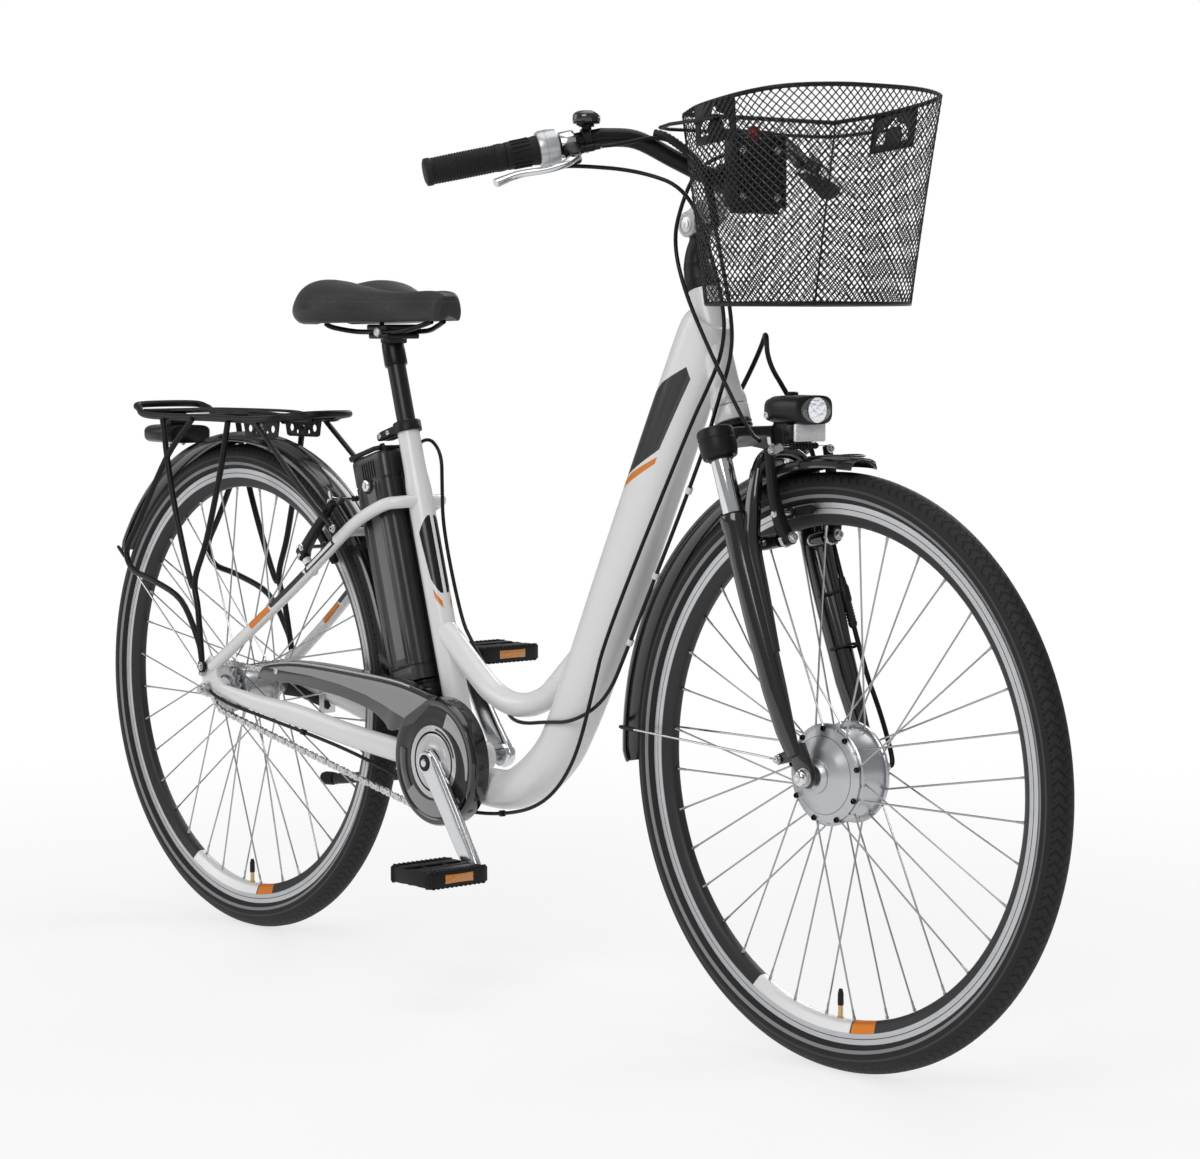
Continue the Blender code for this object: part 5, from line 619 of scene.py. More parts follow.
# Rims: double-walled aluminium. The brake track is turned in fine grooves, the bed below it is dull
# grey, and the bottom carries a white and an orange block of colour.
for word, axle, body in WHEELS:
    rim_metal = Finish(bpy.data.materials.new(f"{word}_rim_aluminium"))
    radius, angle, across = polar(rim_metal, axle)
    track = rim_metal.step(radius, 0.3030, 0.3042)
    wear = rim_metal.noise(rim_metal.place(), 55.0, 4.0)
    fine = (radius * 14000.0).sine()
    shaded_groove = between(rim_metal, radius, 0.3094, 0.3104, 0.0001)
    silver = rim_metal.mix(wear * 0.35, (0.60, 0.61, 0.63), (0.42, 0.43, 0.44))
    # A dark line painted round the brake track is painted shade standing for a groove there.
    silver = rim_metal.mix(shaded_groove, silver, (0.05, 0.05, 0.05))
    silver = rim_metal.mix(track, (0.030, 0.030, 0.032), silver)
    bottom = -math.pi / 2
    low_part = 1 - track
    white_block = between(rim_metal, angle, bottom - 0.47, bottom + 0.087, 0.002) * low_part
    orange_block = between(rim_metal, angle, bottom + 0.095, bottom + 0.222, 0.002) * low_part
    black_block = between(rim_metal, angle, bottom + 0.227, bottom + 0.35, 0.002) * low_part
    silver = rim_metal.mix(white_block, silver, (0.78, 0.78, 0.78))
    silver = rim_metal.mix(orange_block, silver, BLOCK_ORANGE)
    silver = rim_metal.mix(black_block, silver, (0.03, 0.03, 0.03))
    rim_metal.set(Base_Color=silver, Metallic=track * 0.45 + 0.5,
        Roughness=0.42 - track * 0.12 + wear * 0.1)
    rim_metal.bump(fine * track + wear * 0.3, 0.12, 0.0006)
    outline = [(0.3165, 0.0125), (0.3042, 0.0125), (0.3032, 0.0121), (0.3000, 0.0108), (0.2950, 0.0085),
               (0.2912, 0.0062), (0.2900, 0.0035)]
    outline += [(radius, -out) for radius, out in reversed(outline)]
    outline += [(0.3165, -0.0112), (0.3075, -0.0110), (0.3060, -0.0090), (0.3060, 0.0090),
        (0.3075, 0.0110), (0.3165, 0.0112)]
    rim = painted(turned(f"{word}_rim_hoop", outline, axle, sides=144, ring=True), rim_metal)
    foot = axle - UP * 0.291
    brass = drifting(f"{word}_valve_brass", (0.62, 0.45, 0.20), 0.30, 1.0)
    cap_black = drifting(f"{word}_valve_cap_black", (0.015, 0.015, 0.016), 0.40)
    stem = painted(turned(f"{word}_valve_stem",
        [(0.0042, 0), (0.0042, 0.003), (0.0030, 0.0035), (0.0030, 0.018)], foot, UP, 14), brass)
    cap = painted(turned(f"{word}_valve_cap", [(0.0036, 0.016), (0.0038, 0.019), (0.0036, 0.030),
                                               (0.0022, 0.0355)], foot, UP, 12), cap_black)
    fitted(joined(f"{word}_rim_and_valve", [rim, stem, cap]), body, "rim_aluminium", f"{word}_rim")

# Spokes: stainless wire, laced in crossing pairs from the hub's flanges, each drawn up by a nipple
# in the rim's bed.
SPOKES = 36


def ray(angle):
    """The way out from a wheel's middle at this angle."""
    return Vector((math.cos(angle), 0, math.sin(angle)))


def bundle(name, runs, sides=6):
    """Many thin round pieces in one mesh, each a run of (point, radius)."""
    points, faces = [], []
    for run in runs:
        places = [Vector(place) for place, radius in run]
        for i, (place, radius) in enumerate(run):
            along = (places[min(i + 1, len(run) - 1)] - places[max(i - 1, 0)]).normalized()
            first = along.cross(SIDEWAYS if abs(along.y) < 0.8 else UP).normalized()
            second = along.cross(first)
            for k in range(sides):
                turn_by = 2 * math.pi * k / sides
                points.append(places[i] + (first * math.cos(turn_by) + second * math.sin(turn_by)) * radius)
        base = len(points) - len(run) * sides
        for i in range(len(run) - 1):
            for k in range(sides):
                a, b = base + i * sides + k, base + i * sides + (k + 1) % sides
                faces.append((a, b, b + sides, a + sides))
        faces += [tuple(base + k for k in range(sides)), tuple(len(points) - 1 - k for k in range(sides))]
    return shaded(cleaned(drawn(name, points, (), faces)))


LACING = {"front": ((-0.0225, 0.0170), 0.0570, 20), "rear": ((-0.0290, 0.0290), 0.0315, 60)}
stainless = drifting("spoke_steel", (0.44, 0.45, 0.46), 0.28, 1.0, grain=300.0, depth=0.02)
hub_metal = drifting("hub_aluminium", (0.54, 0.55, 0.57), 0.32, 0.95, grain=1500.0, depth=0.04)
spoke_sets = {}
for word, axle, body in WHEELS:
    flanges, flange_radius, crossing = LACING[word]
    runs = []
    for i in range(SPOKES):
        rim_angle = math.radians(275 + 360 * i / SPOKES)
        leading = (i // 2) % 2
        hub_angle = rim_angle + math.radians(crossing if leading else -crossing)
        side = flanges[i % 2]
        clear = 0.0034 if leading else -0.0034
        out = math.copysign(0.0020, side)
        hub_way = ray(hub_angle)
        rim_way = ray(rim_angle)
        hole = axle + hub_way * flange_radius + SIDEWAYS * side
        start = hole + SIDEWAYS * clear
        end = axle + rim_way * 0.2895 + SIDEWAYS * out
        bent = start + (end - start).normalized() * 0.003
        runs.append([(hole - SIDEWAYS * clear * 0.9, 0.0019), (hole - SIDEWAYS * clear * 0.75, 0.0019),
                     (hole - SIDEWAYS * clear * 0.7, 0.0012), (start, 0.0012), (bent, 0.0012),
                     (end, 0.0012)])
        lower = end + (start - end).normalized() * 0.0130
        runs.append([(end, 0.0021), (end + (lower - end) * 0.25, 0.0021),
            (end + (lower - end) * 0.3, 0.0016), (lower, 0.0015)])
    spoke_sets[word] = painted(bundle(f"{word}_laced_spokes", runs), stainless)

# Hub motor: a satin aluminium drum between two spoke flanges, closed on the right by a turned cover
# that socket screws hold down.
drum = turned("motor_drum", [
    (0.0075, -0.0252), (0.0585, -0.0252), (0.0600, -0.0240), (0.0600, -0.0210), (0.0588, -0.0199),
    (0.0548, -0.0195), (0.0540, -0.0185), (0.0540, 0.0130), (0.0548, 0.0142), (0.0588, 0.0144),
    (0.0600, 0.0155), (0.0600, 0.0185), (0.0588, 0.0196), (0.0530, 0.0205), (0.0510, 0.0225),
    (0.0450, 0.0275), (0.0375, 0.0312), (0.0280, 0.0345), (0.0170, 0.0372), (0.0150, 0.0390),
    (0.0145, 0.0415), (0.0100, 0.0420),
], FRONT_AXLE, sides=96)
cover_metal = Finish(bpy.data.materials.new("turned_cover_aluminium"))
radius, angle, across = polar(cover_metal, FRONT_AXLE)
rings = (radius * 9000.0).sine()
shaded_groove = between(cover_metal, radius, 0.0455, 0.0463, 0.0002)
cloud = cover_metal.noise(cover_metal.place(), 40.0, 4.0)
# The turned groove is painted darker than the metal, as painted shade inside it.
cover_metal.set(Base_Color=cover_metal.mix(shaded_groove,
    cover_metal.mix(cloud, (0.56, 0.57, 0.59), (0.48, 0.49, 0.51)), (0.16, 0.16, 0.17)), Metallic=0.95,
                                           Roughness=cloud * 0.1 + 0.27)
cover_metal.bump(rings * 0.4 - shaded_groove * 2.0, 0.12, 0.0008)
cover = turned("motor_cover", [
    (0.0560, -0.0254), (0.0560, -0.0270), (0.0540, -0.0284), (0.0500, -0.0296), (0.0430, -0.0325),
    (0.0355, -0.0368), (0.0300, -0.0392), (0.0225, -0.0410), (0.0205, -0.0420), (0.0200, -0.0440),
    (0.0150, -0.0462), (0.0140, -0.0476), (0.0105, -0.0480),
], FRONT_AXLE, sides=96)
painted(drum, hub_metal)
painted(cover, cover_metal)
screw_black = drifting("screw_black", (0.008, 0.008, 0.009), 0.35, 0.3)
screw_steel = drifting("screw_steel", (0.62, 0.63, 0.65), 0.25, 1.0)


def screw(name, place, axis, radius, height, finish, socket=0.55):
    """A cap screw with a socket sunk in its head, its foot at this place."""
    inner = radius * socket
    head = turned(name, [(radius, 0), (radius, height * 0.75), (radius * 0.88, height), (inner, height),
                         (inner * 0.95, height * 0.35)], place, axis, 14)
    return painted(head, finish)


def ring_of(count, centre, radius, y, axis, size, height, finish, first=0.0, socket=0.55):
    """Screws spaced round a circle about a wheel's axis."""
    made = []
    for i in range(count):
        around = math.radians(first) + 2 * math.pi * i / count
        place = centre + Vector((math.cos(around) * radius, y, math.sin(around) * radius))
        made.append(screw("screw", place, axis, size, height, finish, socket))
    return made


cover_screws = ring_of(9, FRONT_AXLE, 0.0545, -0.0276, -SIDEWAYS, 0.0034, 0.0030, screw_black, 12)
cover_screws += ring_of(9, FRONT_AXLE, 0.0552, -0.0268, -SIDEWAYS, 0.0021, 0.0014, screw_steel, 32)
cover_screws += ring_of(9, FRONT_AXLE, 0.0565, 0.0196, SIDEWAYS, 0.0017, 0.0012, screw_steel, 30)
fitted(joined("motor_and_spokes", [spoke_sets["front"], drum]), "front_wheel", "hub_aluminium",
       "motor_drum_and_spokes")
fitted(joined("motor_cover_and_screws", [cover] + cover_screws), "front_wheel", "hub_aluminium",
       "motor_side_cover")

# Front axle: a steel axle with a domed chrome nut and washer at each end, and a black sleeve over the
# motor's wire on the left.
chrome = drifting("chrome_plate", (0.74, 0.75, 0.77), 0.10, 1.0, grain=60.0, depth=0.01, mottle=0.02)
black_plastic = drifting("black_plastic", (0.009, 0.009, 0.010), 0.42, grain=1300.0, depth=0.09)
plated = drifting("zinc_plate", (0.62, 0.62, 0.60), 0.32, 0.9)
axle_parts = [painted(turned("axle_shaft", [(0.0056, -0.0735), (0.0060, -0.0725), (0.0060, 0.0745),
    (0.0056, 0.0760)], FRONT_AXLE, sides=24), plated)]
for side in (RIGHT, LEFT):
    axis = SIDEWAYS * side
    axle_parts.append(painted(turned("axle_washer", [(0.0112, 0.0606), (0.0112, 0.0620)], FRONT_AXLE,
        axis, 40), plated))
    nut = turned("axle_nut", [(0.0096, 0.0620), (0.0098, 0.0626), (0.0098, 0.0690)], FRONT_AXLE, axis,
        6, bevel=0.0006)
    dome = turned("axle_dome", [(0.0086, 0.0688), (0.0080, 0.0712), (0.0058, 0.0730), (0.0020, 0.0738)],
                  FRONT_AXLE, axis, 32)
    axle_parts += [painted(nut, chrome), painted(dome, chrome)]
fitted(joined("front_axle_and_nuts", axle_parts), "fork_lowers", "steel", "front_axle")

# Rear hub: a turned aluminium barrel with two flanges and a steel driver, which the sprocket and the
# coaster brake's arm sit beside on a threaded axle.
barrel = turned("hub_barrel", [
    (0.0062, -0.0450), (0.0155, -0.0450), (0.0160, -0.0440), (0.0160, -0.0385), (0.0182, -0.0375),
    (0.0240, -0.0330), (0.0340, -0.0312), (0.0350, -0.0302), (0.0350, -0.0280), (0.0340, -0.0270),
    (0.0262, -0.0262), (0.0236, -0.0200), (0.0230, 0.0000), (0.0236, 0.0200), (0.0262, 0.0262),
    (0.0340, 0.0270), (0.0350, 0.0280), (0.0350, 0.0302), (0.0340, 0.0312), (0.0230, 0.0330),
    (0.0210, 0.0366), (0.0062, 0.0370),
], REAR_AXLE, sides=64)
painted(barrel, hub_metal)
fitted(joined("rear_hub_barrel_and_spokes", [spoke_sets["rear"], barrel]), "rear_wheel", "hub_aluminium",
       "rear_hub_and_spokes")
coaster_arm = (
    (-0.016, 0.340), (0.004, 0.334), (0.045, 0.334), (0.112, 0.322), (0.118, 0.328), (0.112, 0.334),
    (0.040, 0.352), (0.016, 0.368), (-0.004, 0.370), (-0.016, 0.362),
)
rear_parts = [
    painted(turned("rear_shaft", [(0.0046, -0.0900), (0.0050, -0.0890), (0.0050, 0.0890), (0.0046, 0.0900)],
                   REAR_AXLE, sides=20), plated),
    painted(plate("coaster_arm", coaster_arm, 0.0563, 0.0593, 0.0008), black_plastic),
    painted(turned("coaster_cone", [(0.0175, 0.0385), (0.0185, 0.0395), (0.0185, 0.0480), (0.0150, 0.0500),
                                    (0.0150, 0.0562)], REAR_AXLE, sides=40), plated),
    painted(block("arm_clip", at(0.094, 0.0545, 0.316), at(0.106, 0.0760, 0.352), 0.0015), plated),
]
for side in (RIGHT, LEFT):
    axis = SIDEWAYS * side
    rear_parts.append(painted(turned("rear_washer", [(0.0115, 0.0736), (0.0115, 0.0752)], REAR_AXLE,
        axis, 32), plated))
    rear_parts.append(painted(turned("rear_nut", [(0.0086, 0.0752), (0.0088, 0.0758), (0.0088, 0.0832)],
                                     REAR_AXLE, axis, 6, bevel=0.0006), plated))
fitted(joined("rear_axle_nuts_and_arm", rear_parts), "bike", "steel", "rear_axle_and_brake_arm")


# Sprocket and chain: a stamped steel sprocket on the hub's driver, and a bicycle chain of paired
# plates on rollers, run straight between the two tooth circles.
PITCH = 0.0127
CHAIN_SIDE = -0.042
RING_TEETH, COG_TEETH = 38, 18


def toothed(name, centre, teeth, thickness, y, inner):
    """A flat ring with a tooth between every two rollers."""
    reach = PITCH / (2 * math.sin(math.pi / teeth))
    rings = []
    for side in (y - thickness / 2, y + thickness / 2):
        outer, hole = [], []
        for i in range(teeth * 4):
            angle = 2 * math.pi * (i + 0.5) / (teeth * 4)
            radius = reach + (-0.0034, 0.0030, 0.0030, -0.0034)[i % 4]
            wide = (-0.16, 0.20, -0.20, 0.16)[i % 4] * 2 * math.pi / (teeth * 4)
            way = Vector((math.cos(angle + wide), 0, math.sin(angle + wide)))
            outer.append(centre + way * radius + SIDEWAYS * side)
            hole.append(centre + way * inner + SIDEWAYS * side)
        rings += [outer, hole] if side < y else [hole, outer]
    return shaded(lofted(name, rings, closed=True), 0.0003, 1, 50)


oiled_steel = drifting("oiled_steel", (0.42, 0.42, 0.43), 0.30, 0.95, grain=500.0, depth=0.05)
sprocket = toothed("sprocket_teeth", REAR_AXLE, COG_TEETH, 0.0030, CHAIN_SIDE, 0.0192)
fitted(painted(sprocket, oiled_steel), "sprocket", "chain_steel", "rear_sprocket")

ring_reach = PITCH / (2 * math.sin(math.pi / RING_TEETH))
cog_reach = PITCH / (2 * math.sin(math.pi / COG_TEETH))
span = BRACKET - REAR_AXLE
lean = math.atan2(span.z, span.x)
open_by = math.asin((ring_reach - cog_reach) / span.length)
straight = math.sqrt(span.length**2 - (ring_reach - cog_reach) ** 2)
ring_arc, cog_arc = math.pi + 2 * open_by, math.pi - 2 * open_by
whole = 2 * straight + ring_reach * ring_arc + cog_reach * cog_arc
links = 2 * round(whole / PITCH / 2)


def along_chain(run):
    """A place on the chain's line, starting where the upper run leaves the rear sprocket."""
    run = run % whole
    top = lean + math.pi / 2 + open_by
    if run < straight:
        start = REAR_AXLE + ray(top) * cog_reach
        end = BRACKET + ray(top) * ring_reach
        return start.lerp(end, run / straight)
    run -= straight
    if run < ring_reach * ring_arc:
        angle = top - run / ring_reach
        return BRACKET + ray(angle) * ring_reach
    run -= ring_reach * ring_arc
    low = top - ring_arc
    if run < straight:
        start = BRACKET + ray(low) * ring_reach
        end = REAR_AXLE + ray(low) * cog_reach
        return start.lerp(end, run / straight)
    angle = low - (run - straight) / cog_reach
    return REAR_AXLE + ray(angle) * cog_reach


LINK_SHAPE = ((-0.5, 0.38), (-0.28, 0.40), (0, 0.26), (0.28, 0.40), (0.5, 0.38), (0.78, 0.24), (0.86, 0),
              (0.78, -0.24), (0.5, -0.38), (0.28, -0.40), (0, -0.26), (-0.28, -0.40), (-0.5, -0.38),
              (-0.78, -0.24), (-0.86, 0), (-0.78, 0.24))
chain_points, chain_faces = [], []
pins = []
for i in range(links):
    here = along_chain(whole * i / links)
    there = along_chain(whole * (i + 1) / links)
    way = (there - here).normalized()
    square = Vector((-way.z, 0, way.x))
    gap, thick = (0.0025, 0.0009) if i % 2 else (0.0015, 0.0009)
    for side in (-1, 1):
        base = len(chain_points)
        for y in (CHAIN_SIDE + side * gap, CHAIN_SIDE + side * (gap + thick)):
            for along, across in LINK_SHAPE:
                chain_points.append(here.lerp(there, 0.5) + way * along * PITCH * 0.98
                                    + square * across * 0.0100 + SIDEWAYS * y)
        count = len(LINK_SHAPE)
        chain_faces += [tuple(base + k for k in range(count)),
            tuple(base + count + k for k in range(count))]
        chain_faces += [(base + k, base + (k + 1) % count, base + count + (k + 1) % count,
            base + count + k)
                        for k in range(count)]
    pins.append([(here + SIDEWAYS * (CHAIN_SIDE - 0.0037), 0.0016),
        (here + SIDEWAYS * (CHAIN_SIDE + 0.0037), 0.0016)])
    pins.append([(here + SIDEWAYS * (CHAIN_SIDE - 0.0013), 0.0037),
        (here + SIDEWAYS * (CHAIN_SIDE + 0.0013), 0.0037)])
chain_plates = shaded(cleaned(drawn("chain_plates", chain_points, (), chain_faces)))
chain_pins = bundle("chain_pins", pins, 8)
chain_silver = drifting("chain_silver", (0.62, 0.62, 0.63), 0.24, 0.95, grain=500.0, depth=0.05)
fitted(joined("chain_links", [painted(chain_plates, chain_silver), painted(chain_pins, oiled_steel)]),
    "bike", "chain_steel", "chain")

# Cranks: forged aluminium arms, polished, on a square steel axle. The right one carries the toothed
# ring on a five-armed spider; a black cap with a bright middle covers each bolt.
polished = drifting("polished_aluminium", (0.66, 0.67, 0.69), 0.16, 1.0, grain=220.0, depth=0.02,
    mottle=0.03)
CRANK_WAY = Vector((0.111872, 0, -0.126004))
axle_piece = turned("crank_axle", [(0.0084, -0.0690), (0.0088, -0.0684), (0.0088, 0.0684),
    (0.0084, 0.0690)], BRACKET, sides=28)
fitted(painted(axle_piece, oiled_steel), "cranks", "steel", "bottom_bracket_axle")
for side, word in ((RIGHT, "right"), (LEFT, "left")):
    way = CRANK_WAY.normalized() * (1 if side < 0 else -1)
    route, widths, depths = [], [], []
    for along, out, wide, deep in (
        (-0.0150, 0.0645, 0.0030, 0.0090), (-0.0115, 0.0645, 0.0052, 0.0140),
        (0.0, 0.0645, 0.0062, 0.0172),
        (0.0160, 0.0650, 0.0062, 0.0180), (0.0400, 0.0665, 0.0062, 0.0176),
        (0.0800, 0.0700, 0.0060, 0.0168),
        (0.1200, 0.0740, 0.0060, 0.0160), (0.1500, 0.0765, 0.0060, 0.0152),
        (0.1685, 0.0780, 0.0060, 0.0140),
        (0.1770, 0.0784, 0.0056, 0.0108), (0.1812, 0.0785, 0.0040, 0.0060),
    ):
        route.append(BRACKET + way * along + SIDEWAYS * side * out)
        widths.append(wide)
        depths.append(deep)
    arm = swept(f"{word}_crank_arm", rounded(route, 3), eased(widths, 3), eased(depths, 3), 32, power=3.6)
    axis = SIDEWAYS * side
    boss = turned("crank_boss", [(0.0150, 0.0545), (0.0160, 0.0560), (0.0160, 0.0690), (0.0148, 0.0712),
                                 (0.0118, 0.0716)], BRACKET, axis, 48)
    dust_cap = turned("bolt_cap", [(0.0112, 0.0700), (0.0112, 0.0722), (0.0100, 0.0732), (0.0060, 0.0735)],
                      BRACKET, axis, 36)
    cap_centre = turned("bolt_middle", [(0.0052, 0.0730), (0.0052, 0.0738), (0.0040, 0.0741)], BRACKET,
        axis, 24)
    eye = turned("pedal_eye", [(0.0095, 0.0725), (0.0105, 0.0735), (0.0105, 0.0832), (0.0095, 0.0842)],
                 BRACKET + way * 0.1685, axis, 32)
    spindle = turned("pedal_spindle", [(0.0060, 0.0840), (0.0070, 0.0850), (0.0070, 0.0900),
        (0.0045, 0.0910), (0.0045, 0.1720)], BRACKET + way * 0.1685, axis, 18)
    parts = [painted(arm, polished), painted(boss, polished), painted(dust_cap, black_plastic),
             painted(cap_centre, polished), painted(eye, polished), painted(spindle, oiled_steel)]
    if side < 0:
        parts.append(painted(toothed("chainring", BRACKET, RING_TEETH, 0.0030, CHAIN_SIDE, 0.0620),
            oiled_steel))
        for i in range(5):
            angle = math.radians(90 + 72 * i)
            spoke_way = ray(angle)
            start, end = BRACKET + spoke_way * 0.012, BRACKET + spoke_way * 0.0645
            parts.append(painted(swept("spider_arm",
                [start + SIDEWAYS * -0.0475, start.lerp(end, 0.5) + SIDEWAYS * -0.0465,
                                                      end + SIDEWAYS * -0.0450],
                                       0.0022, [0.0080, 0.0058, 0.0066], 12, power=3), polished))
            parts.append(screw("ring_bolt", BRACKET + spoke_way * 0.0620 + SIDEWAYS * -0.0428,
                -SIDEWAYS, 0.0042, 0.0042, screw_steel))
        parts.append(painted(turned("spider_hub",
            [(0.0160, -0.0560), (0.0165, -0.0440), (0.0150, -0.0400)], BRACKET, sides=40), polished))
    fitted(joined(f"{word}_crank_and_boss", parts), "cranks", "crank_aluminium", f"{word}_crank")

# Pedals: black moulded platforms with ridged treads, a round barrel over the spindle and an amber
# reflector let into each long face.
pedal_black = drifting("pedal_black", (0.009, 0.009, 0.010), 0.48, grain=900.0, depth=0.14)
amber = Finish(bpy.data.materials.new("amber_reflector"))
x, y, z = amber.axes()
cells = (x * 1900.0 + z * 1100.0).sine() * (y * 2200.0).sine()
amber.set(Base_Color=amber.mix(cells * 0.5 + 0.5, (0.42, 0.115, 0.004), (0.78, 0.30, 0.012)),
    Roughness=0.14, Coat_Weight=1.0)
amber.bump(cells, 0.35, 0.0008)
for side, word, centre in ((RIGHT, "right", at(0.622872, 0, 0.170996)),
        (LEFT, "left", at(0.399128, 0, 0.423004))):
    near, far = 0.0868, 0.1822
    middle = centre + SIDEWAYS * side * (near + far) / 2
    parts = [turned("pedal_barrel", [(0.0100, near), (0.0112, near + 0.002), (0.0100, near + 0.012),
                                     (0.0095, far - 0.014), (0.0108, far - 0.004), (0.0100, far)],
                    centre, SIDEWAYS * side, 28)]
    for fore in (-1, 1):
        face = swept("pedal_bar", rounded([
            middle + Vector((fore * 0.0340, -0.0475, 0)), middle + Vector((fore * 0.0390, -0.0400, 0)),
            middle + Vector((fore * 0.0400, 0, 0)), middle + Vector((fore * 0.0390, 0.0400, 0)),
            middle + Vector((fore * 0.0340, 0.0475, 0))], 4), 0.0030, 0.0112, 16,
            across=Vector((1, 0, 0)), power=4)
        parts.append(face)
        for i in range(12):
            out = (i - 5.5) * 0.0073
            for up in (-1, 1):
                low = middle + Vector((fore * 0.0400 - 0.0028, out - 0.0017, up * 0.0105 - 0.0013))
                parts.append(block("pedal_tooth", low, low + Vector((0.0056, 0.0034, 0.0026)), 0.0005))
        amber_low = middle + Vector((fore * 0.0416 - 0.0014, -0.0230, -0.0062))
        reflector = block("pedal_reflector", amber_low, amber_low + Vector((0.0028, 0.0460, 0.0124)),
            0.0010)
        parts.append(painted(reflector, amber))
    for out in (-0.0465, -0.0165, 0.0165, 0.0465):
        rib_low = middle + Vector((-0.0400, out - 0.0016, -0.0095))
        parts.append(block("pedal_rib", rib_low, rib_low + Vector((0.0800, 0.0032, 0.0190)), 0.0009))
    for fore in (-1, 1):
        tread_low = middle + Vector((fore * 0.0215 - 0.0075, -0.0460, 0.0065))
        parts.append(block("pedal_tread", tread_low, tread_low + Vector((0.0150, 0.0920, 0.0040)), 0.0008))
        parts.append(block("pedal_tread", tread_low - UP * 0.017,
            tread_low + Vector((0.0150, 0.0920, -0.0130)), 0.0008))
    for part in parts:
        if not part.data.materials:
            painted(part, pedal_black)
    fitted(joined(f"{word}_pedal_platform", parts), f"{word}_pedal_body", "pedal_plastic", f"{word}_pedal")

# Chain guard: a gloss black moulding. A ring wall and a dished disc go round the chainring, and a long
# arm with a turned-in lip runs back over the chain to a screw on the stay.
guard_gloss = drifting("guard_gloss_black", (0.006, 0.006, 0.007), 0.16, grain=260.0, depth=0.02, coat=0.6)
guard_satin = drifting("guard_satin_charcoal", (0.030, 0.030, 0.031), 0.30, grain=700.0, depth=0.05)
guard_grey = drifting("guard_satin_grey", (0.30, 0.30, 0.305), 0.36, 0.0, grain=700.0, depth=0.05)
# Light grey used only for highlights painted on the gloss black guard.
guard_highlight_paint = drifting("guard_light_grey", (0.42, 0.42, 0.43), 0.30, 0.4, grain=700.0, depth=0.03)
guard_ring_metal = drifting("guard_bright_ring", (0.58, 0.58, 0.59), 0.30, 0.45)
GUARD_TOP = ((0.1005, 0.376), (0.110, 0.390), (0.128, 0.399), (0.206, 0.407), (0.346, 0.404),
    (0.440, 0.3985), (0.520, 0.3840))
GUARD_FOOT = ((0.470, 0.345), (0.4175, 0.330), (0.402, 0.340), (0.369, 0.354), (0.300, 0.366),
    (0.2055, 0.374))
top_line, foot_line = [[(point.x, point.z) for point in rounded([Vector((x, 0, z)) for x, z in line], 4)]
                       for line in (GUARD_TOP, GUARD_FOOT)]
parts = [painted(plate("guard_arm", top_line + foot_line, -0.0572, -0.0542, 0.0010), guard_gloss)]
lip_route = [at(x, -0.0460, z - 0.0012) for x, z in top_line[:-2]]
parts.append(painted(swept("guard_lip", lip_route, 0.0098, 0.0011, 12, power=4), guard_gloss))
upper_edge = [(x, z - 0.0075 - 0.004 * (x - 0.2)) for x, z in top_line[8:24]]
lower_edge = [(0.448, 0.3500), (0.4250, 0.3560), (0.4000, 0.3640), (0.3600, 0.3740), (0.3000, 0.3830),
    (0.2300, 0.3890)]
parts.append(painted(plate("guard_panel", upper_edge + lower_edge, -0.0580, -0.0560, 0.0006), guard_grey))
# A thin light grey strip along the arm's top edge is a painted highlight.
shine_line = [at(x, -0.0573, z - 0.0022) for x, z in top_line[3:-3]]
parts.append(painted(swept("guard_highlight", shine_line, 0.0009, 0.0013, 8), guard_highlight_paint))
parts.append(painted(turned("guard_wall", [
    (0.0838, -0.0300), (0.0855, -0.0305), (0.0858, -0.0480), (0.0852, -0.0545), (0.0832, -0.0572),
    (0.0790, -0.0578), (0.0770, -0.0572), (0.0750, -0.0560), (0.0750, -0.0545), (0.0815, -0.0545),
    (0.0834, -0.0520),
], BRACKET, sides=96, ring=True), guard_gloss))
parts.append(painted(turned("guard_disc", [
    (0.0760, -0.0560), (0.0740, -0.0566), (0.0700, -0.0566), (0.0560, -0.0562), (0.0545, -0.0570),
    (0.0480, -0.0570), (0.0465, -0.0562), (0.0400, -0.0562), (0.0400, -0.0545), (0.0760, -0.0545),
], BRACKET, sides=96, ring=True), guard_satin))
cover_disc = turned("crank_cover_disc", [
    (0.0170, -0.0592), (0.0205, -0.0600), (0.0225, -0.0588), (0.0290, -0.0586), (0.0300, -0.0578),
    (0.0372, -0.0576), (0.0388, -0.0568), (0.0392, -0.0556), (0.0385, -0.0550), (0.0170, -0.0550),
], BRACKET, sides=96, ring=True)
fitted(painted(cover_disc, guard_ring_metal), "cranks", "crank_aluminium")


def side_view(points):
    """The distance ahead of the rear axle and the height of each of these places."""
    return [(point.x + HALF_WHEELBASE, point.z) for point in points]


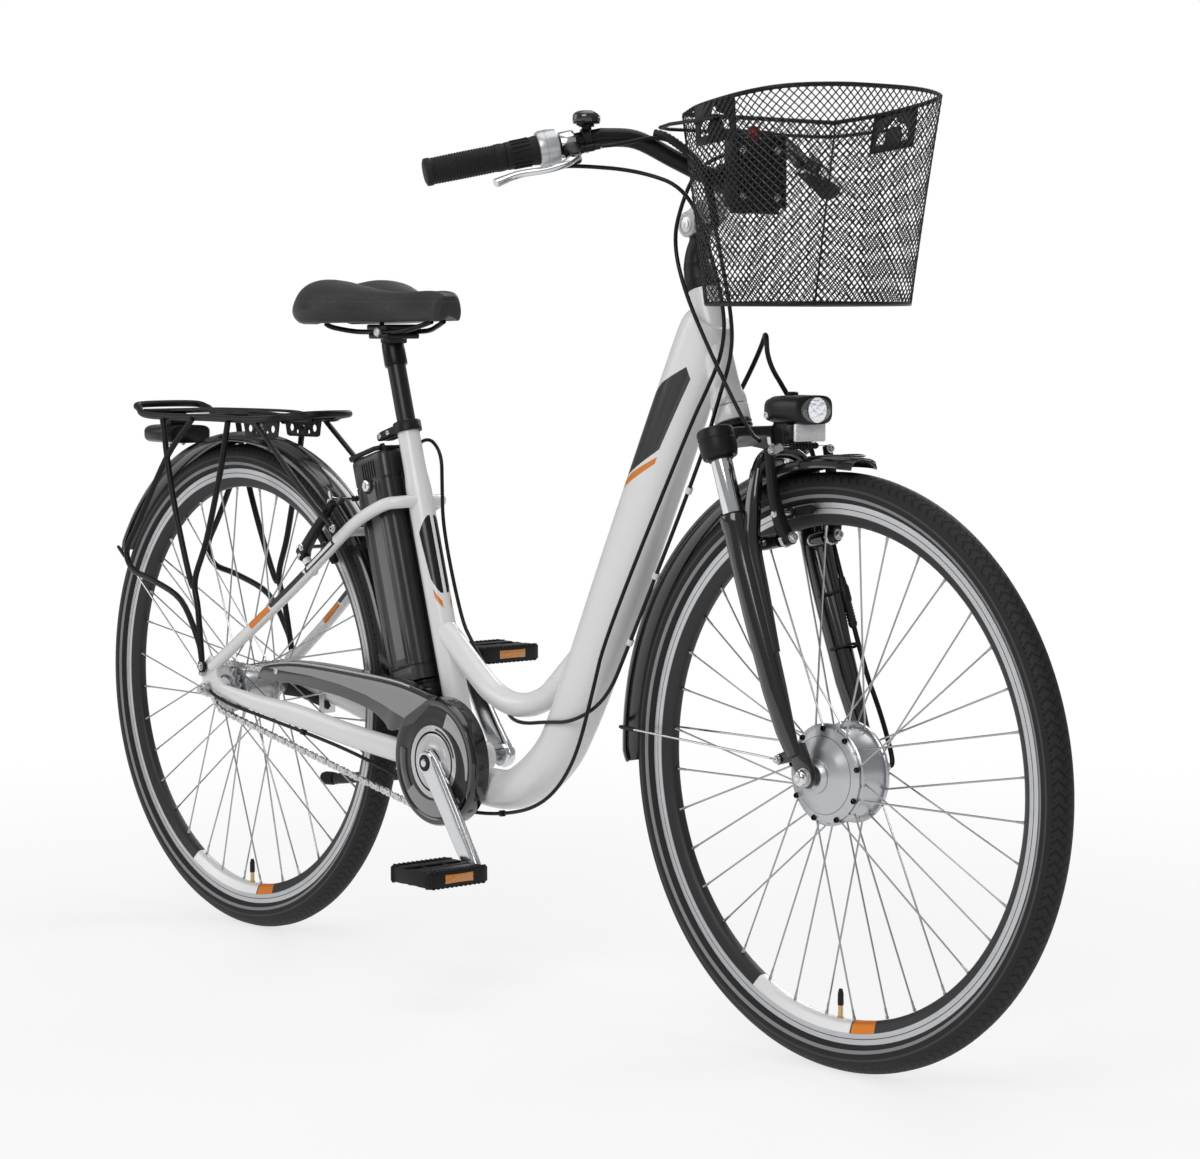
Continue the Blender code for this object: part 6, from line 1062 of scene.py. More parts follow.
# In this table the light grey wedges are painted highlights on the disc, and the black slot is painted shade
# inside an opening of the bright ring.
FACES = (
    ("guard_bright_ring", -180, 180, 0.0412, 0.0412, 0.0488, 0.0488, -0.0572, guard_ring_metal),
    ("guard_slot", 12, 84, 0.0425, 0.0425, 0.0458, 0.0458, -0.0576, guard_gloss),
    ("guard_light_wedge", 66, -14, 0.0520, 0.0700, 0.0735, 0.0738, -0.0573, guard_highlight_paint),
    ("guard_low_wedge", -40, -66, 0.0660, 0.0500, 0.0735, 0.0735, -0.0573, guard_highlight_paint),
    ("guard_low_sector", -70, -142, 0.0500, 0.0560, 0.0735, 0.0735, -0.0573, guard_grey),
    ("guard_rear_sector", 168, 232, 0.0610, 0.0610, 0.0735, 0.0735, -0.0571, guard_gloss),
)
for name, start, last, inner, inner_last, outer, outer_last, front, finish in FACES:
    shares = [k / 32 for k in range(33)]
    face = [(start + (last - start) * share, outer + (outer_last - outer) * share) for share in shares]
    face += [(start + (last - start) * share,
        inner + (inner_last - inner) * share) for share in reversed(shares)]
    flat = side_view([BRACKET + ray(math.radians(degrees)) * radius for degrees, radius in face])
    parts.append(painted(plate(name, flat, front, -0.0560, 0.0002), finish))
for degrees in range(0, 360, 15):
    around = math.radians(degrees)
    slot_place = BRACKET + ray(around) * 0.0847 + SIDEWAYS * -0.0430
    notch = swept("guard_notch", [slot_place - SIDEWAYS * 0.004, slot_place + SIDEWAYS * 0.004], 0.0042,
        0.0014, 8, across=Vector((-math.sin(around), 0, math.cos(around))), power=4)
    parts.append(painted(notch, guard_satin))
parts.append(screw("guard_screw", at(0.1490, -0.0570, 0.3890), -SIDEWAYS, 0.0045, 0.0020, screw_steel))
fitted(joined("chain_guard_moulding", parts), "bike", "guard_plastic", "chain_guard")


# Headset: a lower cup pressed in the head tube's foot and painted with the frame, over the black crown
# of the fork. A black rubber ring seals its rim.
cup = painted(turned("headset_cup", [
    (0.0165, 0.4440), (0.0212, 0.4440), (0.0222, 0.4450), (0.0222, 0.4625), (0.0216, 0.4632),
    (0.0165, 0.4632),
], steer(0, 0, 0), STEER_LINE, 64, ring=True, bevel=0.0003), frame_paint)
seal = painted(turned("headset_seal", [
    (0.0165, 0.4350), (0.0214, 0.4350), (0.0224, 0.4358), (0.0226, 0.4375), (0.0218, 0.4388),
    (0.0218, 0.4402),
    (0.0226, 0.4415), (0.0224, 0.4434), (0.0165, 0.4440),
], steer(0, 0, 0), STEER_LINE, 64, ring=True, bevel=0.0002), black_plastic)
fitted(joined("lower_headset_cup_and_seal", [cup, seal]), "bike", "chrome", "lower_headset_cup")

# Fork crown: a black forged bridge with a flared rubber-lipped barrel at each end, that holds the two
# chromed stanchions; they slide in the lower legs.
crown_black = drifting("crown_black", (0.010, 0.010, 0.011), 0.42, grain=520.0, depth=0.06)
bridge_rings = []
for out, front, rear, foot, top in (
    (-0.0590, 0.0430, 0.0130, 0.4010, 0.4245), (-0.0440, 0.0400, 0.0020, 0.4060, 0.4265),
    (-0.0300, 0.0370, -0.0110, 0.4155, 0.4285), (-0.0120, 0.0370, -0.0170, 0.4160, 0.4285),
    (0.0120, 0.0370, -0.0170, 0.4160, 0.4285), (0.0300, 0.0370, -0.0110, 0.4155, 0.4285),
    (0.0440, 0.0400, 0.0020, 0.4060, 0.4265), (0.0590, 0.0430, 0.0130, 0.4010, 0.4245),
):
    bridge_rings.append([steer(front, out, foot), steer(front, out, top), steer(rear, out, top),
                         steer(rear, out, foot)])
crown_parts = [painted(shaded(lofted("crown_bridge", bridge_rings), 0.003, 3), crown_black)]
crown_parts.append(painted(turned("crown_race", [
    (0.0190, 0.4160), (0.0190, 0.4290), (0.0172, 0.4320), (0.0172, 0.4342), (0.0140, 0.4344),
    (0.0140, 0.6300),
], steer(0, 0, 0), STEER_LINE, 48), crown_black))
for side in (RIGHT, LEFT):
    foot = steer(0.028, side * 0.060, 0)
    crown_parts.append(painted(turned("crown_barrel", [
        (0.0150, 0.3925), (0.0196, 0.3920), (0.0206, 0.3930), (0.0220, 0.3990), (0.0225, 0.4080),
        (0.0225, 0.4130),
        (0.0217, 0.4140), (0.0217, 0.4150), (0.0225, 0.4160), (0.0225, 0.4235), (0.0215, 0.4265),
        (0.0185, 0.4285), (0.0100, 0.4290), (0.0092, 0.4280), (0.0070, 0.4280),
    ], foot, STEER_LINE, 64), crown_black))
    crown_parts.append(painted(turned("stanchion", [(0.0125, 0.2625), (0.0127, 0.2630), (0.0127, 0.4000)],
                                      foot, STEER_LINE, 48), chrome))
    crown_parts.append(painted(turned("stanchion_seal", [
        (0.0127, 0.3890), (0.0148, 0.3890), (0.0152, 0.3925), (0.0127, 0.3925)], foot, STEER_LINE, 40),
        crown_black))
fitted(joined("fork_crown_and_stanchions", crown_parts), "fork_upper", "black_metal", "fork_crown")

# Lower legs: cast magnesium under thick gloss black. Each leg is a tapered tube with a web on its front
# edge that grows into the brake arch over the wheel, and ends in an axle tab.
leg_gloss = drifting("leg_gloss_black", (0.006, 0.006, 0.007), 0.13, grain=240.0, depth=0.015, coat=0.7)
LEG = (
    (0.0280, 0.3210, 0.0172, 0.0172), (0.0280, 0.3185, 0.0178, 0.0178), (0.0280, 0.3110, 0.0178, 0.0178),
    (0.0280, 0.3020, 0.0166, 0.0166), (0.0280, 0.2600, 0.0165, 0.0166), (0.0280, 0.2000, 0.0160, 0.0165),
    (0.0290, 0.1100, 0.0135, 0.0160), (0.0310, 0.0600, 0.0085, 0.0145), (0.0350, 0.0280, 0.0045, 0.0110),
)
WEB = (
    (0.0420, 0.1500, 0.0048, 0.0070), (0.0435, 0.2200, 0.0068, 0.0090), (0.0450, 0.2800, 0.0080, 0.0105),
    (0.0530, 0.3150, 0.0078, 0.0105), (0.0610, 0.3430, 0.0070, 0.0095), (0.0650, 0.3650, 0.0066, 0.0085),
)
TAB = ((0.024, 0.050), (0.052, 0.040), (0.058, 0.008), (0.055, -0.008), (0.045, -0.014), (0.035, -0.009),
       (0.031, 0.004))
FRONT_POST = at(1.165, 0.037, 0.625)
front_out = (FRONT_POST - FRONT_AXLE - SIDEWAYS * 0.037).normalized()
front_ahead = Vector((front_out.z, 0, -front_out.x))
leg_parts = []
for side in (RIGHT, LEFT):
    leg_parts.append(swept("leg", [steer(forward, side * 0.060, up) for forward, up, wide, deep in LEG],
                           [row[2] for row in LEG], [row[3] for row in LEG], 40))
    web_out = (0.0585, 0.0580, 0.0575, 0.0540, 0.0500, 0.0420)
    leg_parts.append(swept("leg_web", rounded([
        steer(forward, side * out, up) for (forward, up, wide, deep), out in zip(WEB, web_out)], 4),
        eased([row[2] for row in WEB], 4), eased([row[3] for row in WEB], 4), 28, power=2.6))
    tab = side_view([steer(forward, 0, up) for forward, up in TAB])
    leg_parts.append(plate("axle_tab", tab, side * 0.0524, side * 0.0602, 0.0016))
    ear = side_view([steer(forward, 0, up) for forward, up in (
        (0.005, 0.024), (0.032, 0.022), (0.032, 0.038), (0.005, 0.036))])
    leg_parts.append(plate("stay_ear", ear, side * 0.0563, side * 0.0603, 0.0010))
    post = mirrored(FRONT_POST, side)
    leg_parts.append(swept("brake_boss", rounded([
        post - front_ahead * 0.052 + SIDEWAYS * side * 0.019,
        post - front_ahead * 0.040 + SIDEWAYS * side * 0.008,
        post - front_ahead * 0.028, post - front_ahead * 0.0105], 4), 0.0085, sides=24))
    leg_parts.append(rod("brake_post", post - front_ahead * 0.016, post + front_ahead * 0.007, 0.0045, 20))
arch_half = ((0.0640, 0.0440, 0.3600), (0.0660, 0.0320, 0.3760), (0.0660, 0.0160, 0.3845),
    (0.0660, 0, 0.3862))
arch_line = [steer(forward, side * out, up) for side,
    run in ((RIGHT, arch_half), (LEFT, arch_half[-2::-1]))
             for forward, out, up in run]
leg_parts.append(swept("brake_arch", rounded(arch_line, 5), 0.0062, 0.0082, 28, STEER_FRONT, 2.6))
for piece in leg_parts:
    painted(piece, leg_gloss)
for side in (RIGHT, LEFT):
    foot = steer(0.028, side * 0.060, 0)
    leg_parts.append(painted(turned("dust_seal", [
        (0.0129, 0.3190), (0.0168, 0.3190), (0.0166, 0.3222), (0.0150, 0.3236), (0.0129, 0.3238)],
        foot, STEER_LINE, 48, ring=True), crown_black))
fitted(joined("fork_lower_legs_and_arch", leg_parts), "fork_lowers", "black_metal", "fork_lower_legs")

# Rim brakes: forged black arms that turn on the posts, each with a return spring, a silver pivot bolt and
# a rubber pad on a threaded stud with domed washers.
arm_black = drifting("arm_black", (0.012, 0.012, 0.013), 0.30, 0.2, grain=380.0, depth=0.04)
pad_rubber = drifting("pad_rubber", (0.010, 0.010, 0.010), 0.62, grain=800.0, depth=0.12)


PAD_RADIUS = 0.3085


def brake_arm(name, post, axle, outwards, ahead, side, top_out):
    """One arm with its pad, spring and bolts, from its post to its cable end."""
    middle = post + ahead * 0.001
    lean = SIDEWAYS * side * (top_out - abs(post.y))
    reach = (Vector((post.x - axle.x, 0, post.z - axle.z))).length
    pad_spot = middle + outwards * (PAD_RADIUS - reach)
    route = rounded([middle, middle + outwards * 0.020 + lean * 0.7,
        middle + outwards * 0.052 + lean * 1.1,
                     middle + outwards * 0.082 + lean * 1.05, middle + outwards * 0.1075 + lean], 4)
    wide = [0.0085 - 0.0036 * min(1, i / (len(route) - 1) * 1.2) for i in range(len(route))]
    deep = [0.0076 - 0.0030 * i / (len(route) - 1) for i in range(len(route))]
    parts = [painted(swept("arm_bar", route, wide, deep, 16, SIDEWAYS, 4.0), arm_black)]
    parts.append(painted(turned("arm_hub", [(0.0066, -0.0085), (0.0078, -0.0078), (0.0078, -0.0030),
        (0.0070, -0.0024), (0.0070, -0.0010), (0.0082, -0.0004), (0.0082, 0.0080), (0.0074, 0.0088)],
                                middle, ahead, 32), arm_black))
    parts.append(painted(turned("arm_washer", [(0.0068, 0.0088), (0.0068, 0.0098), (0.0050, 0.0100)],
                                middle, ahead, 28), plated))
    parts.append(screw("arm_bolt", middle + ahead * 0.0098, ahead, 0.0048, 0.0045, screw_steel, 0.5))
    coil = []
    for step in range(29):
        around = math.pi * step / 4
        coil.append(middle - ahead * (0.0055 - 0.0002 * step) + outwards * math.cos(around) * 0.0094
                    + SIDEWAYS * math.sin(around) * 0.0094)
    coil += [middle - ahead * 0.001 + outwards * 0.022 + lean * 0.4 - SIDEWAYS * side * 0.005,
             middle - ahead * 0.001 + outwards * 0.045 + lean * 0.8 - SIDEWAYS * side * 0.004]
    parts.append(painted(swept("return_spring", coil, 0.0009, sides=8), plated))
    grip_line = SIDEWAYS * side
    stud = Vector((pad_spot.x, side * 0.0190, pad_spot.z))
    arm_y = abs((pad_spot + lean * 0.75).y)
    parts.append(painted(turned("pad_stud", [(0.0028, 0), (0.0028, arm_y + 0.010 - 0.0190)], stud,
        grip_line, 16), plated))
    for start, radius, finish in ((0.0070, 0.0062, plated), (0.0098, 0.0066, arm_black)):
        parts.append(painted(turned("pad_washer", [(radius * 0.75, 0), (radius, 0.0008), (radius, 0.0018),
                                                   (radius * 0.7, 0.0026)],
                                                   stud + grip_line * (start - 0.004),
                                    grip_line, 24), finish))
    nut_at = stud + grip_line * (arm_y + 0.0045 - 0.0190)
    parts.append(painted(turned("pad_nut", [(0.0052, 0), (0.0052, 0.0040)], nut_at, grip_line, 6,
        bevel=0.0004), screw_steel))
    ends = [Vector((pad_spot.x, side * 0.0196, pad_spot.z)) + ahead * along
            for along in (-0.0300, -0.0270, 0.0, 0.0270, 0.0300)]
    bend = [point - outwards * abs(i - 2) ** 2 * 0.00035 for i, point in enumerate(ends)]
    parts.append(painted(swept("brake_pad", bend, [0.0040, 0.0046, 0.0047, 0.0046, 0.0040],
                               [0.0046, 0.0056, 0.0058, 0.0056, 0.0046], 16, SIDEWAYS, 4.0), pad_rubber))
    tip = middle + outwards * 0.1035 + lean
    parts.append(painted(turned("cable_anchor",
        [(0.0050, -0.0055), (0.0054, -0.0050), (0.0054, -0.0040), (0.0040, -0.0036)],
                                tip + ahead * 0.0095, ahead, 20), plated))
    parts.append(screw("anchor_bolt", tip + ahead * 0.0050, ahead, 0.0040, 0.0035, screw_steel, 0.5))
    return joined(name, parts)


for word, side in (("right", RIGHT), ("left", LEFT)):
    front_arm = brake_arm(f"front_{word}_arm_and_pad", mirrored(FRONT_POST, side), FRONT_AXLE, front_out,
                          front_ahead, side, 0.048)
    fitted(front_arm, f"front_{word}_brake", "brake_aluminium", f"front_brake_arm_{word}")
    rear_arm = brake_arm(f"rear_{word}_arm_and_pad", mirrored(REAR_POST, side), REAR_AXLE, rear_out,
        rear_ahead, side, 0.056)
    fitted(rear_arm, f"rear_{word}_brake", "brake_aluminium", f"rear_brake_arm_{word}")

# Brake links: a polished bent tube leads each cable in over the tyre to the far arm, and a ribbed black
# rubber boot covers the bare wire between the arms.
boot_rubber = drifting("boot_rubber", (0.014, 0.014, 0.014), 0.55, grain=700.0, depth=0.1)


def brake_link(name, arms, bodies):
    """The bent tube from the left arm's head with its boot, on the parts that both arms hang from."""
    right_tip, left_tip = arms
    span = left_tip - right_tip
    lift = Vector((0, 0, 0.004))
    tube = rounded([right_tip + Vector((0, -0.004, 0.016)), right_tip + Vector((0, -0.001, 0.007)),
                    right_tip + span * 0.10 + lift, right_tip + span * 0.30 + lift], 5)
    noodle = painted(swept("noodle", tube, 0.0023, sides=16), polished)
    boot_start, boot_end = right_tip + span * 0.31 + lift, right_tip + span * 0.80 + lift
    length = (boot_end - boot_start).length
    ribs = [(0.0030, 0.0)]
    for k in range(9):
        ribs += [(0.0042, (k + 0.35) * length / 9), (0.0031, (k + 0.95) * length / 9)]
    boot = painted(turned("boot", ribs, boot_start, span, 20), boot_rubber)
    wire = painted(rod("inner_wire", boot_start, left_tip + lift, 0.0009, 8), plated)
    holder = painted(swept("noodle_holder", [right_tip + span * 0.02 + lift - Vector((0, 0, 0.006)),
                                             right_tip + span * 0.16 + lift], 0.0035, 0.0052, 12,
                                             STEER_FRONT, 4.0),
                     polished)
    return fitted(joined(name, [noodle, boot, wire, holder]), bodies, "steel")


front_tips = [mirrored(FRONT_POST, side) + front_ahead * 0.004 + front_out * 0.104
              + SIDEWAYS * side * 0.010 for side in (RIGHT, LEFT)]
rear_tips = [mirrored(REAR_POST, side) + rear_ahead * 0.004 + rear_out * 0.104
             + SIDEWAYS * side * 0.003 for side in (RIGHT, LEFT)]
brake_link("front_brake_link", front_tips, "fork_lowers")
brake_link("rear_brake_link", rear_tips, "bike")

# Mudguards: gloss black moulded strips, arched across with a rolled edge and a shallow rib on each side,
# held by bright wire stays in black end sleeves.
guard_black = drifting("mudguard_black", (0.008, 0.008, 0.009), 0.20, grain=300.0, depth=0.02, coat=0.4)


GUARD_RADIUS = 0.366


def mudguard(axle, first, last, stay_foot, stay_angle):
    """An arched strip from one angle round the wheel to another, with its stays and their clips."""
    section = ((-0.0270, -0.0085), (-0.0258, -0.0055), (-0.0222, 0.0), (-0.0160, 0.0024),
        (-0.0145, 0.0018),
               (-0.0120, 0.0033), (0, 0.0042), (0.0120, 0.0033), (0.0145, 0.0018), (0.0160, 0.0024),
               (0.0222, 0.0), (0.0258, -0.0055), (0.0270, -0.0085))
    rings = []
    steps = 90
    for i in range(steps + 1):
        angle = math.radians(first + (last - first) * i / steps)
        share = min(i, steps - i) / steps
        pull = 1.0 if share > 0.02 else 0.80 + 10 * share
        outward = ray(angle)
        outer = [axle + outward * (GUARD_RADIUS + lift) + SIDEWAYS * out * pull for out, lift in section]
        inner = [axle + outward * (GUARD_RADIUS + lift - 0.0013) + SIDEWAYS * out * pull * 0.965
                 for out, lift in reversed(section)]
        rings.append(outer + inner)
    parts = [painted(shaded(lofted("guard_strip", rings), angle=50), guard_black)]
    outward = ray(math.radians(stay_angle))
    for side in (RIGHT, LEFT):
        foot = mirrored(stay_foot, side)
        edge = axle + outward * 0.3605 + SIDEWAYS * side * 0.0272
        way = (edge - foot).normalized()
        bent = rounded([foot, foot + way * 0.012 + SIDEWAYS * side * 0.0006, foot + way * 0.03,
            edge - way * 0.02, edge], 2)
        parts.append(painted(swept("guard_stay", bent, 0.0014, sides=12), polished))
        parts.append(painted(turned("stay_sleeve",
            [(0.0024, 0), (0.0027, 0.002), (0.0027, 0.026), (0.0018, 0.030)],
                                    edge - way * 0.024, way, 16), black_plastic))
        parts.append(painted(turned("stay_eye", [(0.0016, -0.0012), (0.0052, -0.0012), (0.0052, 0.0012),
                                                 (0.0016, 0.0012)], foot, SIDEWAYS, 24, ring=True),
                                                 plated))
        parts.append(screw("stay_screw", foot + SIDEWAYS * side * 0.0010, SIDEWAYS * side, 0.0042, 0.0030,
                           screw_steel, 0.5))
    return parts


front_guard = mudguard(FRONT_AXLE, 84.5, 183.5, steer(0.010, 0.0630, 0.030), 176.5)
lug = side_view([steer(forward, 0, up) for forward, up in (
    (0.0620, 0.362), (0.0620, 0.3790), (0.0600, 0.3790), (0.0600, 0.362))])
front_guard.append(painted(plate("guard_lug", lug, -0.008, 0.008), plated))
front_guard.append(painted(swept("guard_tip_wire", rounded([
    FRONT_AXLE + ray(math.radians(degrees)) * radius + SIDEWAYS * out
    for degrees, out, radius in ((97, -0.012, 0.3705), (90, -0.016, 0.3712), (86.5, -0.012, 0.3716),
        (85.4, 0.0, 0.3720), (86.5, 0.012, 0.3716), (90, 0.016, 0.3712), (97, 0.012, 0.3705))], 4),
                           0.0012, sides=10),
    guard_black))
fitted(joined("front_mudguard_and_stays", front_guard), "fork_lowers", "mudguard_plastic",
    "front_mudguard")
rear_guard = mudguard(REAR_AXLE, 8, 150.5, at(-0.0115, 0.0760, 0.375), 149)
fitted(joined("rear_mudguard_and_stays", rear_guard), "bike", "mudguard_plastic", "rear_mudguard")

# Headlight: a black moulded housing on a steel bracket from the arch. A clear faceted reflector shows
# through the front window, over a separate prismatic reflector tile.
lamp_black = drifting("lamp_black", (0.010, 0.010, 0.011), 0.30, grain=900.0, depth=0.05)
clear_prism = Finish(bpy.data.materials.new("clear_prism"))
prism_where = clear_prism.axes()
across_lines = (prism_where[1] * 2200.0).sine()
up_lines = (prism_where[2] * 2200.0).sine()
cells = across_lines * up_lines
clear_prism.set(Base_Color=clear_prism.mix(cells * 0.5 + 0.5, (0.62, 0.63, 0.65), (0.92, 0.93, 0.95)),
                Roughness=cells * 0.08 + 0.16, Metallic=0.35, Coat_Weight=0.8)
clear_prism.bump(cells, 0.6, 0.0008)
mirror_bowl = drifting("mirror_bowl", (0.86, 0.87, 0.90), 0.08, 1.0, grain=160.0, depth=0.1, mottle=0.02)
lens = drifting("clear_lens", (0.92, 0.94, 0.96), 0.05, grain=300.0, depth=0.03, mottle=0.01, coat=1.0)
lens.set(Transmission_Weight=0.92, IOR=1.45)


def lamp_ring(forward, half, middle, deep, across_power):
    """A squarish ring of points across the bike, this far forward, about the height of its middle."""
    ring = []
    for k in range(40):
        across, up = squared(2 * math.pi * (k + 0.5) / 40, across_power, 0.6)
        ring.append(at(forward, across * half, middle + up * deep))
    return ring


shell_rings = [lamp_ring(x, half, (low + high) / 2, (high - low) / 2, 0.55) for x, half, low, high in (
    (1.1025, 0.0130, 0.7640, 0.7830), (1.1060, 0.0180, 0.7600, 0.7870), (1.1180, 0.0235, 0.7580, 0.7905),
    (1.1400, 0.0268, 0.7572, 0.7918), (1.1680, 0.0280, 0.7570, 0.7920), (1.1740, 0.0278, 0.7575, 0.7915))]
light_parts = [painted(shaded(lofted("light_shell", shell_rings), 0.0008), lamp_black)]
bowl = turned("light_bowl", [(0.0030, 0.0), (0.0100, 0.0012), (0.0138, 0.0028), (0.0148, 0.0036)],
              at(1.1742, 0, 0.7745), Vector((1, 0, 0)), 48)
light_parts.append(painted(bowl, mirror_bowl))
window = [at(1.1765, math.cos(math.pi * k / 20) * 0.0235, 0.7745 + math.sin(math.pi * k / 20) * 0.0150)
          for k in range(40)]
window_back = [point - Vector((0.0028, 0, 0)) for point in window]
light_parts.append(painted(shaded(lofted("light_window", [window_back, window]), 0.0006), lens))
light_parts.append(painted(block("front_prism", at(1.1620, -0.0245, 0.7372), at(1.1672, 0.0245, 0.7590),
    0.0020), clear_prism))
light_parts.append(painted(block("prism_back", at(1.1440, -0.0220, 0.7400), at(1.1622, 0.0220, 0.7580),
    0.0030), lamp_black))
light_parts.append(painted(block("light_seam", at(1.1200, -0.0272, 0.7738), at(1.1660, 0.0272, 0.7752),
    0.0004), black_plastic))
light_parts.append(painted(swept("light_bracket",
    rounded([steer(0.066, 0, 0.3950), steer(0.070, 0, 0.4150),
                                                          at(1.112, 0, 0.755), at(1.118, 0, 0.768)], 4),
                                 0.0095, 0.0015, 16, power=4.0), lamp_black))
light_parts.append(screw("light_screw", at(1.120, -0.0268, 0.768), -SIDEWAYS, 0.0040, 0.0025,
    screw_steel, 0.5))
light_parts.append(painted(turned("light_knob",
    [(0.0060, 0), (0.0066, 0.001), (0.0066, 0.003), (0.0050, 0.004)],
                                  at(1.136, 0, 0.7915), UP, 24), black_plastic))
fitted(joined("headlight_and_prism", light_parts), "fork_lowers", "lamp_plastic", "headlight")


# Luggage rack: black powder-coated steel tube bent into a loop, with cross tubes, perforated side plates,
# two pairs of legs down to the rear axle and struts forward to the brake bridge.
powder = drifting("powder_black", (0.007, 0.007, 0.008), 0.38, grain=560.0, depth=0.14)


def fastener(place, axis, size=0.0045):
    """A screw over a washer."""
    washer = painted(turned("washer", [(size * 1.35, 0), (size * 1.35, 0.0008), (size, 0.0012)], place,
        axis, 24), plated)
    return [washer, screw("cap_screw", Vector(place) + Vector(axis).normalized() * 0.0010, axis, size,
        size * 0.75, screw_steel, 0.55)]


LOOP = ((-0.213, 0.0450, 0.758), (-0.195, 0.0600, 0.752), (-0.165, 0.0620, 0.743),
    (-0.020, 0.0610, 0.7425), (0.119, 0.0600, 0.742), (0.160, 0.0480, 0.747), (0.205, 0.0300, 0.751))
HOOP_LEG = ((-0.045, 0.0655, 0.741), (-0.112, 0.067, 0.683), (-0.182, 0.070, 0.589),
    (-0.216, 0.072, 0.542), (-0.198, 0.073, 0.514), (-0.143, 0.075, 0.502), (-0.0635, 0.077, 0.477),
            (-0.017, 0.079, 0.423),
            (-0.007, 0.079, 0.393))
FRONT_LEG = ((0.046, 0.0655, 0.738), (0.029, 0.067, 0.670), (-0.004, 0.0705, 0.568),
    (-0.031, 0.0735, 0.508), (-0.020, 0.076, 0.4655), (-0.007, 0.0790, 0.393))
REAR_LEG = ((-0.124, 0.0655, 0.739), (-0.107, 0.067, 0.665), (-0.082, 0.0695, 0.593),
    (-0.044, 0.073, 0.5075), (-0.031, 0.074, 0.498))
STRUT = ((0.110, 0.060, 0.738), (0.130, 0.0615, 0.722), (0.240, 0.0665, 0.640), (0.3065, 0.0685, 0.598))
right_loop, left_loop = on_side(LOOP, RIGHT), on_side(reversed(LOOP), LEFT)
rack_parts = [swept("rack_loop", rounded(right_loop + left_loop, 6, closed=True), 0.0050, sides=20,
    across=UP, closed=True)]
for x, z, half in ((-0.185, 0.7485, 0.058), (-0.090, 0.7425, 0.060), (0.045, 0.7420, 0.059),
        (0.130, 0.7430, 0.056)):
    rack_parts.append(rod("cross_tube", at(x, -half, z), at(x, half, z), 0.0040, 20))
for side in (RIGHT, LEFT):
    for route in (HOOP_LEG, FRONT_LEG, REAR_LEG):
        rack_parts.append(swept("rack_leg", rounded(on_side(route, side), 5),
            0.0044, sides=18))
    rack_parts.append(swept("rack_strut", rounded(on_side(STRUT, side), 4),
        0.0040, 0.0030, 16, power=3.0))
    eye = at(-0.007, side * 0.0790, 0.385)
    rack_parts.append(turned("leg_eye", [(0.0035, -0.0022), (0.0090, -0.0022), (0.0090, 0.0022),
        (0.0035, 0.0022)], eye, SIDEWAYS, 32, ring=True, bevel=0.0004))
    outline = [(0.043, 0.7380), (0.048, 0.7180), (0.054, 0.7160), (0.122, 0.7160), (0.128, 0.7180),
        (0.132, 0.7380), (0.130, 0.7420), (0.045, 0.7420)]
    side_plate = plate("side_plate", outline, side * 0.0350, side * 0.0370, 0.0)
    holes = []
    for i in range(3):
        for x, z, radius in ((0.060 + 0.028 * i, 0.7285, 0.0052), (0.074 + 0.028 * i, 0.7230, 0.0030)):
            if x < 0.125:
                holes.append(rod("hole", at(x, side * 0.030, z), at(x, side * 0.042, z), radius, 20))
    cutter = joined("hole_cutters", holes)
    modify(side_plate, "BOOLEAN", operation="DIFFERENCE", object=cutter, solver="EXACT")
    bpy.data.objects.remove(cutter)
    rack_parts.append(shaded(side_plate, 0.0004))
rack_parts.append(block("lamp_plate", at(-0.208, -0.030, 0.7400), at(-0.170, 0.030, 0.7415), 0.0005))
rack_parts.append(block("plate_flange", at(-0.208, -0.030, 0.7400), at(-0.2065, 0.030, 0.7500), 0.0005))
spring = rounded([at(0.128, -0.020, 0.7480), at(0.060, -0.030, 0.7520), at(-0.120, -0.032, 0.7520),
                  at(-0.160, -0.024, 0.7500), at(-0.160, 0.024, 0.7500), at(-0.120, 0.032, 0.7520),
                  at(0.060, 0.030, 0.7520), at(0.128, 0.020, 0.7480)], 6)
rack_parts.append(swept("clamp_spring", spring, 0.0022, sides=12, across=UP))
for piece in rack_parts:
    painted(piece, powder)
for side in (RIGHT, LEFT):
    rack_parts += fastener(at(-0.007, side * 0.0812, 0.385), SIDEWAYS * side)
    rack_parts += fastener(at(0.3060, side * 0.0700, 0.598), SIDEWAYS * side, 0.0040)
    rack_parts += fastener(at(0.088, side * 0.0370, 0.7345), SIDEWAYS * side, 0.0030)
    ring = []
    for k in range(33):
        a = 2 * math.pi * k / 8
        ring.append(at(0.130 + math.cos(a) * 0.0062, side * (0.0205 + 0.0022 * k / 8),
            0.7430 + math.sin(a) * 0.0062))
    rack_parts.append(painted(swept("spring_coil", ring, 0.0010, sides=8), powder))
fitted(joined("luggage_rack_tubes", rack_parts), "bike", "rack_paint", "rack")

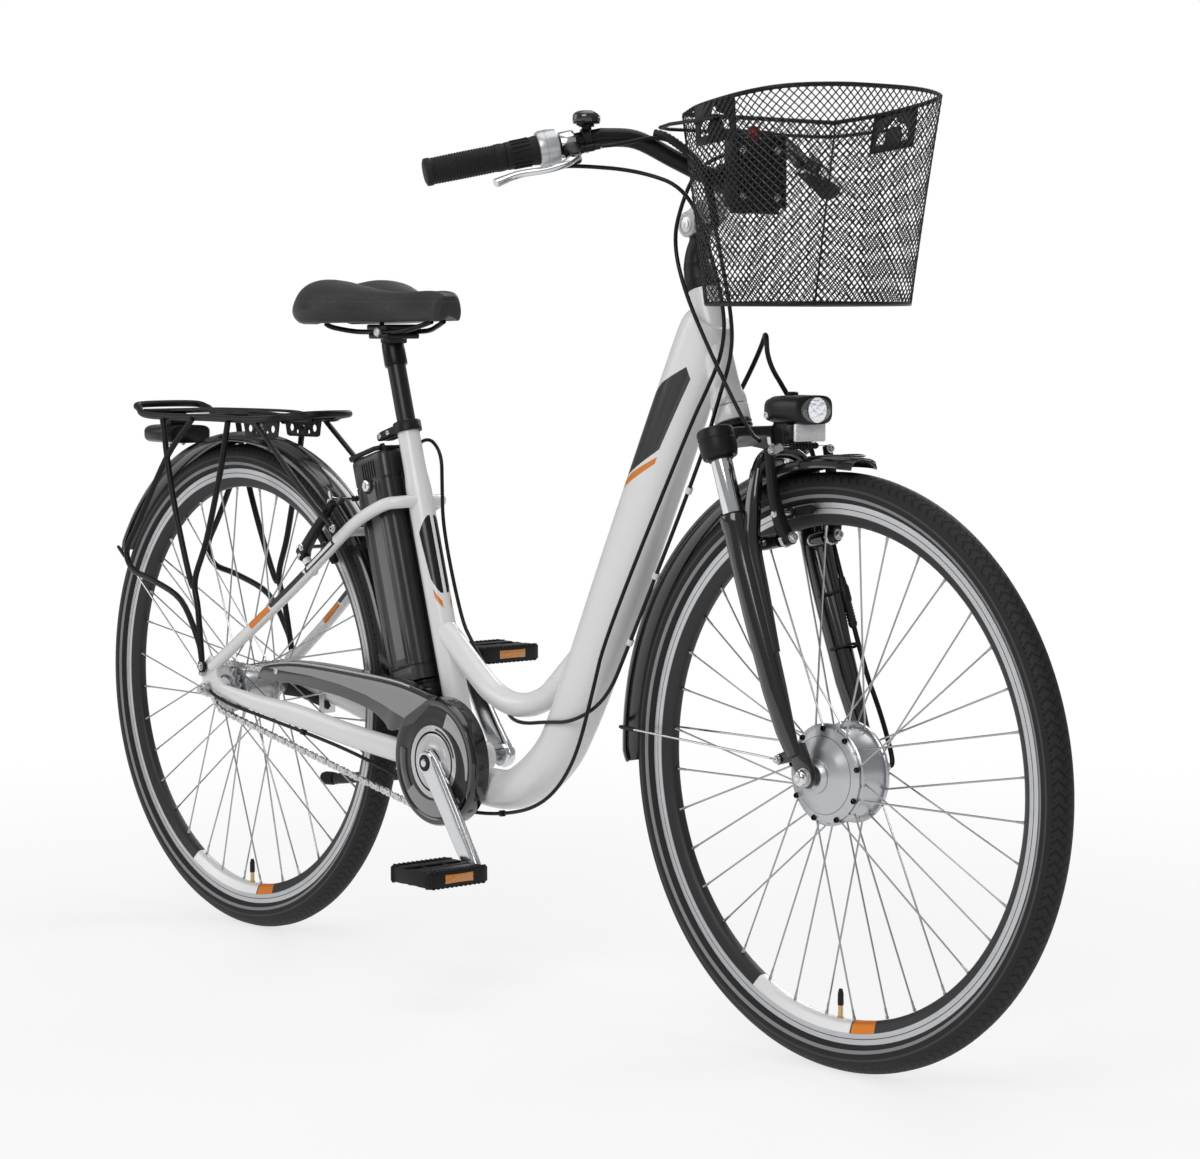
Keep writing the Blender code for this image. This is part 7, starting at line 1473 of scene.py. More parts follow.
# Rear lamp: a red lens moulded in fine prisms over a black base with a foot that is screwed to the rack.
red_lens = Finish(bpy.data.materials.new("red_lens"))
lens_y, lens_z = red_lens.axes()[1:]
lens_cells = (lens_y * 1600.0).sine() * (lens_z * 1600.0).sine()
red_lens.set(Base_Color=red_lens.mix(lens_cells * 0.5 + 0.5, (0.30, 0.006, 0.006), (0.52, 0.016, 0.014)),
             Roughness=lens_cells * 0.05 + 0.16, Coat_Weight=0.9)
red_lens.bump(lens_cells, 0.45, 0.0006)
LAMP_HEIGHT = 0.7145
lamp_rings = [lamp_ring(x, half, LAMP_HEIGHT, 0.0134, 0.5) for x, half in (
    (-0.2195, 0.0370), (-0.2140, 0.0395), (-0.1800, 0.0395), (-0.1560, 0.0380), (-0.1510, 0.0330))]
lens_rings = [lamp_ring(x, half, LAMP_HEIGHT, deep, 0.5) for x, half, deep in (
    (-0.2222, 0.0330, 0.0100), (-0.2214, 0.0360, 0.0125), (-0.2185, 0.0374, 0.0130))]
lamp_parts = [painted(shaded(lofted("lamp_body", lamp_rings), 0.0010), lamp_black),
              painted(shaded(lofted("lamp_lens", lens_rings), 0.0005), red_lens),
              painted(block("lamp_foot", at(-0.202, -0.018, 0.7265), at(-0.176, 0.018, 0.7396), 0.0020),
                  lamp_black),
              painted(block("lamp_seam", at(-0.1990, -0.0398, 0.7140), at(-0.1600, 0.0398, 0.7150), 0.0003),
                      black_plastic)]
for out in (-0.012, 0.012):
    lamp_parts += fastener(at(-0.189, out, 0.7001), -UP, 0.0030)
fitted(joined("rear_lamp_and_lens", lamp_parts), "bike", "lamp_plastic", "rear_lamp")


# Battery dock: a black moulded tray behind the seat tube that takes the battery's foot, ribbed on its right.
# An aluminium-backed rail runs from it up the tube, held by three screws.
def case_section(up, wide, deep, back=0.0615, count=56):
    """A squarish section of the battery at this height up the seat tube."""
    ring = []
    for k in range(count):
        across, behind = squared(2 * math.pi * (k + 0.5) / count, 0.4, 0.4)
        ring.append(behind_seat_tube(up, back + behind * deep, across * wide))
    return ring


battery_black = Finish(bpy.data.materials.new("battery_black"))
battery_x, battery_y, battery_z = battery_black.axes()
case_up = (battery_x - BRACKET.x) * SEAT_LINE.x + (battery_z - BRACKET.z) * SEAT_LINE.z
case_back = (battery_x - BRACKET.x) * SEAT_BACK.x + (battery_z - BRACKET.z) * SEAT_BACK.z
case_side = abs(battery_y) > 0.030
grey_strip = (between(battery_black, case_back, 0.0500, 0.0690, 0.0004)
              * between(battery_black, case_up, 0.1500, 0.3860, 0.0004) * case_side)
dirt = battery_black.noise(battery_black.place(), 22.0, 5.0)
case_colour = battery_black.mix(dirt, (0.006, 0.006, 0.007), (0.010, 0.010, 0.011))
case_colour = battery_black.mix(grey_strip, case_colour, (0.105, 0.105, 0.110))
battery_black.set(Base_Color=case_colour, Roughness=dirt * 0.12 + 0.27, Coat_Weight=0.15)
battery_black.bump(battery_black.noise(battery_black.place(), 1400.0, 2.0), 0.10)
dock_parts = [shaded(lofted("dock_tray", [
    case_section(0.0855, 0.0335, 0.0390, 0.0600), case_section(0.0870, 0.0350, 0.0408, 0.0600),
    case_section(0.1080, 0.0350, 0.0410, 0.0600), case_section(0.1090, 0.0340, 0.0400, 0.0600),
    case_section(0.1105, 0.0340, 0.0400, 0.0600), case_section(0.1115, 0.0350, 0.0410, 0.0600),
    case_section(0.1145, 0.0350, 0.0410, 0.0600)]), angle=50)]
dock_parts.append(swept("dock_rail", [behind_seat_tube(0.090, 0.0188), behind_seat_tube(0.400, 0.0188)],
                        0.0100, 0.0016, 16, power=5.0, bevel=0.0004))
for up in (0.135, 0.250, 0.365):
    dock_parts.append(turned("rail_screw", [(0.0042, 0), (0.0042, 0.0008), (0.0020, 0.0010)],
                             behind_seat_tube(up, 0.0200), SEAT_BACK, 20))
for k in range(5):
    up = 0.0905 + 0.0038 * k
    dock_parts.append(swept("dock_rib", [behind_seat_tube(up, 0.0330, -0.0350),
        behind_seat_tube(up, 0.0880, -0.0350)], 0.0008, 0.0012, 8, SEAT_LINE))
for piece in dock_parts:
    painted(piece, black_plastic)
fitted(joined("battery_dock_tray", dock_parts), "bike", "battery_plastic", "battery_dock")

# Battery: a long moulded case with fluted walls and one flat grey strip down each side, closed by a foot
# and a stepped cap. The cap has finger ribs, a round lock recess and two ears for the handle.
FLUTES = ((0.0380, 0.0022), (0.0465, 0.0016), (0.0725, 0.0016), (0.0810, 0.0022))


def fluted_section(up, wide, deep, cut):
    """The case's section with shallow channels down its sides."""
    ring = []
    for point in case_section(up, wide, deep, count=180):
        back = (point - BRACKET).dot(SEAT_BACK)
        if abs(point.y) > wide * 0.80:
            for middle, half in FLUTES:
                if abs(back - middle) < half:
                    point = point - SIDEWAYS * math.copysign(cut * (1 - ((back - middle) / half) ** 2),
                        point.y)
        ring.append(point)
    return ring


case_rows = (
    (0.1160, 0.0325, 0.0375, 0), (0.1175, 0.0345, 0.0396, 0), (0.1350, 0.0350, 0.0400, 0),
    (0.1362, 0.0340, 0.0390, 0),
    (0.1374, 0.0340, 0.0390, 0), (0.1386, 0.0350, 0.0400, 0.0000), (0.1450, 0.0350, 0.0400, 0.0026),
    (0.2000, 0.0350, 0.0400, 0.0028), (0.3500, 0.0350, 0.0400, 0.0028), (0.3880, 0.0350, 0.0400, 0.0026),
    (0.3950, 0.0350, 0.0400, 0), (0.3962, 0.0340, 0.0390, 0), (0.3974, 0.0340, 0.0390, 0),
    (0.3986, 0.0350, 0.0400, 0),
    (0.4290, 0.0350, 0.0400, 0), (0.4325, 0.0340, 0.0390, 0), (0.4345, 0.0315, 0.0365, 0),
    (0.4350, 0.0290, 0.0340, 0),
)
case_piece = shaded(lofted("battery_shell", [fluted_section(*row) for row in case_rows]), angle=42)
LOCK = at(0.340, 0, 0.6565)
battery_parts = [painted(case_piece, battery_black)]
battery_parts.append(painted(turned("lock_recess", [
    (0.0086, 0.0330), (0.0112, 0.0330), (0.0118, 0.0344), (0.0112, 0.0355), (0.0092, 0.0357),
    (0.0086, 0.0350)],
    LOCK, -SIDEWAYS, 40, ring=True), black_plastic))
for side in (RIGHT, LEFT):
    battery_parts.append(painted(swept("handle_ear", [
        behind_seat_tube(0.4330, 0.038, side * 0.019), behind_seat_tube(0.4385, 0.038, side * 0.019),
        behind_seat_tube(0.4452, 0.038, side * 0.019)], [0.0030, 0.0030, 0.0028],
        [0.0072, 0.0062, 0.0036], 16,
        power=3.0), black_plastic))
for k in range(6):
    back = 0.0440 + 0.0052 * k
    battery_parts.append(painted(swept("cap_rib", [
        behind_seat_tube(0.4010, back, -0.0350), behind_seat_tube(0.4240, back, -0.0350)], 0.0007,
        0.0011, 8, SEAT_BACK), black_plastic))
battery_parts.append(painted(swept("charge_door", [
    behind_seat_tube(0.4060, 0.0615, 0.0350), behind_seat_tube(0.4200, 0.0615, 0.0350)], 0.0012, 0.0100,
    20, power=4.0), black_plastic))
for k in range(4):
    battery_parts.append(painted(turned("level_light", [(0.0014, 0), (0.0014, 0.0006), (0.0009, 0.0009)],
                                        behind_seat_tube(0.4345, 0.0760, -0.0090 + 0.0060 * k),
                                        SEAT_LINE, 16),
                                 screw_steel))
for out in (-0.024, 0.024):
    battery_parts.append(screw("case_screw", behind_seat_tube(0.1260, 0.1010, out), SEAT_BACK, 0.0028,
        0.0012, screw_black, 0.5))
fitted(joined("battery_shell_and_cap", battery_parts), "battery", "battery_plastic", "battery_case")

HANDLE_LOOP = ((0.038, -0.026), (0.038, 0.026), (0.043, 0.030), (0.098, 0.030), (0.106, 0.023),
    (0.106, -0.023), (0.098, -0.030), (0.043, -0.030))
handle_route = [behind_seat_tube(0.4395, back, out) for back, out in HANDLE_LOOP]
fine_route = []
for i, point in enumerate(handle_route):
    after = handle_route[(i + 1) % len(handle_route)]
    fine_route += [point.lerp(after, 0.06), point.lerp(after, 0.5), point.lerp(after, 0.94)]
loop = swept("carry_loop", fine_route, 0.0033, 0.0031, 20, SEAT_LINE, 2.6, closed=True)
pad = swept("carry_pad", [behind_seat_tube(0.4395, 0.1055, -0.020), behind_seat_tube(0.4395, 0.1065, 0.0),
                          behind_seat_tube(0.4395, 0.1055, 0.020)], [0.0036, 0.0040, 0.0036],
                          [0.0038, 0.0044, 0.0038],
            20, SEAT_LINE, 2.8)
ridges = [swept("carry_ridge", [behind_seat_tube(0.4434, 0.1030, out),
    behind_seat_tube(0.4434, 0.1090, out)],
                0.0006, 0.0006, 8) for out in (-0.012, -0.008, -0.004, 0, 0.004, 0.008, 0.012)]
fitted(joined("battery_carry_handle", [painted(piece, black_plastic) for piece in [loop, pad, *ridges]]),
       "battery_bail", "battery_plastic", "battery_handle")

# Battery lock: a chromed barrel with a keyway, pressed in the cap's recess. It turns a bolt that holds the
# battery in its dock.
barrel = turned("lock_barrel", [(0.0040, 0.0270), (0.0040, 0.0352), (0.0080, 0.0354), (0.0080, 0.0392),
                                (0.0074, 0.0402), (0.0056, 0.0406), (0.0052, 0.0400), (0.0030, 0.0400)],
                LOCK, -SIDEWAYS, 48)
keyway = block("keyway", LOCK + Vector((-0.0007, -0.0404, -0.0036)),
    LOCK + Vector((0.0007, -0.0398, 0.0036)), 0.0002)
fitted(joined("battery_lock_barrel", [painted(barrel, chrome), painted(keyway, screw_black)]),
    "battery_key", "lock_metal", "battery_lock")

# Seat clamp: a black forged ring round the seat tube's top, with a slotted lug behind that two socket
# bolts draw together.
clamp_ring = turned("clamp_ring", [(0.0156, 0.4510), (0.0186, 0.4508), (0.0192, 0.4516), (0.0192, 0.4640),
                                   (0.0184, 0.4652), (0.0156, 0.4652)], BRACKET, SEAT_LINE, 56, ring=True)
clamp_parts = [painted(clamp_ring, crown_black)]
for side in (RIGHT, LEFT):
    lug = [behind_seat_tube(0.4580, back, side * 0.0064) for back in (0.0130, 0.0300, 0.0480, 0.0575)]
    clamp_parts.append(painted(swept("clamp_lug", lug, [0.0056, 0.0056, 0.0056, 0.0040],
                                     [0.0068, 0.0068, 0.0066, 0.0048], 20, SIDEWAYS, 4.0), crown_black))
for back in (0.0290, 0.0480):
    spot = behind_seat_tube(0.4580, back)
    clamp_parts.append(screw("clamp_bolt", spot - SIDEWAYS * 0.0110, -SIDEWAYS, 0.0038, 0.0028,
        screw_steel))
    clamp_parts.append(painted(turned("clamp_nut", [(0.0042, 0.0110), (0.0042, 0.0135)], spot, SIDEWAYS,
        6), plated))
fitted(joined("seat_clamp_and_bolts", clamp_parts), "bike", "black_metal", "seat_clamp")

# Seat post: a black anodised aluminium tube that slides in the seat tube, finely scratched by the clamp
# that holds it.
post_black = Finish(bpy.data.materials.new("anodised_black"))
scratches = post_black.noise(post_black.place(), 35.0, 6.0)
post_black.set(Base_Color=post_black.mix(scratches, (0.012, 0.012, 0.013), (0.020, 0.020, 0.021)),
               Roughness=scratches * 0.14 + 0.24, Metallic=0.4)
post_black.bump(post_black.noise(post_black.place(), 800.0), 0.05)
post = turned("post_tube", [(0.0118, 0.2650), (0.0127, 0.2660), (0.0127, 0.5655), (0.0122, 0.5660)],
    BRACKET, SEAT_LINE, 56)
fitted(painted(post, post_black), "seat", "black_metal", "seat_post")

# Saddle rails: two bent rods of black steel under the saddle's base, gripped between two cradles on the
# post's head by one cross bolt with a nut at each end.
POST_TOP = behind_seat_tube(0.566, 0)
RAIL_HEIGHT = 0.8660
rail_steel = drifting("rail_black", (0.014, 0.014, 0.015), 0.26, 0.4, grain=420.0, depth=0.05)
saddle_metal = [painted(turned("head_neck", [
    (0.0128, 0.5445), (0.0154, 0.5445), (0.0158, 0.5470), (0.0156, 0.5640), (0.0150, 0.5760),
    (0.0140, 0.5790),
    (0.0128, 0.5790)], BRACKET, SEAT_LINE, 48, ring=True), rail_steel)]
for low, high, wide in ((0.8562, 0.8640, 0.0270), (0.8680, 0.8758, 0.0300)):
    saddle_metal.append(painted(block("rail_cradle", Vector((POST_TOP.x - 0.0215, -wide, low)),
                                      Vector((POST_TOP.x + 0.0235, wide, high)), 0.0022), rail_steel))
saddle_metal.append(painted(block("cradle_core", Vector((POST_TOP.x - 0.0120, -0.0140, 0.8500)),
                                  Vector((POST_TOP.x + 0.0130, 0.0140, 0.8740)), 0.0020), rail_steel))
for side in (RIGHT, LEFT):
    route = [(0.262, 0.048, 0.8775), (0.266, 0.0450, 0.8740), (0.274, 0.0370, 0.8705),
        (0.300, 0.0220, 0.8660), (0.350, 0.0220, 0.8660), (0.400, 0.0220, 0.8670), (0.432, 0.0150, 0.8735),
             (0.452, 0.0100, 0.8795)]
    saddle_metal.append(painted(swept("saddle_rail",
        rounded(on_side(route, side), 5), 0.0035, sides=20), rail_steel))
    washer = Vector((POST_TOP.x + 0.001, side * 0.0296, RAIL_HEIGHT))
    saddle_metal.append(painted(turned("cradle_nut", [(0.0075, -0.0020), (0.0078, 0.0), (0.0068, 0.0024),
                                                      (0.0040, 0.0030)], washer - SIDEWAYS * side * 0.0022,
                                       SIDEWAYS * side, 6), plated))
fitted(joined("saddle_rails_and_cradle", saddle_metal), "seat", "steel", "saddle_rails_and_clamp")

# Saddle: foam under one black stretched cover with a leather-like grain. It has two sitting lobes, a long
# relief channel and a stitched seam round the upper edge, over a rim tucked beneath.
SADDLE = (
    (0.000, 0.30, 0.018, 0.016), (0.025, 0.62, 0.028, 0.022), (0.080, 0.86, 0.034, 0.025),
    (0.180, 0.99, 0.038, 0.026), (0.300, 0.97, 0.036, 0.024), (0.420, 0.80, 0.030, 0.020),
    (0.540, 0.55, 0.024, 0.016), (0.660, 0.37, 0.022, 0.015), (0.780, 0.29, 0.023, 0.017),
    (0.880, 0.265, 0.024, 0.020), (0.955, 0.24, 0.022, 0.021), (0.990, 0.17, 0.016, 0.016),
)


SADDLE_REAR, SADDLE_LENGTH, SADDLE_HALF_WIDTH = 0.215, 0.268, 0.100


def saddle_row(share, width, lobes, channel):
    """One section of the saddle: lobes beside a channel, rolled sides and an edge tucked under."""
    half = SADDLE_HALF_WIDTH * width
    base = 0.900 - 0.004 * share
    skirt = 0.026 * (1 - 0.35 * share)
    outline = (
        (0.0, channel), (0.09, channel + (lobes - channel) * 0.12),
        (0.20, channel + (lobes - channel) * 0.70),
        (0.34, lobes), (0.48, lobes * 1.015), (0.62, lobes * 0.965), (0.76, lobes * 0.82),
        (0.88, lobes * 0.56),
        (0.965, lobes * 0.18), (1.0, -skirt * 0.15), (0.985, -skirt * 0.45), (0.93, -skirt * 0.72),
        (0.80, -skirt), (0.55, -skirt * 0.80), (0.25, -skirt * 0.62),
    )
    forward = SADDLE_REAR + SADDLE_LENGTH * share
    row = [at(forward, -half * across, base + up) for across, up in outline]
    row += [at(forward, 0, base - skirt * 0.6)]
    row += [mirrored(point, -1) for point in reversed(row[1:-1])]
    return row


rough_rows = [saddle_row(*row) for row in SADDLE]
columns = [rounded([row[i] for row in rough_rows], 4) for i in range(len(rough_rows[0]))]
cushion = lofted("saddle_pad", [[column[i] for column in columns] for i in range(len(columns[0]))])
modify(cushion, "SUBSURF", levels=1, render_levels=1)
cover = Finish(bpy.data.materials.new("saddle_cover"))
cover_x, _, cover_z = cover.axes()
grain = cover.node("ShaderNodeTexVoronoi", {"feature": "DISTANCE_TO_EDGE"}, Vector=cover.place(),
    Scale=620.0)
sheen = cover.noise(cover.place(), 18.0, 5.0)
# The cover is coloured a little lighter and made glossier towards its top.
top_tone = cover.step(cover_z, 0.915, 0.936)
seam_z = cover_z - 0.9035
seam = 1 - cover.step(abs(seam_z), 0.0004, 0.0010)
stitch = (cover_x * 1250.0).sine() > 0.1
thread = (1 - cover.step(abs(seam_z - 0.0024), 0.0003, 0.0006)) * stitch
cover_colour = cover.mix(sheen, (0.009, 0.009, 0.010), (0.015, 0.015, 0.016))
cover.set(Base_Color=cover.mix(thread, cover.mix(top_tone * 0.5, cover_colour, (0.020, 0.020, 0.021)),
    (0.05, 0.05, 0.05)), Roughness=sheen * 0.12 + 0.36 - top_tone * 0.06)
cover.shader.inputs["Specular IOR Level"].default_value = 0.45
cover.bump(grain * 14.0 - seam * 1.5 + thread * 0.8, 0.30, 0.0008)
painted(shaded(cushion, angle=80), cover)
fitted(cushion, "seat", "saddle_cover", "saddle_cushion")

# Kickstand: a black cast leg that turns on a pin in its mount, with a wide rubber foot, folded back beside
# the left chainstay.
STAND_PIVOT = at(0.370, 0.051, 0.256)
STAND_AXIS = Vector((0.042, 0.94, 0.34)).normalized()
STAND_FOOT = at(0.080, 0.074, 0.218)
leg_line = [STAND_PIVOT + STAND_AXIS * 0.0090,
    STAND_PIVOT + STAND_AXIS * 0.0090 + Vector((-0.030, 0.002, -0.005)),
            STAND_PIVOT.lerp(STAND_FOOT, 0.45) + Vector((0, 0.004, 0.0)),
            STAND_FOOT + Vector((0.030, -0.002, 0.002)),
            STAND_FOOT + Vector((0.012, -0.001, 0.001))]
stand_parts = [painted(swept("stand_leg", rounded(leg_line, 5), 0.0078, 0.0068, 24, UP, 2.6), powder)]
stand_parts.append(painted(turned("stand_eye", [(0.0100, 0.0036), (0.0110, 0.0046), (0.0110, 0.0140),
    (0.0100, 0.0150), (0.0060, 0.0150), (0.0058, 0.0142)], STAND_PIVOT, STAND_AXIS, 40), powder))
stand_parts.append(screw("stand_bolt", STAND_PIVOT + STAND_AXIS * 0.0142, STAND_AXIS, 0.0050, 0.0026,
    screw_steel))
foot_line = [STAND_FOOT + Vector((0.030, -0.002, 0.002)), STAND_FOOT + Vector((0.022, -0.0015, 0.0015)),
             STAND_FOOT + Vector((0.004, 0, 0)), STAND_FOOT]
stand_parts.append(painted(swept("stand_shoe", foot_line, [0.0084, 0.0094, 0.0095, 0.0086],
                                 [0.0084, 0.0094, 0.0095, 0.0086], 28, UP, 2.4), pad_rubber))
for k in range(4):
    spot = STAND_FOOT + Vector((0.0215 - 0.005 * k, -0.0014 + 0.0003 * k, 0.0014 - 0.0003 * k))
    stand_parts.append(painted(turned("shoe_ring", [(0.0090, -0.0008), (0.0097, 0.0), (0.0090, 0.0008)],
        spot, (STAND_FOOT - STAND_PIVOT).normalized(), 28), pad_rubber))
fitted(joined("kickstand_and_shoe", stand_parts), "stand", "black_metal", "kickstand_leg")


# Stem column: a black locknut and conical collar on the head tube, with a short column that leans forward
# to the eye that the adjustable arm turns on.
STEM_PIVOT = steer(0.018, 0, 0.6894)
column = swept("stem_neck", rounded([
    steer(0, 0, 0.6420), steer(0.0005, 0, 0.6470), steer(0.005, 0, 0.6580), steer(0.014, 0, 0.6690),
    STEM_PIVOT - STEER_LINE * 0.006], 4),
    [0.0165 - 0.0058 * min(1, i / 12) for i in range(17)],
    [0.0165 - 0.0030 * min(1, i / 8) for i in range(17)],
    40, power=2.4)
collar_ring = turned("headset_locknut", [
    (0.0132, 0.6130), (0.0176, 0.6130), (0.0190, 0.6140), (0.0190, 0.6210), (0.0184, 0.6216),
    (0.0184, 0.6224),
    (0.0190, 0.6230), (0.0190, 0.6300), (0.0182, 0.6350), (0.0172, 0.6410), (0.0166, 0.6425),
    (0.0132, 0.6425),
], steer(0, 0, 0), STEER_LINE, 64, ring=True)
eye = turned("stem_eye", [(0.0142, -0.0104), (0.0155, -0.0096), (0.0155, 0.0096), (0.0142, 0.0104)],
    STEM_PIVOT, SIDEWAYS, 56)
wedge = turned("stem_quill", [(0.0108, 0.5540), (0.0110, 0.5550), (0.0110, 0.6430)], steer(0, 0, 0),
    STEER_LINE, 32)
column_parts = [painted(piece, crown_black) for piece in (column, collar_ring, eye, wedge)]
for k in range(28):
    a = 2 * math.pi * k / 28
    side_way = SIDEWAYS * math.cos(a) + STEER_FRONT * math.sin(a)
    column_parts.append(painted(swept("collar_flute", [steer(0, 0, 0.6145) + side_way * 0.0190,
                                                       steer(0, 0, 0.6205) + side_way * 0.0190],
                                      0.0006, 0.0006, 6), crown_black))
fitted(joined("stem_column_and_locknut", column_parts), "fork_upper", "black_metal", "stem_column")

# Stem arm: forged aluminium, blasted silver-grey, that tilts on the eye between two cheeks. A toothed
# disc and a silver bolt lock its angle, and its front end clamps the bar.
stem_metal = drifting("blasted_aluminium", (0.36, 0.37, 0.38), 0.36, 0.9, grain=1100.0, depth=0.10)
BAR_CENTRE = at(1.045024, 0, 1.04705)
stem_way = (BAR_CENTRE - STEM_PIVOT).normalized()
arm_points = [STEM_PIVOT + stem_way * 0.0195, STEM_PIVOT + stem_way * 0.0300,
    STEM_PIVOT + stem_way * 0.0450, STEM_PIVOT + stem_way * 0.0620, BAR_CENTRE - stem_way * 0.0100]
stem_parts = [swept("stem_beam", arm_points, [0.0192, 0.0186, 0.0168, 0.0154, 0.0160],
                    [0.0124, 0.0128, 0.0120, 0.0112, 0.0120], 32, power=3.2)]
for side in (RIGHT, LEFT):
    stem_parts.append(turned("stem_cheek", [(0.0148, 0.0110), (0.0155, 0.0118), (0.0155, 0.0184),
        (0.0146, 0.0195), (0.0110, 0.0195), (0.0104, 0.0188)], STEM_PIVOT, SIDEWAYS * side, 56))
    offset = SIDEWAYS * side * 0.01515
    stem_parts.append(swept("stem_cheek_arm", [STEM_PIVOT + offset, STEM_PIVOT + stem_way * 0.015 + offset,
                                               STEM_PIVOT + stem_way * 0.029 + offset],
                            [0.0042, 0.0042, 0.0042], [0.0150, 0.0132, 0.0126], 16, power=5.0))
stem_parts.append(turned("bar_clamp", [
    (0.0180, -0.0210), (0.0195, -0.0200), (0.0195, -0.0125), (0.0188, -0.0118), (0.0188, 0.0118),
    (0.0195, 0.0125),
    (0.0195, 0.0200), (0.0180, 0.0210), (0.0130, 0.0210), (0.0130, -0.0210)], BAR_CENTRE, SIDEWAYS, 64,
    ring=True))
for piece in stem_parts:
    painted(piece, stem_metal)
for side in (RIGHT, LEFT):
    face = STEM_PIVOT + SIDEWAYS * side * 0.0195
    stem_parts.append(painted(turned("angle_washer", [(0.0090, 0), (0.0092, 0.0008), (0.0070, 0.0012)],
                                     STEM_PIVOT + SIDEWAYS * side * 0.0188, SIDEWAYS * side, 36), plated))
    stem_parts.append(screw("angle_bolt", face - SIDEWAYS * side * 0.0002, SIDEWAYS * side, 0.0058, 0.0012,
                            screw_steel, 0.5))
clamp_under = (stem_way.cross(SIDEWAYS)).normalized()
if clamp_under.z > 0:
    clamp_under = -clamp_under
for out in (-0.012, 0.012):
    stem_parts.append(screw("clamp_screw",
        BAR_CENTRE - stem_way * 0.016 + clamp_under * 0.0125 + SIDEWAYS * out,
                            clamp_under, 0.0040, 0.0030, screw_steel, 0.55))
fitted(joined("stem_arm_and_clamp", stem_parts), "cockpit", "stem_aluminium", "stem_arm")

# Handlebar: one aluminium tube in black satin, bent up and swept back to both grips, and thicker where
# the stem clamps it.
BAR_END = at(0.862024, 0.327, 1.05305)
BAR_BEND = at(0.965024, 0.149, 1.09505)
BAR_TURNS = [BAR_CENTRE + Vector(offset) for offset in (
    (-0.056, 0.116, 0.0450), (-0.030, 0.080, 0.0230), (-0.010, 0.052, 0.0060), (0, 0.036, 0))]
GRIP_LINE = (BAR_BEND - BAR_END).normalized()
GRIP_REACH = Vector((0.811273, 0.360911, -0.459977)).normalized()
GRIP_NORMAL = GRIP_LINE.cross(GRIP_REACH)


def grip_point(side, along, reach=0.0, normal=0.0):
    """A place by its way along the bar from its end, out to the lever, and square to both."""
    return mirrored(BAR_END + GRIP_LINE * along + GRIP_REACH * reach + GRIP_NORMAL * normal, side)


def round_bar(name, side, profile, sides=48, ring=False):
    """A turned piece round the straight end of the bar."""
    return turned(name, profile, mirrored(BAR_END, side), mirrored(GRIP_LINE, side), sides, ring=ring)


half_bar = [BAR_END, BAR_END.lerp(BAR_BEND, 0.5)] + rounded([BAR_BEND, *BAR_TURNS], 6)
half_bar += [BAR_CENTRE + Vector((0, 0.033, 0)), BAR_CENTRE + Vector((0, 0.030, 0)),
    BAR_CENTRE + Vector((0, 0.001, 0))]
whole_bar = half_bar + [mirrored(point, RIGHT) for point in reversed(half_bar)]
half_radii = [0.0111] * (len(half_bar) - 2) + [0.0127, 0.0127]
bar_satin = drifting("bar_satin_black", (0.014, 0.014, 0.015), 0.28, 0.45, grain=600.0, depth=0.03)
bar = swept("bar_tube", whole_bar, half_radii + half_radii[::-1], sides=36, across=STEER_FRONT)
fitted(painted(bar, bar_satin), "cockpit", "bar_aluminium", "handlebar")

# Grips: black rubber moulded with fine rings, a palm swell and a thick end flange. A smooth band closes
# each at its inner end.
grip_rubber = drifting("grip_rubber", (0.011, 0.011, 0.012), 0.58, grain=1500.0, depth=0.16)
for word, side, length in (("right", RIGHT, 0.092), ("left", LEFT, 0.128)):
    profile = [(0.0060, -0.0058), (0.0125, -0.0060), (0.0158, -0.0046), (0.0165, -0.0030),
        (0.0165, 0.0020), (0.0156, 0.0032), (0.0156, 0.0045)]
    place = 0.0052
    while place < length - 0.014:
        swell = 0.0004 * math.sin(math.pi * place / length)
        profile += [(0.0152 + swell, place), (0.0158 + swell, place + 0.0008),
            (0.0158 + swell, place + 0.0018), (0.0152 + swell, place + 0.0026)]
        place += 0.0034
    profile += [(0.0155, length - 0.0125), (0.0164, length - 0.0115), (0.0165, length - 0.0060),
                (0.0160, length - 0.0008), (0.0156, length), (0.0113, length)]
    fitted(painted(round_bar(f"{word}_ribbed_grip", side, profile, 40), grip_rubber), "cockpit",
        "grip_rubber", f"{word}_grip")

# Twist shifter: a rubber sleeve with ribs along it, that flares into a turned housing with silver paint,
# a clear gear window, a clamp screw and a cable outlet.
sleeve = round_bar("twist_sleeve", RIGHT, [
    (0.0114, 0.0924), (0.0158, 0.0924), (0.0165, 0.0932), (0.0165, 0.0990), (0.0160, 0.1000),
    (0.0160, 0.1150),
    (0.0165, 0.1220), (0.0174, 0.1280), (0.0175, 0.1306), (0.0114, 0.1306)], 64, ring=True)
twist_parts = [sleeve]
sleeve_axis = mirrored(GRIP_LINE, RIGHT)
square_way = (UP - sleeve_axis * sleeve_axis.dot(UP)).normalized()
other_way = sleeve_axis.cross(square_way)
for k in range(18):
    a = 2 * math.pi * k / 18
    way = square_way * math.cos(a) + other_way * math.sin(a)
    twist_parts.append(swept("twist_rib", [grip_point(RIGHT, along) + way * radius for along, radius in (
        (0.0995, 0.0160), (0.1010, 0.0164), (0.1150, 0.0164), (0.1215, 0.0168))], 0.0010, 0.0009, 8))
for piece in twist_parts:
    painted(piece, grip_rubber)
fitted(joined("twist_sleeve_and_ribs", twist_parts), "shifter_grip", "grip_rubber", "twist_shifter")
shifter_silver = drifting("shifter_silver", (0.52, 0.53, 0.55), 0.30, 0.55, grain=900.0, depth=0.03,
    coat=0.4)
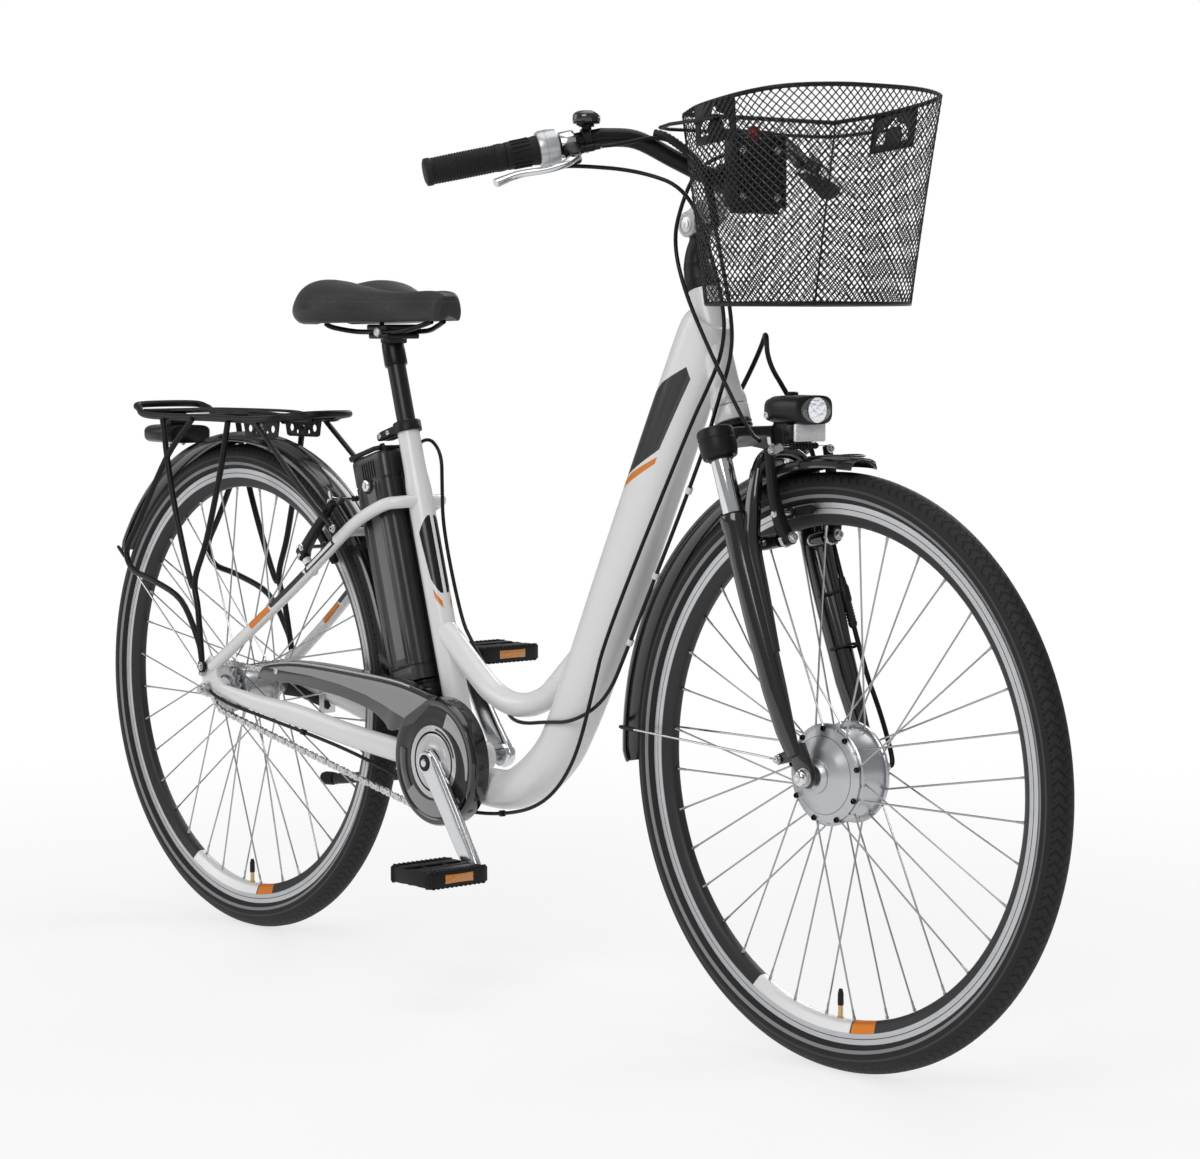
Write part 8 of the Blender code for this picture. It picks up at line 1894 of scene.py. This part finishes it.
housing = round_bar("shifter_shell", RIGHT, [
    (0.0114, 0.1314), (0.0192, 0.1314), (0.0206, 0.1322), (0.0214, 0.1350), (0.0214, 0.1400),
    (0.0208, 0.1405),
    (0.0208, 0.1412), (0.0214, 0.1417), (0.0213, 0.1500), (0.0204, 0.1548), (0.0190, 0.1560),
    (0.0114, 0.1560)],
    72, ring=True)
shifter_parts = [painted(housing, shifter_silver)]
top_way = (square_way * 0.92 + other_way * 0.38).normalized()
if top_way.dot(Vector((-1, 0, 0))) < 0:
    top_way = (square_way * 0.92 - other_way * 0.38).normalized()
window_line = [grip_point(RIGHT, 0.1355) + top_way * 0.0206, grip_point(RIGHT, 0.1475) + top_way * 0.0206]
shifter_parts.append(painted(swept("gear_window", window_line, 0.0052, 0.0014, 24,
    top_way.cross(sleeve_axis), 4.0), screw_black))
shifter_parts.append(painted(swept("gear_pointer", [
    grip_point(RIGHT, 0.1380) + top_way * 0.0214, grip_point(RIGHT, 0.1450) + top_way * 0.0214], 0.0008,
    0.0006, 8, top_way.cross(sleeve_axis)), shifter_silver))
outlet = grip_point(RIGHT, 0.1440, 0.0057, -0.0195)
outlet_to = grip_point(RIGHT, 0.1590, 0.0058, -0.0240)
shifter_parts.append(painted(turned("cable_outlet",
    [(0.0062, -0.004), (0.0056, 0.003), (0.0044, 0.012), (0.0038, 0.015)],
                                    outlet, outlet_to - outlet, 24), black_plastic))
shifter_parts.append(screw("shifter_screw", grip_point(RIGHT, 0.1530, -0.0195),
    mirrored(GRIP_REACH, RIGHT) * -1, 0.0026, 0.0020, screw_steel))
fitted(joined("shifter_shell_and_window", shifter_parts), "cockpit", "shifter_plastic", "shifter_housing")

# Brake levers: a black bracket clamped on the bar by a silver strap, with a knurled black barrel adjuster,
# holds a polished two-finger blade with a flat curled tip.
for word, side, start in (("right", RIGHT, 0.158), ("left", LEFT, 0.131)):
    normal_way = mirrored(GRIP_NORMAL, side)
    reach_way = mirrored(GRIP_REACH, side)
    line_way = mirrored(GRIP_LINE, side)
    strap = round_bar("lever_strap", side, [(0.0113, start + 0.0005), (0.0148, start + 0.0005),
        (0.0155, start + 0.0015), (0.0155, start + 0.0165), (0.0148, start + 0.0180),
                                            (0.0113, start + 0.0180)], 48, ring=True)
    bracket_parts = [painted(strap, polished)]
    middle = start + 0.011
    bracket_parts.append(painted(swept("lever_body", [
        grip_point(side, middle, 0.0120), grip_point(side, middle, 0.0160),
        grip_point(side, middle, 0.0205),
        grip_point(side, middle, 0.0245)], [0.0080, 0.0086, 0.0086, 0.0078],
        [0.0105, 0.0110, 0.0108, 0.0100], 28,
        normal_way, 3.5), arm_black))
    for normal in (0.0063, -0.0063):
        bracket_parts.append(painted(swept("lever_ear", [
            grip_point(side, middle, 0.0180, normal), grip_point(side, middle, 0.0280, normal),
            grip_point(side, middle, 0.0360, normal), grip_point(side, middle, 0.0402, normal)],
            [0.0014] * 4, [0.0084, 0.0082, 0.0068, 0.0040], 16, normal_way, 4.0), arm_black))
    for sign in (1, -1):
        bracket_parts.append(screw("lever_pin", grip_point(side, middle, 0.034, sign * 0.0064),
            normal_way * sign, 0.0032, 0.0012, screw_steel, 0.5))
    bracket_parts.append(screw("strap_screw", grip_point(side, start + 0.009, -0.0150), reach_way * -1,
        0.0030, 0.0022, screw_steel))
    barrel_from, barrel_to = grip_point(side, start + 0.018, 0.0200), grip_point(side, start + 0.0448,
        0.0220)
    barrel_way = barrel_to - barrel_from
    bracket_parts.append(painted(turned("barrel", [
        (0.0038, 0), (0.0038, 0.0070), (0.0045, 0.0078), (0.0045, 0.0180), (0.0040, 0.0190),
        (0.0036, 0.0195),
        (0.0034, 0.0262)], barrel_from, barrel_way, 20), black_plastic))
    bracket_parts.append(painted(turned("barrel_nut", [(0.0052, 0.0036), (0.0052, 0.0062)], barrel_from,
        barrel_way, 12, bevel=0.0003), black_plastic))
    fitted(joined(f"{word}_lever_bracket_and_strap", bracket_parts), "cockpit", "brake_aluminium",
           f"{word}_lever_bracket")
    route = rounded([grip_point(side, start + 0.011, 0.034), grip_point(side, start - 0.006, 0.049),
                     grip_point(side, start - 0.030, 0.054), grip_point(side, start - 0.062, 0.052),
                     grip_point(side, start - 0.092, 0.062)], 8)
    count = len(route)
    wide = [0.0044 - 0.0010 * math.sin(math.pi * i / (count - 1)) for i in range(count)]
    deep = []
    for i in range(count):
        share = i / (count - 1)
        deep.append(0.0062 - 0.0014 * min(1,
            share * 3) + (0.0012 * ((share - 0.85) / 0.15) if share > 0.85 else 0))
    blade = swept("lever_blade", route, wide, deep, 24, normal_way, 3.2)
    lever_parts = [blade, turned("lever_eye",
        [(0.0026, -0.0044), (0.0060, -0.0044), (0.0062, 0.0), (0.0060, 0.0044),
                                               (0.0026, 0.0044)], grip_point(side, middle, 0.034),
                                               normal_way, 32,
                                 ring=True)]
    for share in (0.30, 0.52):
        spot = route[int(share * (count - 1))]
        lever_parts.append(swept("lever_ridge", [spot + normal_way * 0.0030 - line_way * 0.009,
                                                 spot + normal_way * 0.0038, spot + normal_way * 0.0030
                                                 + line_way * 0.009], 0.0012, 0.0010, 10))
    for piece in lever_parts:
        painted(piece, polished)
    fitted(joined(f"{word}_lever_blade", lever_parts), f"{word}_lever", "brake_aluminium",
        f"{word}_brake_lever")

# Bell: a black domed cap with a fine groove over a black base, strapped round the bar by a moulded band,
# with a short thumb lever under the dome.
bell_gloss = drifting("bell_gloss_black", (0.008, 0.008, 0.009), 0.14, grain=300.0, depth=0.01, coat=0.8)
bell_middle = grip_point(RIGHT, 0.191)
bell_parts = [painted(turned("bell_dome", [
    (0.0150, 0.0212), (0.0162, 0.0216), (0.0165, 0.0226), (0.0165, 0.0262), (0.0161, 0.0267),
    (0.0165, 0.0272),
    (0.0164, 0.0285), (0.0155, 0.0308), (0.0138, 0.0326), (0.0108, 0.0340), (0.0070, 0.0348),
    (0.0030, 0.0350)],
    bell_middle, UP, 64), bell_gloss)]
bell_parts.append(painted(turned("bell_base", [(0.0148, 0.0194), (0.0158, 0.0197), (0.0158, 0.0211),
    (0.0150, 0.0214)], bell_middle, UP, 48), black_plastic))
bell_parts.append(painted(turned("bell_post", [(0.0060, 0.0120), (0.0060, 0.0200)], bell_middle, UP, 24),
                          black_plastic))
bell_parts.append(painted(round_bar("bell_strap", RIGHT, [
    (0.0113, 0.1862), (0.0132, 0.1860), (0.0140, 0.1868), (0.0140, 0.1952), (0.0132, 0.1960),
    (0.0113, 0.1958)],
    40, ring=True), black_plastic))
bell_parts.append(screw("bell_screw", bell_middle - UP * 0.0130, -UP, 0.0026, 0.0020, screw_steel))
fitted(joined("bell_dome_and_strap", bell_parts), "cockpit", "black_metal", "bell")
push_way = mirrored(GRIP_REACH - GRIP_LINE * 0.6, RIGHT).normalized()
push_way.z = 0
thumb = [bell_middle + push_way * reach + UP * 0.0173 for reach in (0.0080, 0.0150, 0.0220, 0.0280,
    0.0300)]
thumb_parts = [turned("thumb_eye", [(0.0064, 0.0158), (0.0090, 0.0158), (0.0092, 0.0174), (0.0090, 0.0190),
                                    (0.0064, 0.0190)], bell_middle, UP, 40, ring=True),
               swept("thumb_arm", thumb, [0.0034, 0.0030, 0.0034, 0.0042, 0.0034],
                     [0.0013, 0.0013, 0.0016, 0.0018, 0.0014], 16, UP.cross(push_way), 3.0)]
for k in range(3):
    spot = bell_middle + push_way * (0.0225 + 0.0025 * k) + UP * 0.0190
    across_way = UP.cross(push_way).normalized()
    thumb_parts.append(rod("thumb_ridge", spot - across_way * 0.0026, spot + across_way * 0.0026,
        0.0005, 8))
fitted(joined("bell_thumb_lever", [painted(piece, black_plastic) for piece in thumb_parts]),
    "bell_striker", "adapter_plastic", "bell_lever")

# Basket adapter: a black moulded plate with a ribbed face, on two split rings that are screwed round the
# bar, and a red push button that slides in its top.
adapter_black = drifting("adapter_black", (0.013, 0.013, 0.014), 0.40, grain=1000.0, depth=0.10)
left_wall = block("adapter_left", at(1.0652, 0.0086, 1.0052), at(1.0730, 0.0380, 1.0950), 0.0018)
right_wall = block("adapter_right", at(1.0652, -0.0380, 1.0052), at(1.0730, -0.0086, 1.0950), 0.0018)
bridge = block("adapter_middle", at(1.0656, -0.0100, 1.0058), at(1.0727, 0.0100, 1.0760), 0.0010)
adapter_parts = [left_wall, right_wall, bridge]
for k in range(7):
    z = 1.0140 + 0.0105 * k
    adapter_parts.append(block("face_rib", at(1.0640, -0.0340, z), at(1.0656, 0.0340, z + 0.0020), 0.0005))
for side in (RIGHT, LEFT):
    near, far = sorted((side * 0.0236, side * 0.0324))
    adapter_parts.append(turned("bar_ring", [(0.0131, near), (0.0168, near), (0.0175, near + 0.0010),
                                             (0.0175, far - 0.0010), (0.0168, far), (0.0131, far)],
                                             BAR_CENTRE,
                                SIDEWAYS, 48, ring=True))
    adapter_parts.append(block("ring_lug", at(1.0575, near + 0.0002, 1.0385),
        at(1.0660, far - 0.0002, 1.0556), 0.0010))
for piece in adapter_parts:
    painted(piece, adapter_black)
for side in (RIGHT, LEFT):
    adapter_parts.append(screw("ring_screw", BAR_CENTRE + Vector((-0.0171, side * 0.0280, 0.0)),
        Vector((-1, 0, 0)), 0.0032, 0.0022, screw_steel))
fitted(joined("basket_adapter_plate", adapter_parts), "cockpit", "adapter_plastic", "basket_adapter")
red_plastic = drifting("red_plastic", (0.46, 0.014, 0.012), 0.30, grain=900.0, depth=0.05, coat=0.3)
button_parts = [block("button_body", at(1.0668, -0.0080, 1.0812), at(1.0712, 0.0080, 1.1088), 0.0014)]
for k in range(4):
    button_parts.append(block("button_ridge", at(1.0662, -0.0062, 1.0985 + 0.0024 * k),
                              at(1.0670, 0.0062, 1.0995 + 0.0024 * k), 0.0003))
fitted(joined("release_button", [painted(piece, red_plastic) for piece in button_parts]), "release_button",
       "red_plastic", "basket_release_button")

# Basket: black-coated expanded steel mesh stretched between a thick rim wire and a bottom wire, pressed
# side plates with a finger hole, a mesh floor, and a hooked plate behind that slides on the adapter.
basket_coat = drifting("basket_black", (0.010, 0.010, 0.011), 0.34, grain=520.0, depth=0.10)
RIM_SLOPE = 0.13
BASKET_REAR = 1.078
RIM_HALF = ((1.078, 0.125), (1.130, 0.147), (1.205, 0.150), (1.255, 0.128), (1.280, 0.070), (1.285, 0.0))
FLOOR_HALF = ((1.080, 0.088), (1.115, 0.118), (1.190, 0.120), (1.235, 0.098), (1.255, 0.050), (1.258, 0.0))
FLOOR_HEIGHT = 0.8955
BASKET_MIDDLE = at(1.170, 0, FLOOR_HEIGHT + 0.0012)


def basket_loop(outline, height, slope, inset):
    """The basket's outline at one level, from its left rear corner round the front to its right one."""
    half = []
    for x, out in outline:
        pull = 1 - inset / 0.10
        half.append(at(1.170 + (x - 1.170) * pull, out * pull, height + slope * (x - BASKET_REAR)))
    return rounded(half + [mirrored(point, RIGHT) for point in reversed(half[:-1])], 4)


def evenly(loop, count, closed=True):
    """A loop's points again, a steady distance apart."""
    route = loop + [loop[0]] if closed else loop
    lengths = [0.0]
    for first, second in zip(route, route[1:]):
        lengths.append(lengths[-1] + (second - first).length)
    found, k = [], 0
    total = count if closed else count - 1
    for i in range(count):
        want = lengths[-1] * i / total
        while k < len(route) - 2 and lengths[k + 1] < want:
            k += 1
        span = lengths[k + 1] - lengths[k]
        found.append(route[k].lerp(route[k + 1], (want - lengths[k]) / span if span else 0))
    return found


def strand_faces(base):
    """The four long faces of a strand of mesh whose eight points start here."""
    return [(base + k, base + (k + 1) % 4, base + 4 + (k + 1) % 4, base + 4 + k) for k in range(4)]


def strand_net(name, top, foot, rows, half, thin):
    """Expanded mesh: flat strands that cross each other in diamonds between two loops."""
    count = len(top)
    points, faces = [], []
    for lean in (1, -1):
        for i in range(0, count, 2):
            strand = []
            for row in range(rows + 1):
                j = (i + lean * row) % count
                strand.append(top[j].lerp(foot[j], row / rows))
            for first, second in zip(strand, strand[1:]):
                way = (second - first).normalized()
                outward = Vector((first.x - BASKET_MIDDLE.x, first.y, 0)).normalized()
                across = way.cross(outward).normalized() * half
                deep = outward * thin * lean
                faces += strand_faces(len(points))
                for spot in (first, second):
                    points += [spot - across, spot + across, spot + across + deep, spot - across + deep]
    return drawn(name, points, (), faces)


MESH_COUNT, MESH_ROWS = 172, 50
rim_loop = basket_loop(RIM_HALF, 1.1175, RIM_SLOPE, 0.0010)
floor_loop = basket_loop(FLOOR_HALF, FLOOR_HEIGHT + 0.0015, 0.0, 0.0010)
top_points, foot_points = evenly(rim_loop, MESH_COUNT), evenly(floor_loop, MESH_COUNT)
net = strand_net("basket_net", top_points, foot_points, MESH_ROWS, 0.00068, 0.0006)
basket_parts = [painted(net, basket_coat)]
floor_points, floor_faces = [], []
bounds_x = (at(1.082, 0, 0).x, at(1.256, 0, 0).x)


def floor_half(x):
    """Half the floor's width at this place along it."""
    forward = x + HALF_WHEELBASE
    for (first_x, first_out), (next_x, next_out) in zip(FLOOR_HALF, FLOOR_HALF[1:]):
        if first_x <= forward <= next_x:
            return first_out + (next_out - first_out) * (forward - first_x) / (next_x - first_x)
    return 0.0


for lean in (1, -1):
    for k in range(-34, 35):
        strand = []
        for step in range(60):
            x = bounds_x[0] + (bounds_x[1] - bounds_x[0]) * step / 59
            y = 0.0085 * k + lean * (x - BASKET_MIDDLE.x) * 0.55
            if abs(y) < floor_half(x) - 0.001:
                strand.append(Vector((x, y, BASKET_MIDDLE.z)))
        if len(strand) > 2:
            first, last = strand[0], strand[-1]
            way = (last - first).normalized()
            across = way.cross(UP) * 0.0006
            thick = UP * 0.0005 * (1.5 + lean)
            floor_faces += strand_faces(len(floor_points))
            for spot in (first, last):
                floor_points += [spot - across, spot + across, spot + across + thick,
                    spot - across + thick]
basket_parts.append(painted(drawn("floor_net", floor_points, (), floor_faces), basket_coat))
rim_wire = basket_loop(RIM_HALF, 1.1170, RIM_SLOPE, 0.0030)
foot_wire = basket_loop(FLOOR_HALF, FLOOR_HEIGHT + 0.0026, 0.0, 0.0026)


def cornered(loop):
    """A loop whose straight rear run starts and ends beside its corners, so that a wire bends round them."""
    return loop + [loop[-1].lerp(loop[0], 0.015), loop[-1].lerp(loop[0], 0.5),
        loop[-1].lerp(loop[0], 0.985)]


inner_foot = basket_loop(FLOOR_HALF, FLOOR_HEIGHT + 0.0026, 0.0, 0.0400)
for name, loop, radius, sides in (("rim_wire", rim_wire, 0.0027, 16), ("foot_wire", foot_wire, 0.0026, 14),
                                  ("floor_wire", inner_foot, 0.0015, 10)):
    basket_parts.append(painted(swept(name, cornered(loop), radius, sides=sides, across=UP,
        closed=True), basket_coat))
for side in (RIGHT, LEFT):
    top, foot = mirrored(at(1.0800, 0.1240, 1.1160), side), mirrored(at(1.0820, 0.0880, 0.8985), side)
    basket_parts.append(painted(swept("corner_wire", [top, top.lerp(foot, 0.5), foot], 0.0012,
        sides=12), basket_coat))
    wall_top = [mirrored(at(x, out, 1.1195 + RIM_SLOPE * (x - BASKET_REAR)), side) for x, out in (
        (1.132, 0.1462), (1.2045, 0.1490))]
    wall_foot = [mirrored(at(x, out, FLOOR_HEIGHT), side) for x, out in ((1.116, 0.1170), (1.190, 0.1190))]

    def on_wall(share, drop):
        """A place on the basket's side wall: along it from its rear edge, and down from the rim in metres."""
        top_point = wall_top[0].lerp(wall_top[1], share)
        foot_point = wall_foot[0].lerp(wall_foot[1], share)
        return top_point + (foot_point - top_point) * (drop / 0.224)

    outer = [(-0.10, 0.003), (0.84, 0.003), (0.86, 0.006), (0.86, 0.043), (0.83, 0.047), (-0.07, 0.047),
        (-0.10, 0.043)]
    hole_line = [(0.00, 0.038), (0.02, 0.027), (0.12, 0.019), (0.29, 0.0145), (0.33, 0.0085),
        (0.40, 0.0085),
                 (0.44, 0.0145), (0.61, 0.019), (0.71, 0.027), (0.73, 0.038), (0.57, 0.038), (0.56, 0.028),
                 (0.48, 0.0205), (0.32, 0.0205), (0.22, 0.028), (0.21, 0.038)]
    away = SIDEWAYS * side * 0.0012
    shape = [on_wall(*spot) + away for spot in outer]
    back = [point - SIDEWAYS * side * 0.0020 for point in shape]
    side_plate = shaded(lofted("grip_plate", [back, shape]), 0.0004)
    cut = [on_wall(*spot) for spot in hole_line]
    cutter = lofted("hole_cutter", [[point - SIDEWAYS * side * 0.02 for point in cut],
                                    [point + SIDEWAYS * side * 0.02 for point in cut]])
    modify(side_plate, "BOOLEAN", operation="DIFFERENCE", object=cutter, solver="EXACT")
    bpy.data.objects.remove(cutter)
    basket_parts.append(painted(side_plate, basket_coat))
    ring = [point + away * 0.5 for point in cut]
    basket_parts.append(painted(swept("hole_lip", ring, 0.0009, sides=8, closed=True), basket_coat))
hook = [block("hook_plate", at(1.0736, -0.0415, 1.0122), at(1.0760, 0.0415, 1.0898), 0.0008)]
for z in (1.0300, 1.0500, 1.0700):
    hook.append(block("plate_rib", at(1.0755, -0.0380, z), at(1.0790, 0.0380, z + 0.0030), 0.0008))
for side in (RIGHT, LEFT):
    near, far = sorted((side * 0.0386, side * 0.0418))
    hook.append(block("hook_channel", at(1.0614, near, 1.0124), at(1.0812, far, 1.0975), 0.0010))
    near, far = sorted((side * 0.0350, side * 0.0416))
    hook.append(block("hook_lip", at(1.0612, near, 1.0128), at(1.0646, far, 1.0972), 0.0008))
    near, far = sorted((side * 0.0165, side * 0.0415))
    hook.append(block("hook_top", at(1.0614, near, 1.0955), at(1.0812, far, 1.0983), 0.0008))
for piece in hook:
    painted(piece, adapter_black)
basket_parts += hook
for side in (RIGHT, LEFT):
    for z in (1.0250, 1.0800):
        basket_parts += fastener(at(1.0785, side * 0.0280, z), Vector((1, 0, 0)), 0.0034)
fitted(joined("basket_net_and_wires", basket_parts), "basket_body", "basket_paint", "basket")

# Basket handle: one bent wire in black, that turns in the basket's side walls and rests behind its rim,
# with a moulded sleeve in the middle for the hand.
handle_half = [at(1.161, 0.1430, 1.107), at(1.161, 0.1520, 1.107), at(1.158, 0.1545, 1.107),
    at(1.090, 0.1530, 1.104), at(1.062, 0.1430, 1.102), at(1.050, 0.1185, 1.1015)]
handle_line = handle_half + [mirrored(point, RIGHT) for point in reversed(handle_half)]
wire = swept("handle_wire", handle_line, 0.0022, sides=14, across=UP)
sleeve = turned("handle_sleeve", [(0.0024, -0.050), (0.0042, -0.049), (0.0046, -0.030), (0.0048, 0.0),
    (0.0046, 0.030), (0.0042, 0.049), (0.0024, 0.050)], at(1.050, 0, 1.1015), SIDEWAYS, 28)
fitted(joined("basket_wire_handle", [painted(wire, basket_coat), painted(sleeve, grip_rubber)]),
    "basket_bail", "basket_paint", "basket_handle")

# Cables: black plastic sheath over coiled steel in free curves, and the motor's lead down the fork's left
# leg. White clips hold the brake cable on the down tube, and ties hold the lead on the leg.
sheath = drifting("cable_sheath", (0.006, 0.006, 0.0065), 0.30, grain=700.0, depth=0.05)


def flowing(route):
    """A supple curve that cuts the corners of a route and keeps its ends."""
    points = [Vector(point) for point in route]
    for _ in range(3):
        cut = [points[0]]
        for first, second in zip(points, points[1:]):
            cut += [first.lerp(second, 0.25), first.lerp(second, 0.75)]
        points = cut + [points[-1]]
    return points


CABLES = (
    ("front_brake_cable", "fork_upper", 0.0025, [
        grip_point(LEFT, 0.1760, 0.0221), grip_point(LEFT, 0.2010, 0.0260), *[at(*point) for point in (
            (1.018, 0.100, 1.104), (1.024, 0.045, 1.086), (1.018, 0.0, 1.079), (1.000, -0.030, 1.060),
            (0.978, -0.035, 1.018), (0.964, -0.035, 0.975), (0.986, -0.038, 0.9165),
            (1.040, -0.043, 0.840),
            (1.0857, -0.042, 0.775), (1.1100, -0.042, 0.745), (1.1300, -0.048, 0.7385))]]),
    ("rear_brake_cable", "bike", 0.0025, [
        grip_point(RIGHT, 0.2030, 0.0221), grip_point(RIGHT, 0.2240, 0.0270), *[at(*point) for point in (
            (1.020, -0.098, 1.098), (1.052, -0.066, 1.062), (1.060, -0.048, 0.965), (1.070, -0.036, 0.880),
            (1.064, -0.032, 0.835), (1.042, -0.0305, 0.790), (1.0119, -0.0300, 0.7186),
            (0.874, -0.0300, 0.475),
            (0.8338, -0.0300, 0.4066), (0.770, -0.0310, 0.372), (0.705, -0.0280, 0.3660),
            (0.660, -0.0170, 0.3590),
            (0.620, -0.0050, 0.3575), (0.585, 0.0110, 0.3620), (0.560, 0.0200, 0.3850),
            (0.525, 0.0205, 0.4200),
            (0.4960, 0.0205, 0.4520), (0.4790, 0.0165, 0.4800), (0.4415, 0.0150, 0.600),
            (0.4400, 0.0150, 0.660),
            (0.4380, 0.0160, 0.7000), (0.4080, 0.0235, 0.7200), (0.3760, 0.0300, 0.7180),
            (0.3500, 0.0410, 0.7050),
            (0.3180, 0.0470, 0.6800), (0.2960, 0.0540, 0.6560), (0.2900, 0.0560, 0.6420))]]),
    ("shift_cable", "bike", 0.0025, [
        grip_point(RIGHT, 0.1440, 0.0057, -0.0229), grip_point(RIGHT, 0.1760, 0.0060, -0.0270),
        *[at(*point) for point in (
            (0.990, -0.112, 1.056), (1.036, -0.076, 1.034), (1.053, -0.055, 0.960), (1.060, -0.038, 0.885),
            (1.050, -0.034, 0.840), (1.022, -0.0305, 0.800), (0.9900, -0.0300, 0.7550),
            (0.8339, -0.0330, 0.4850),
            (0.8145, -0.0365, 0.4175), (0.787, -0.0375, 0.3400), (0.7512, -0.0330, 0.2950),
            (0.711, -0.0300, 0.2640),
            (0.6599, -0.0280, 0.2440), (0.5761, -0.0240, 0.2310), (0.5000, -0.0240, 0.2330),
            (0.3827, -0.0340, 0.2690),
            (0.2910, -0.0480, 0.2950), (0.1320, -0.0630, 0.3215), (0.0600, -0.0760, 0.3350),
            (0.0260, -0.0790, 0.3450),
            (0.0130, -0.0790, 0.3510))]]),
    ("motor_lead", "fork_lowers", 0.0030, [
        FRONT_AXLE + Vector((0, 0.0774, 0)), FRONT_AXLE + Vector((0.001, 0.0850, 0.002)),
        steer(0.046, 0.0870, 0.025), steer(0.048, 0.0820, 0.070), steer(0.0510, 0.0700, 0.120),
        steer(0.0510, 0.0665, 0.300), steer(0.0540, 0.0665, 0.360), steer(0.0570, 0.0600, 0.415),
        steer(0.0600, 0.0400, 0.460), steer(0.0640, 0.0160, 0.500), *[at(*point) for point in (
            (1.082, 0.008, 0.868), (1.060, 0.022, 0.850), (1.028, 0.0310, 0.815), (0.994, 0.0310, 0.770),
            (0.972, 0.0310, 0.745))]]),
)
for node, body, radius, route in CABLES:
    line = flowing(route)
    cable = painted(swept(node + "_sheath", line, radius, sides=14), sheath)
    fitted(cable, body, "cable_sheath", node)
    length = sum((second - first).length for first, second in zip(line, line[1:]))
    radius * 2
wrap_route = evenly(flowing([at(*point) for point in (
    (1.010, -0.107, 1.0990), (1.022, -0.097, 1.0960), (1.046, -0.071, 1.0690), (1.055, -0.060, 1.0370),
    (1.0585, -0.052, 0.9900))]), 56, False)
wrap = swept("cable_wrap", wrap_route, [0.0048 + 0.0008 * (i % 2) for i in range(len(wrap_route))],
    sides=14)
fitted(painted(wrap, black_plastic), "bike", "cable_sheath")
white_clip = drifting("white_clip", (0.72, 0.72, 0.70), 0.40, grain=700.0, depth=0.06)


def cable_clip(name, spot, way, finish):
    """A moulded ring round a cable."""
    ring = turned("clip_ring", [(0.0027, -0.004), (0.0042, -0.004), (0.0042, 0.004), (0.0027, 0.004)],
        spot, way, 24, ring=True, bevel=0.0003)
    return fitted(joined(name, [painted(ring, finish)]), "bike", "cable_sheath")


down_from, down_to = at(1.0119, -0.0300, 0.7186), at(0.874, -0.0300, 0.475)
for number, share in ((1, 0.18), (2, 0.62), (3, 0.97)):
    cable_clip(f"down_tube_clip_{number}", down_from.lerp(down_to, share), down_to - down_from, white_clip)
for number, (first, second) in enumerate((((0.6599, -0.0280, 0.2440), (0.5761, -0.0240, 0.2310)),
                                          ((0.2910, -0.0480, 0.2950), (0.1320, -0.0630, 0.3215)))):
    first, second = at(*first), at(*second)
    cable_clip(f"stay_clip_{number + 1}", first.lerp(second, 0.5), second - first, black_plastic)
for number, up in enumerate((0.150, 0.215, 0.280)):
    centre = steer(0.0400, 0.0625, up)
    tie_route = [centre + STEER_FRONT * math.cos(a) * 0.0180 + SIDEWAYS * math.sin(a) * 0.0178
                 for a in [2 * math.pi * k / 28 for k in range(28)]]
    tie = swept("tie_band", [point - STEER_FRONT * 0.0045 - SIDEWAYS * 0.0012 for point in tie_route],
        0.0007, 0.0018, 10, STEER_FRONT, 4.0, closed=True)
    head = block("tie_head", centre + Vector((0.012, 0.004, -0.002)),
        centre + Vector((0.0168, 0.0085, 0.0025)), 0.0006)
    fitted(joined(f"fork_tie_{number + 1}", [painted(tie, black_plastic), painted(head, black_plastic)]),
           "fork_lowers", "cable_sheath")
plug_foot, plug_top = steer(0.0510, 0.0685, 0.170), steer(0.0510, 0.0668, 0.232)
plug_profile = [(0.0034, 0), (0.0052, 0.003)]
for k in range(7):
    plug_profile += [(0.0056, 0.006 + 0.0036 * k), (0.0048, 0.0078 + 0.0036 * k)]
plug_profile += [(0.0064, 0.034), (0.0064, 0.050), (0.0052, 0.053), (0.0046, 0.062)]
plug = painted(turned("lead_connector", plug_profile, plug_foot, plug_top - plug_foot, 28), black_plastic)
fitted(plug, "fork_lowers", "cable_sheath")
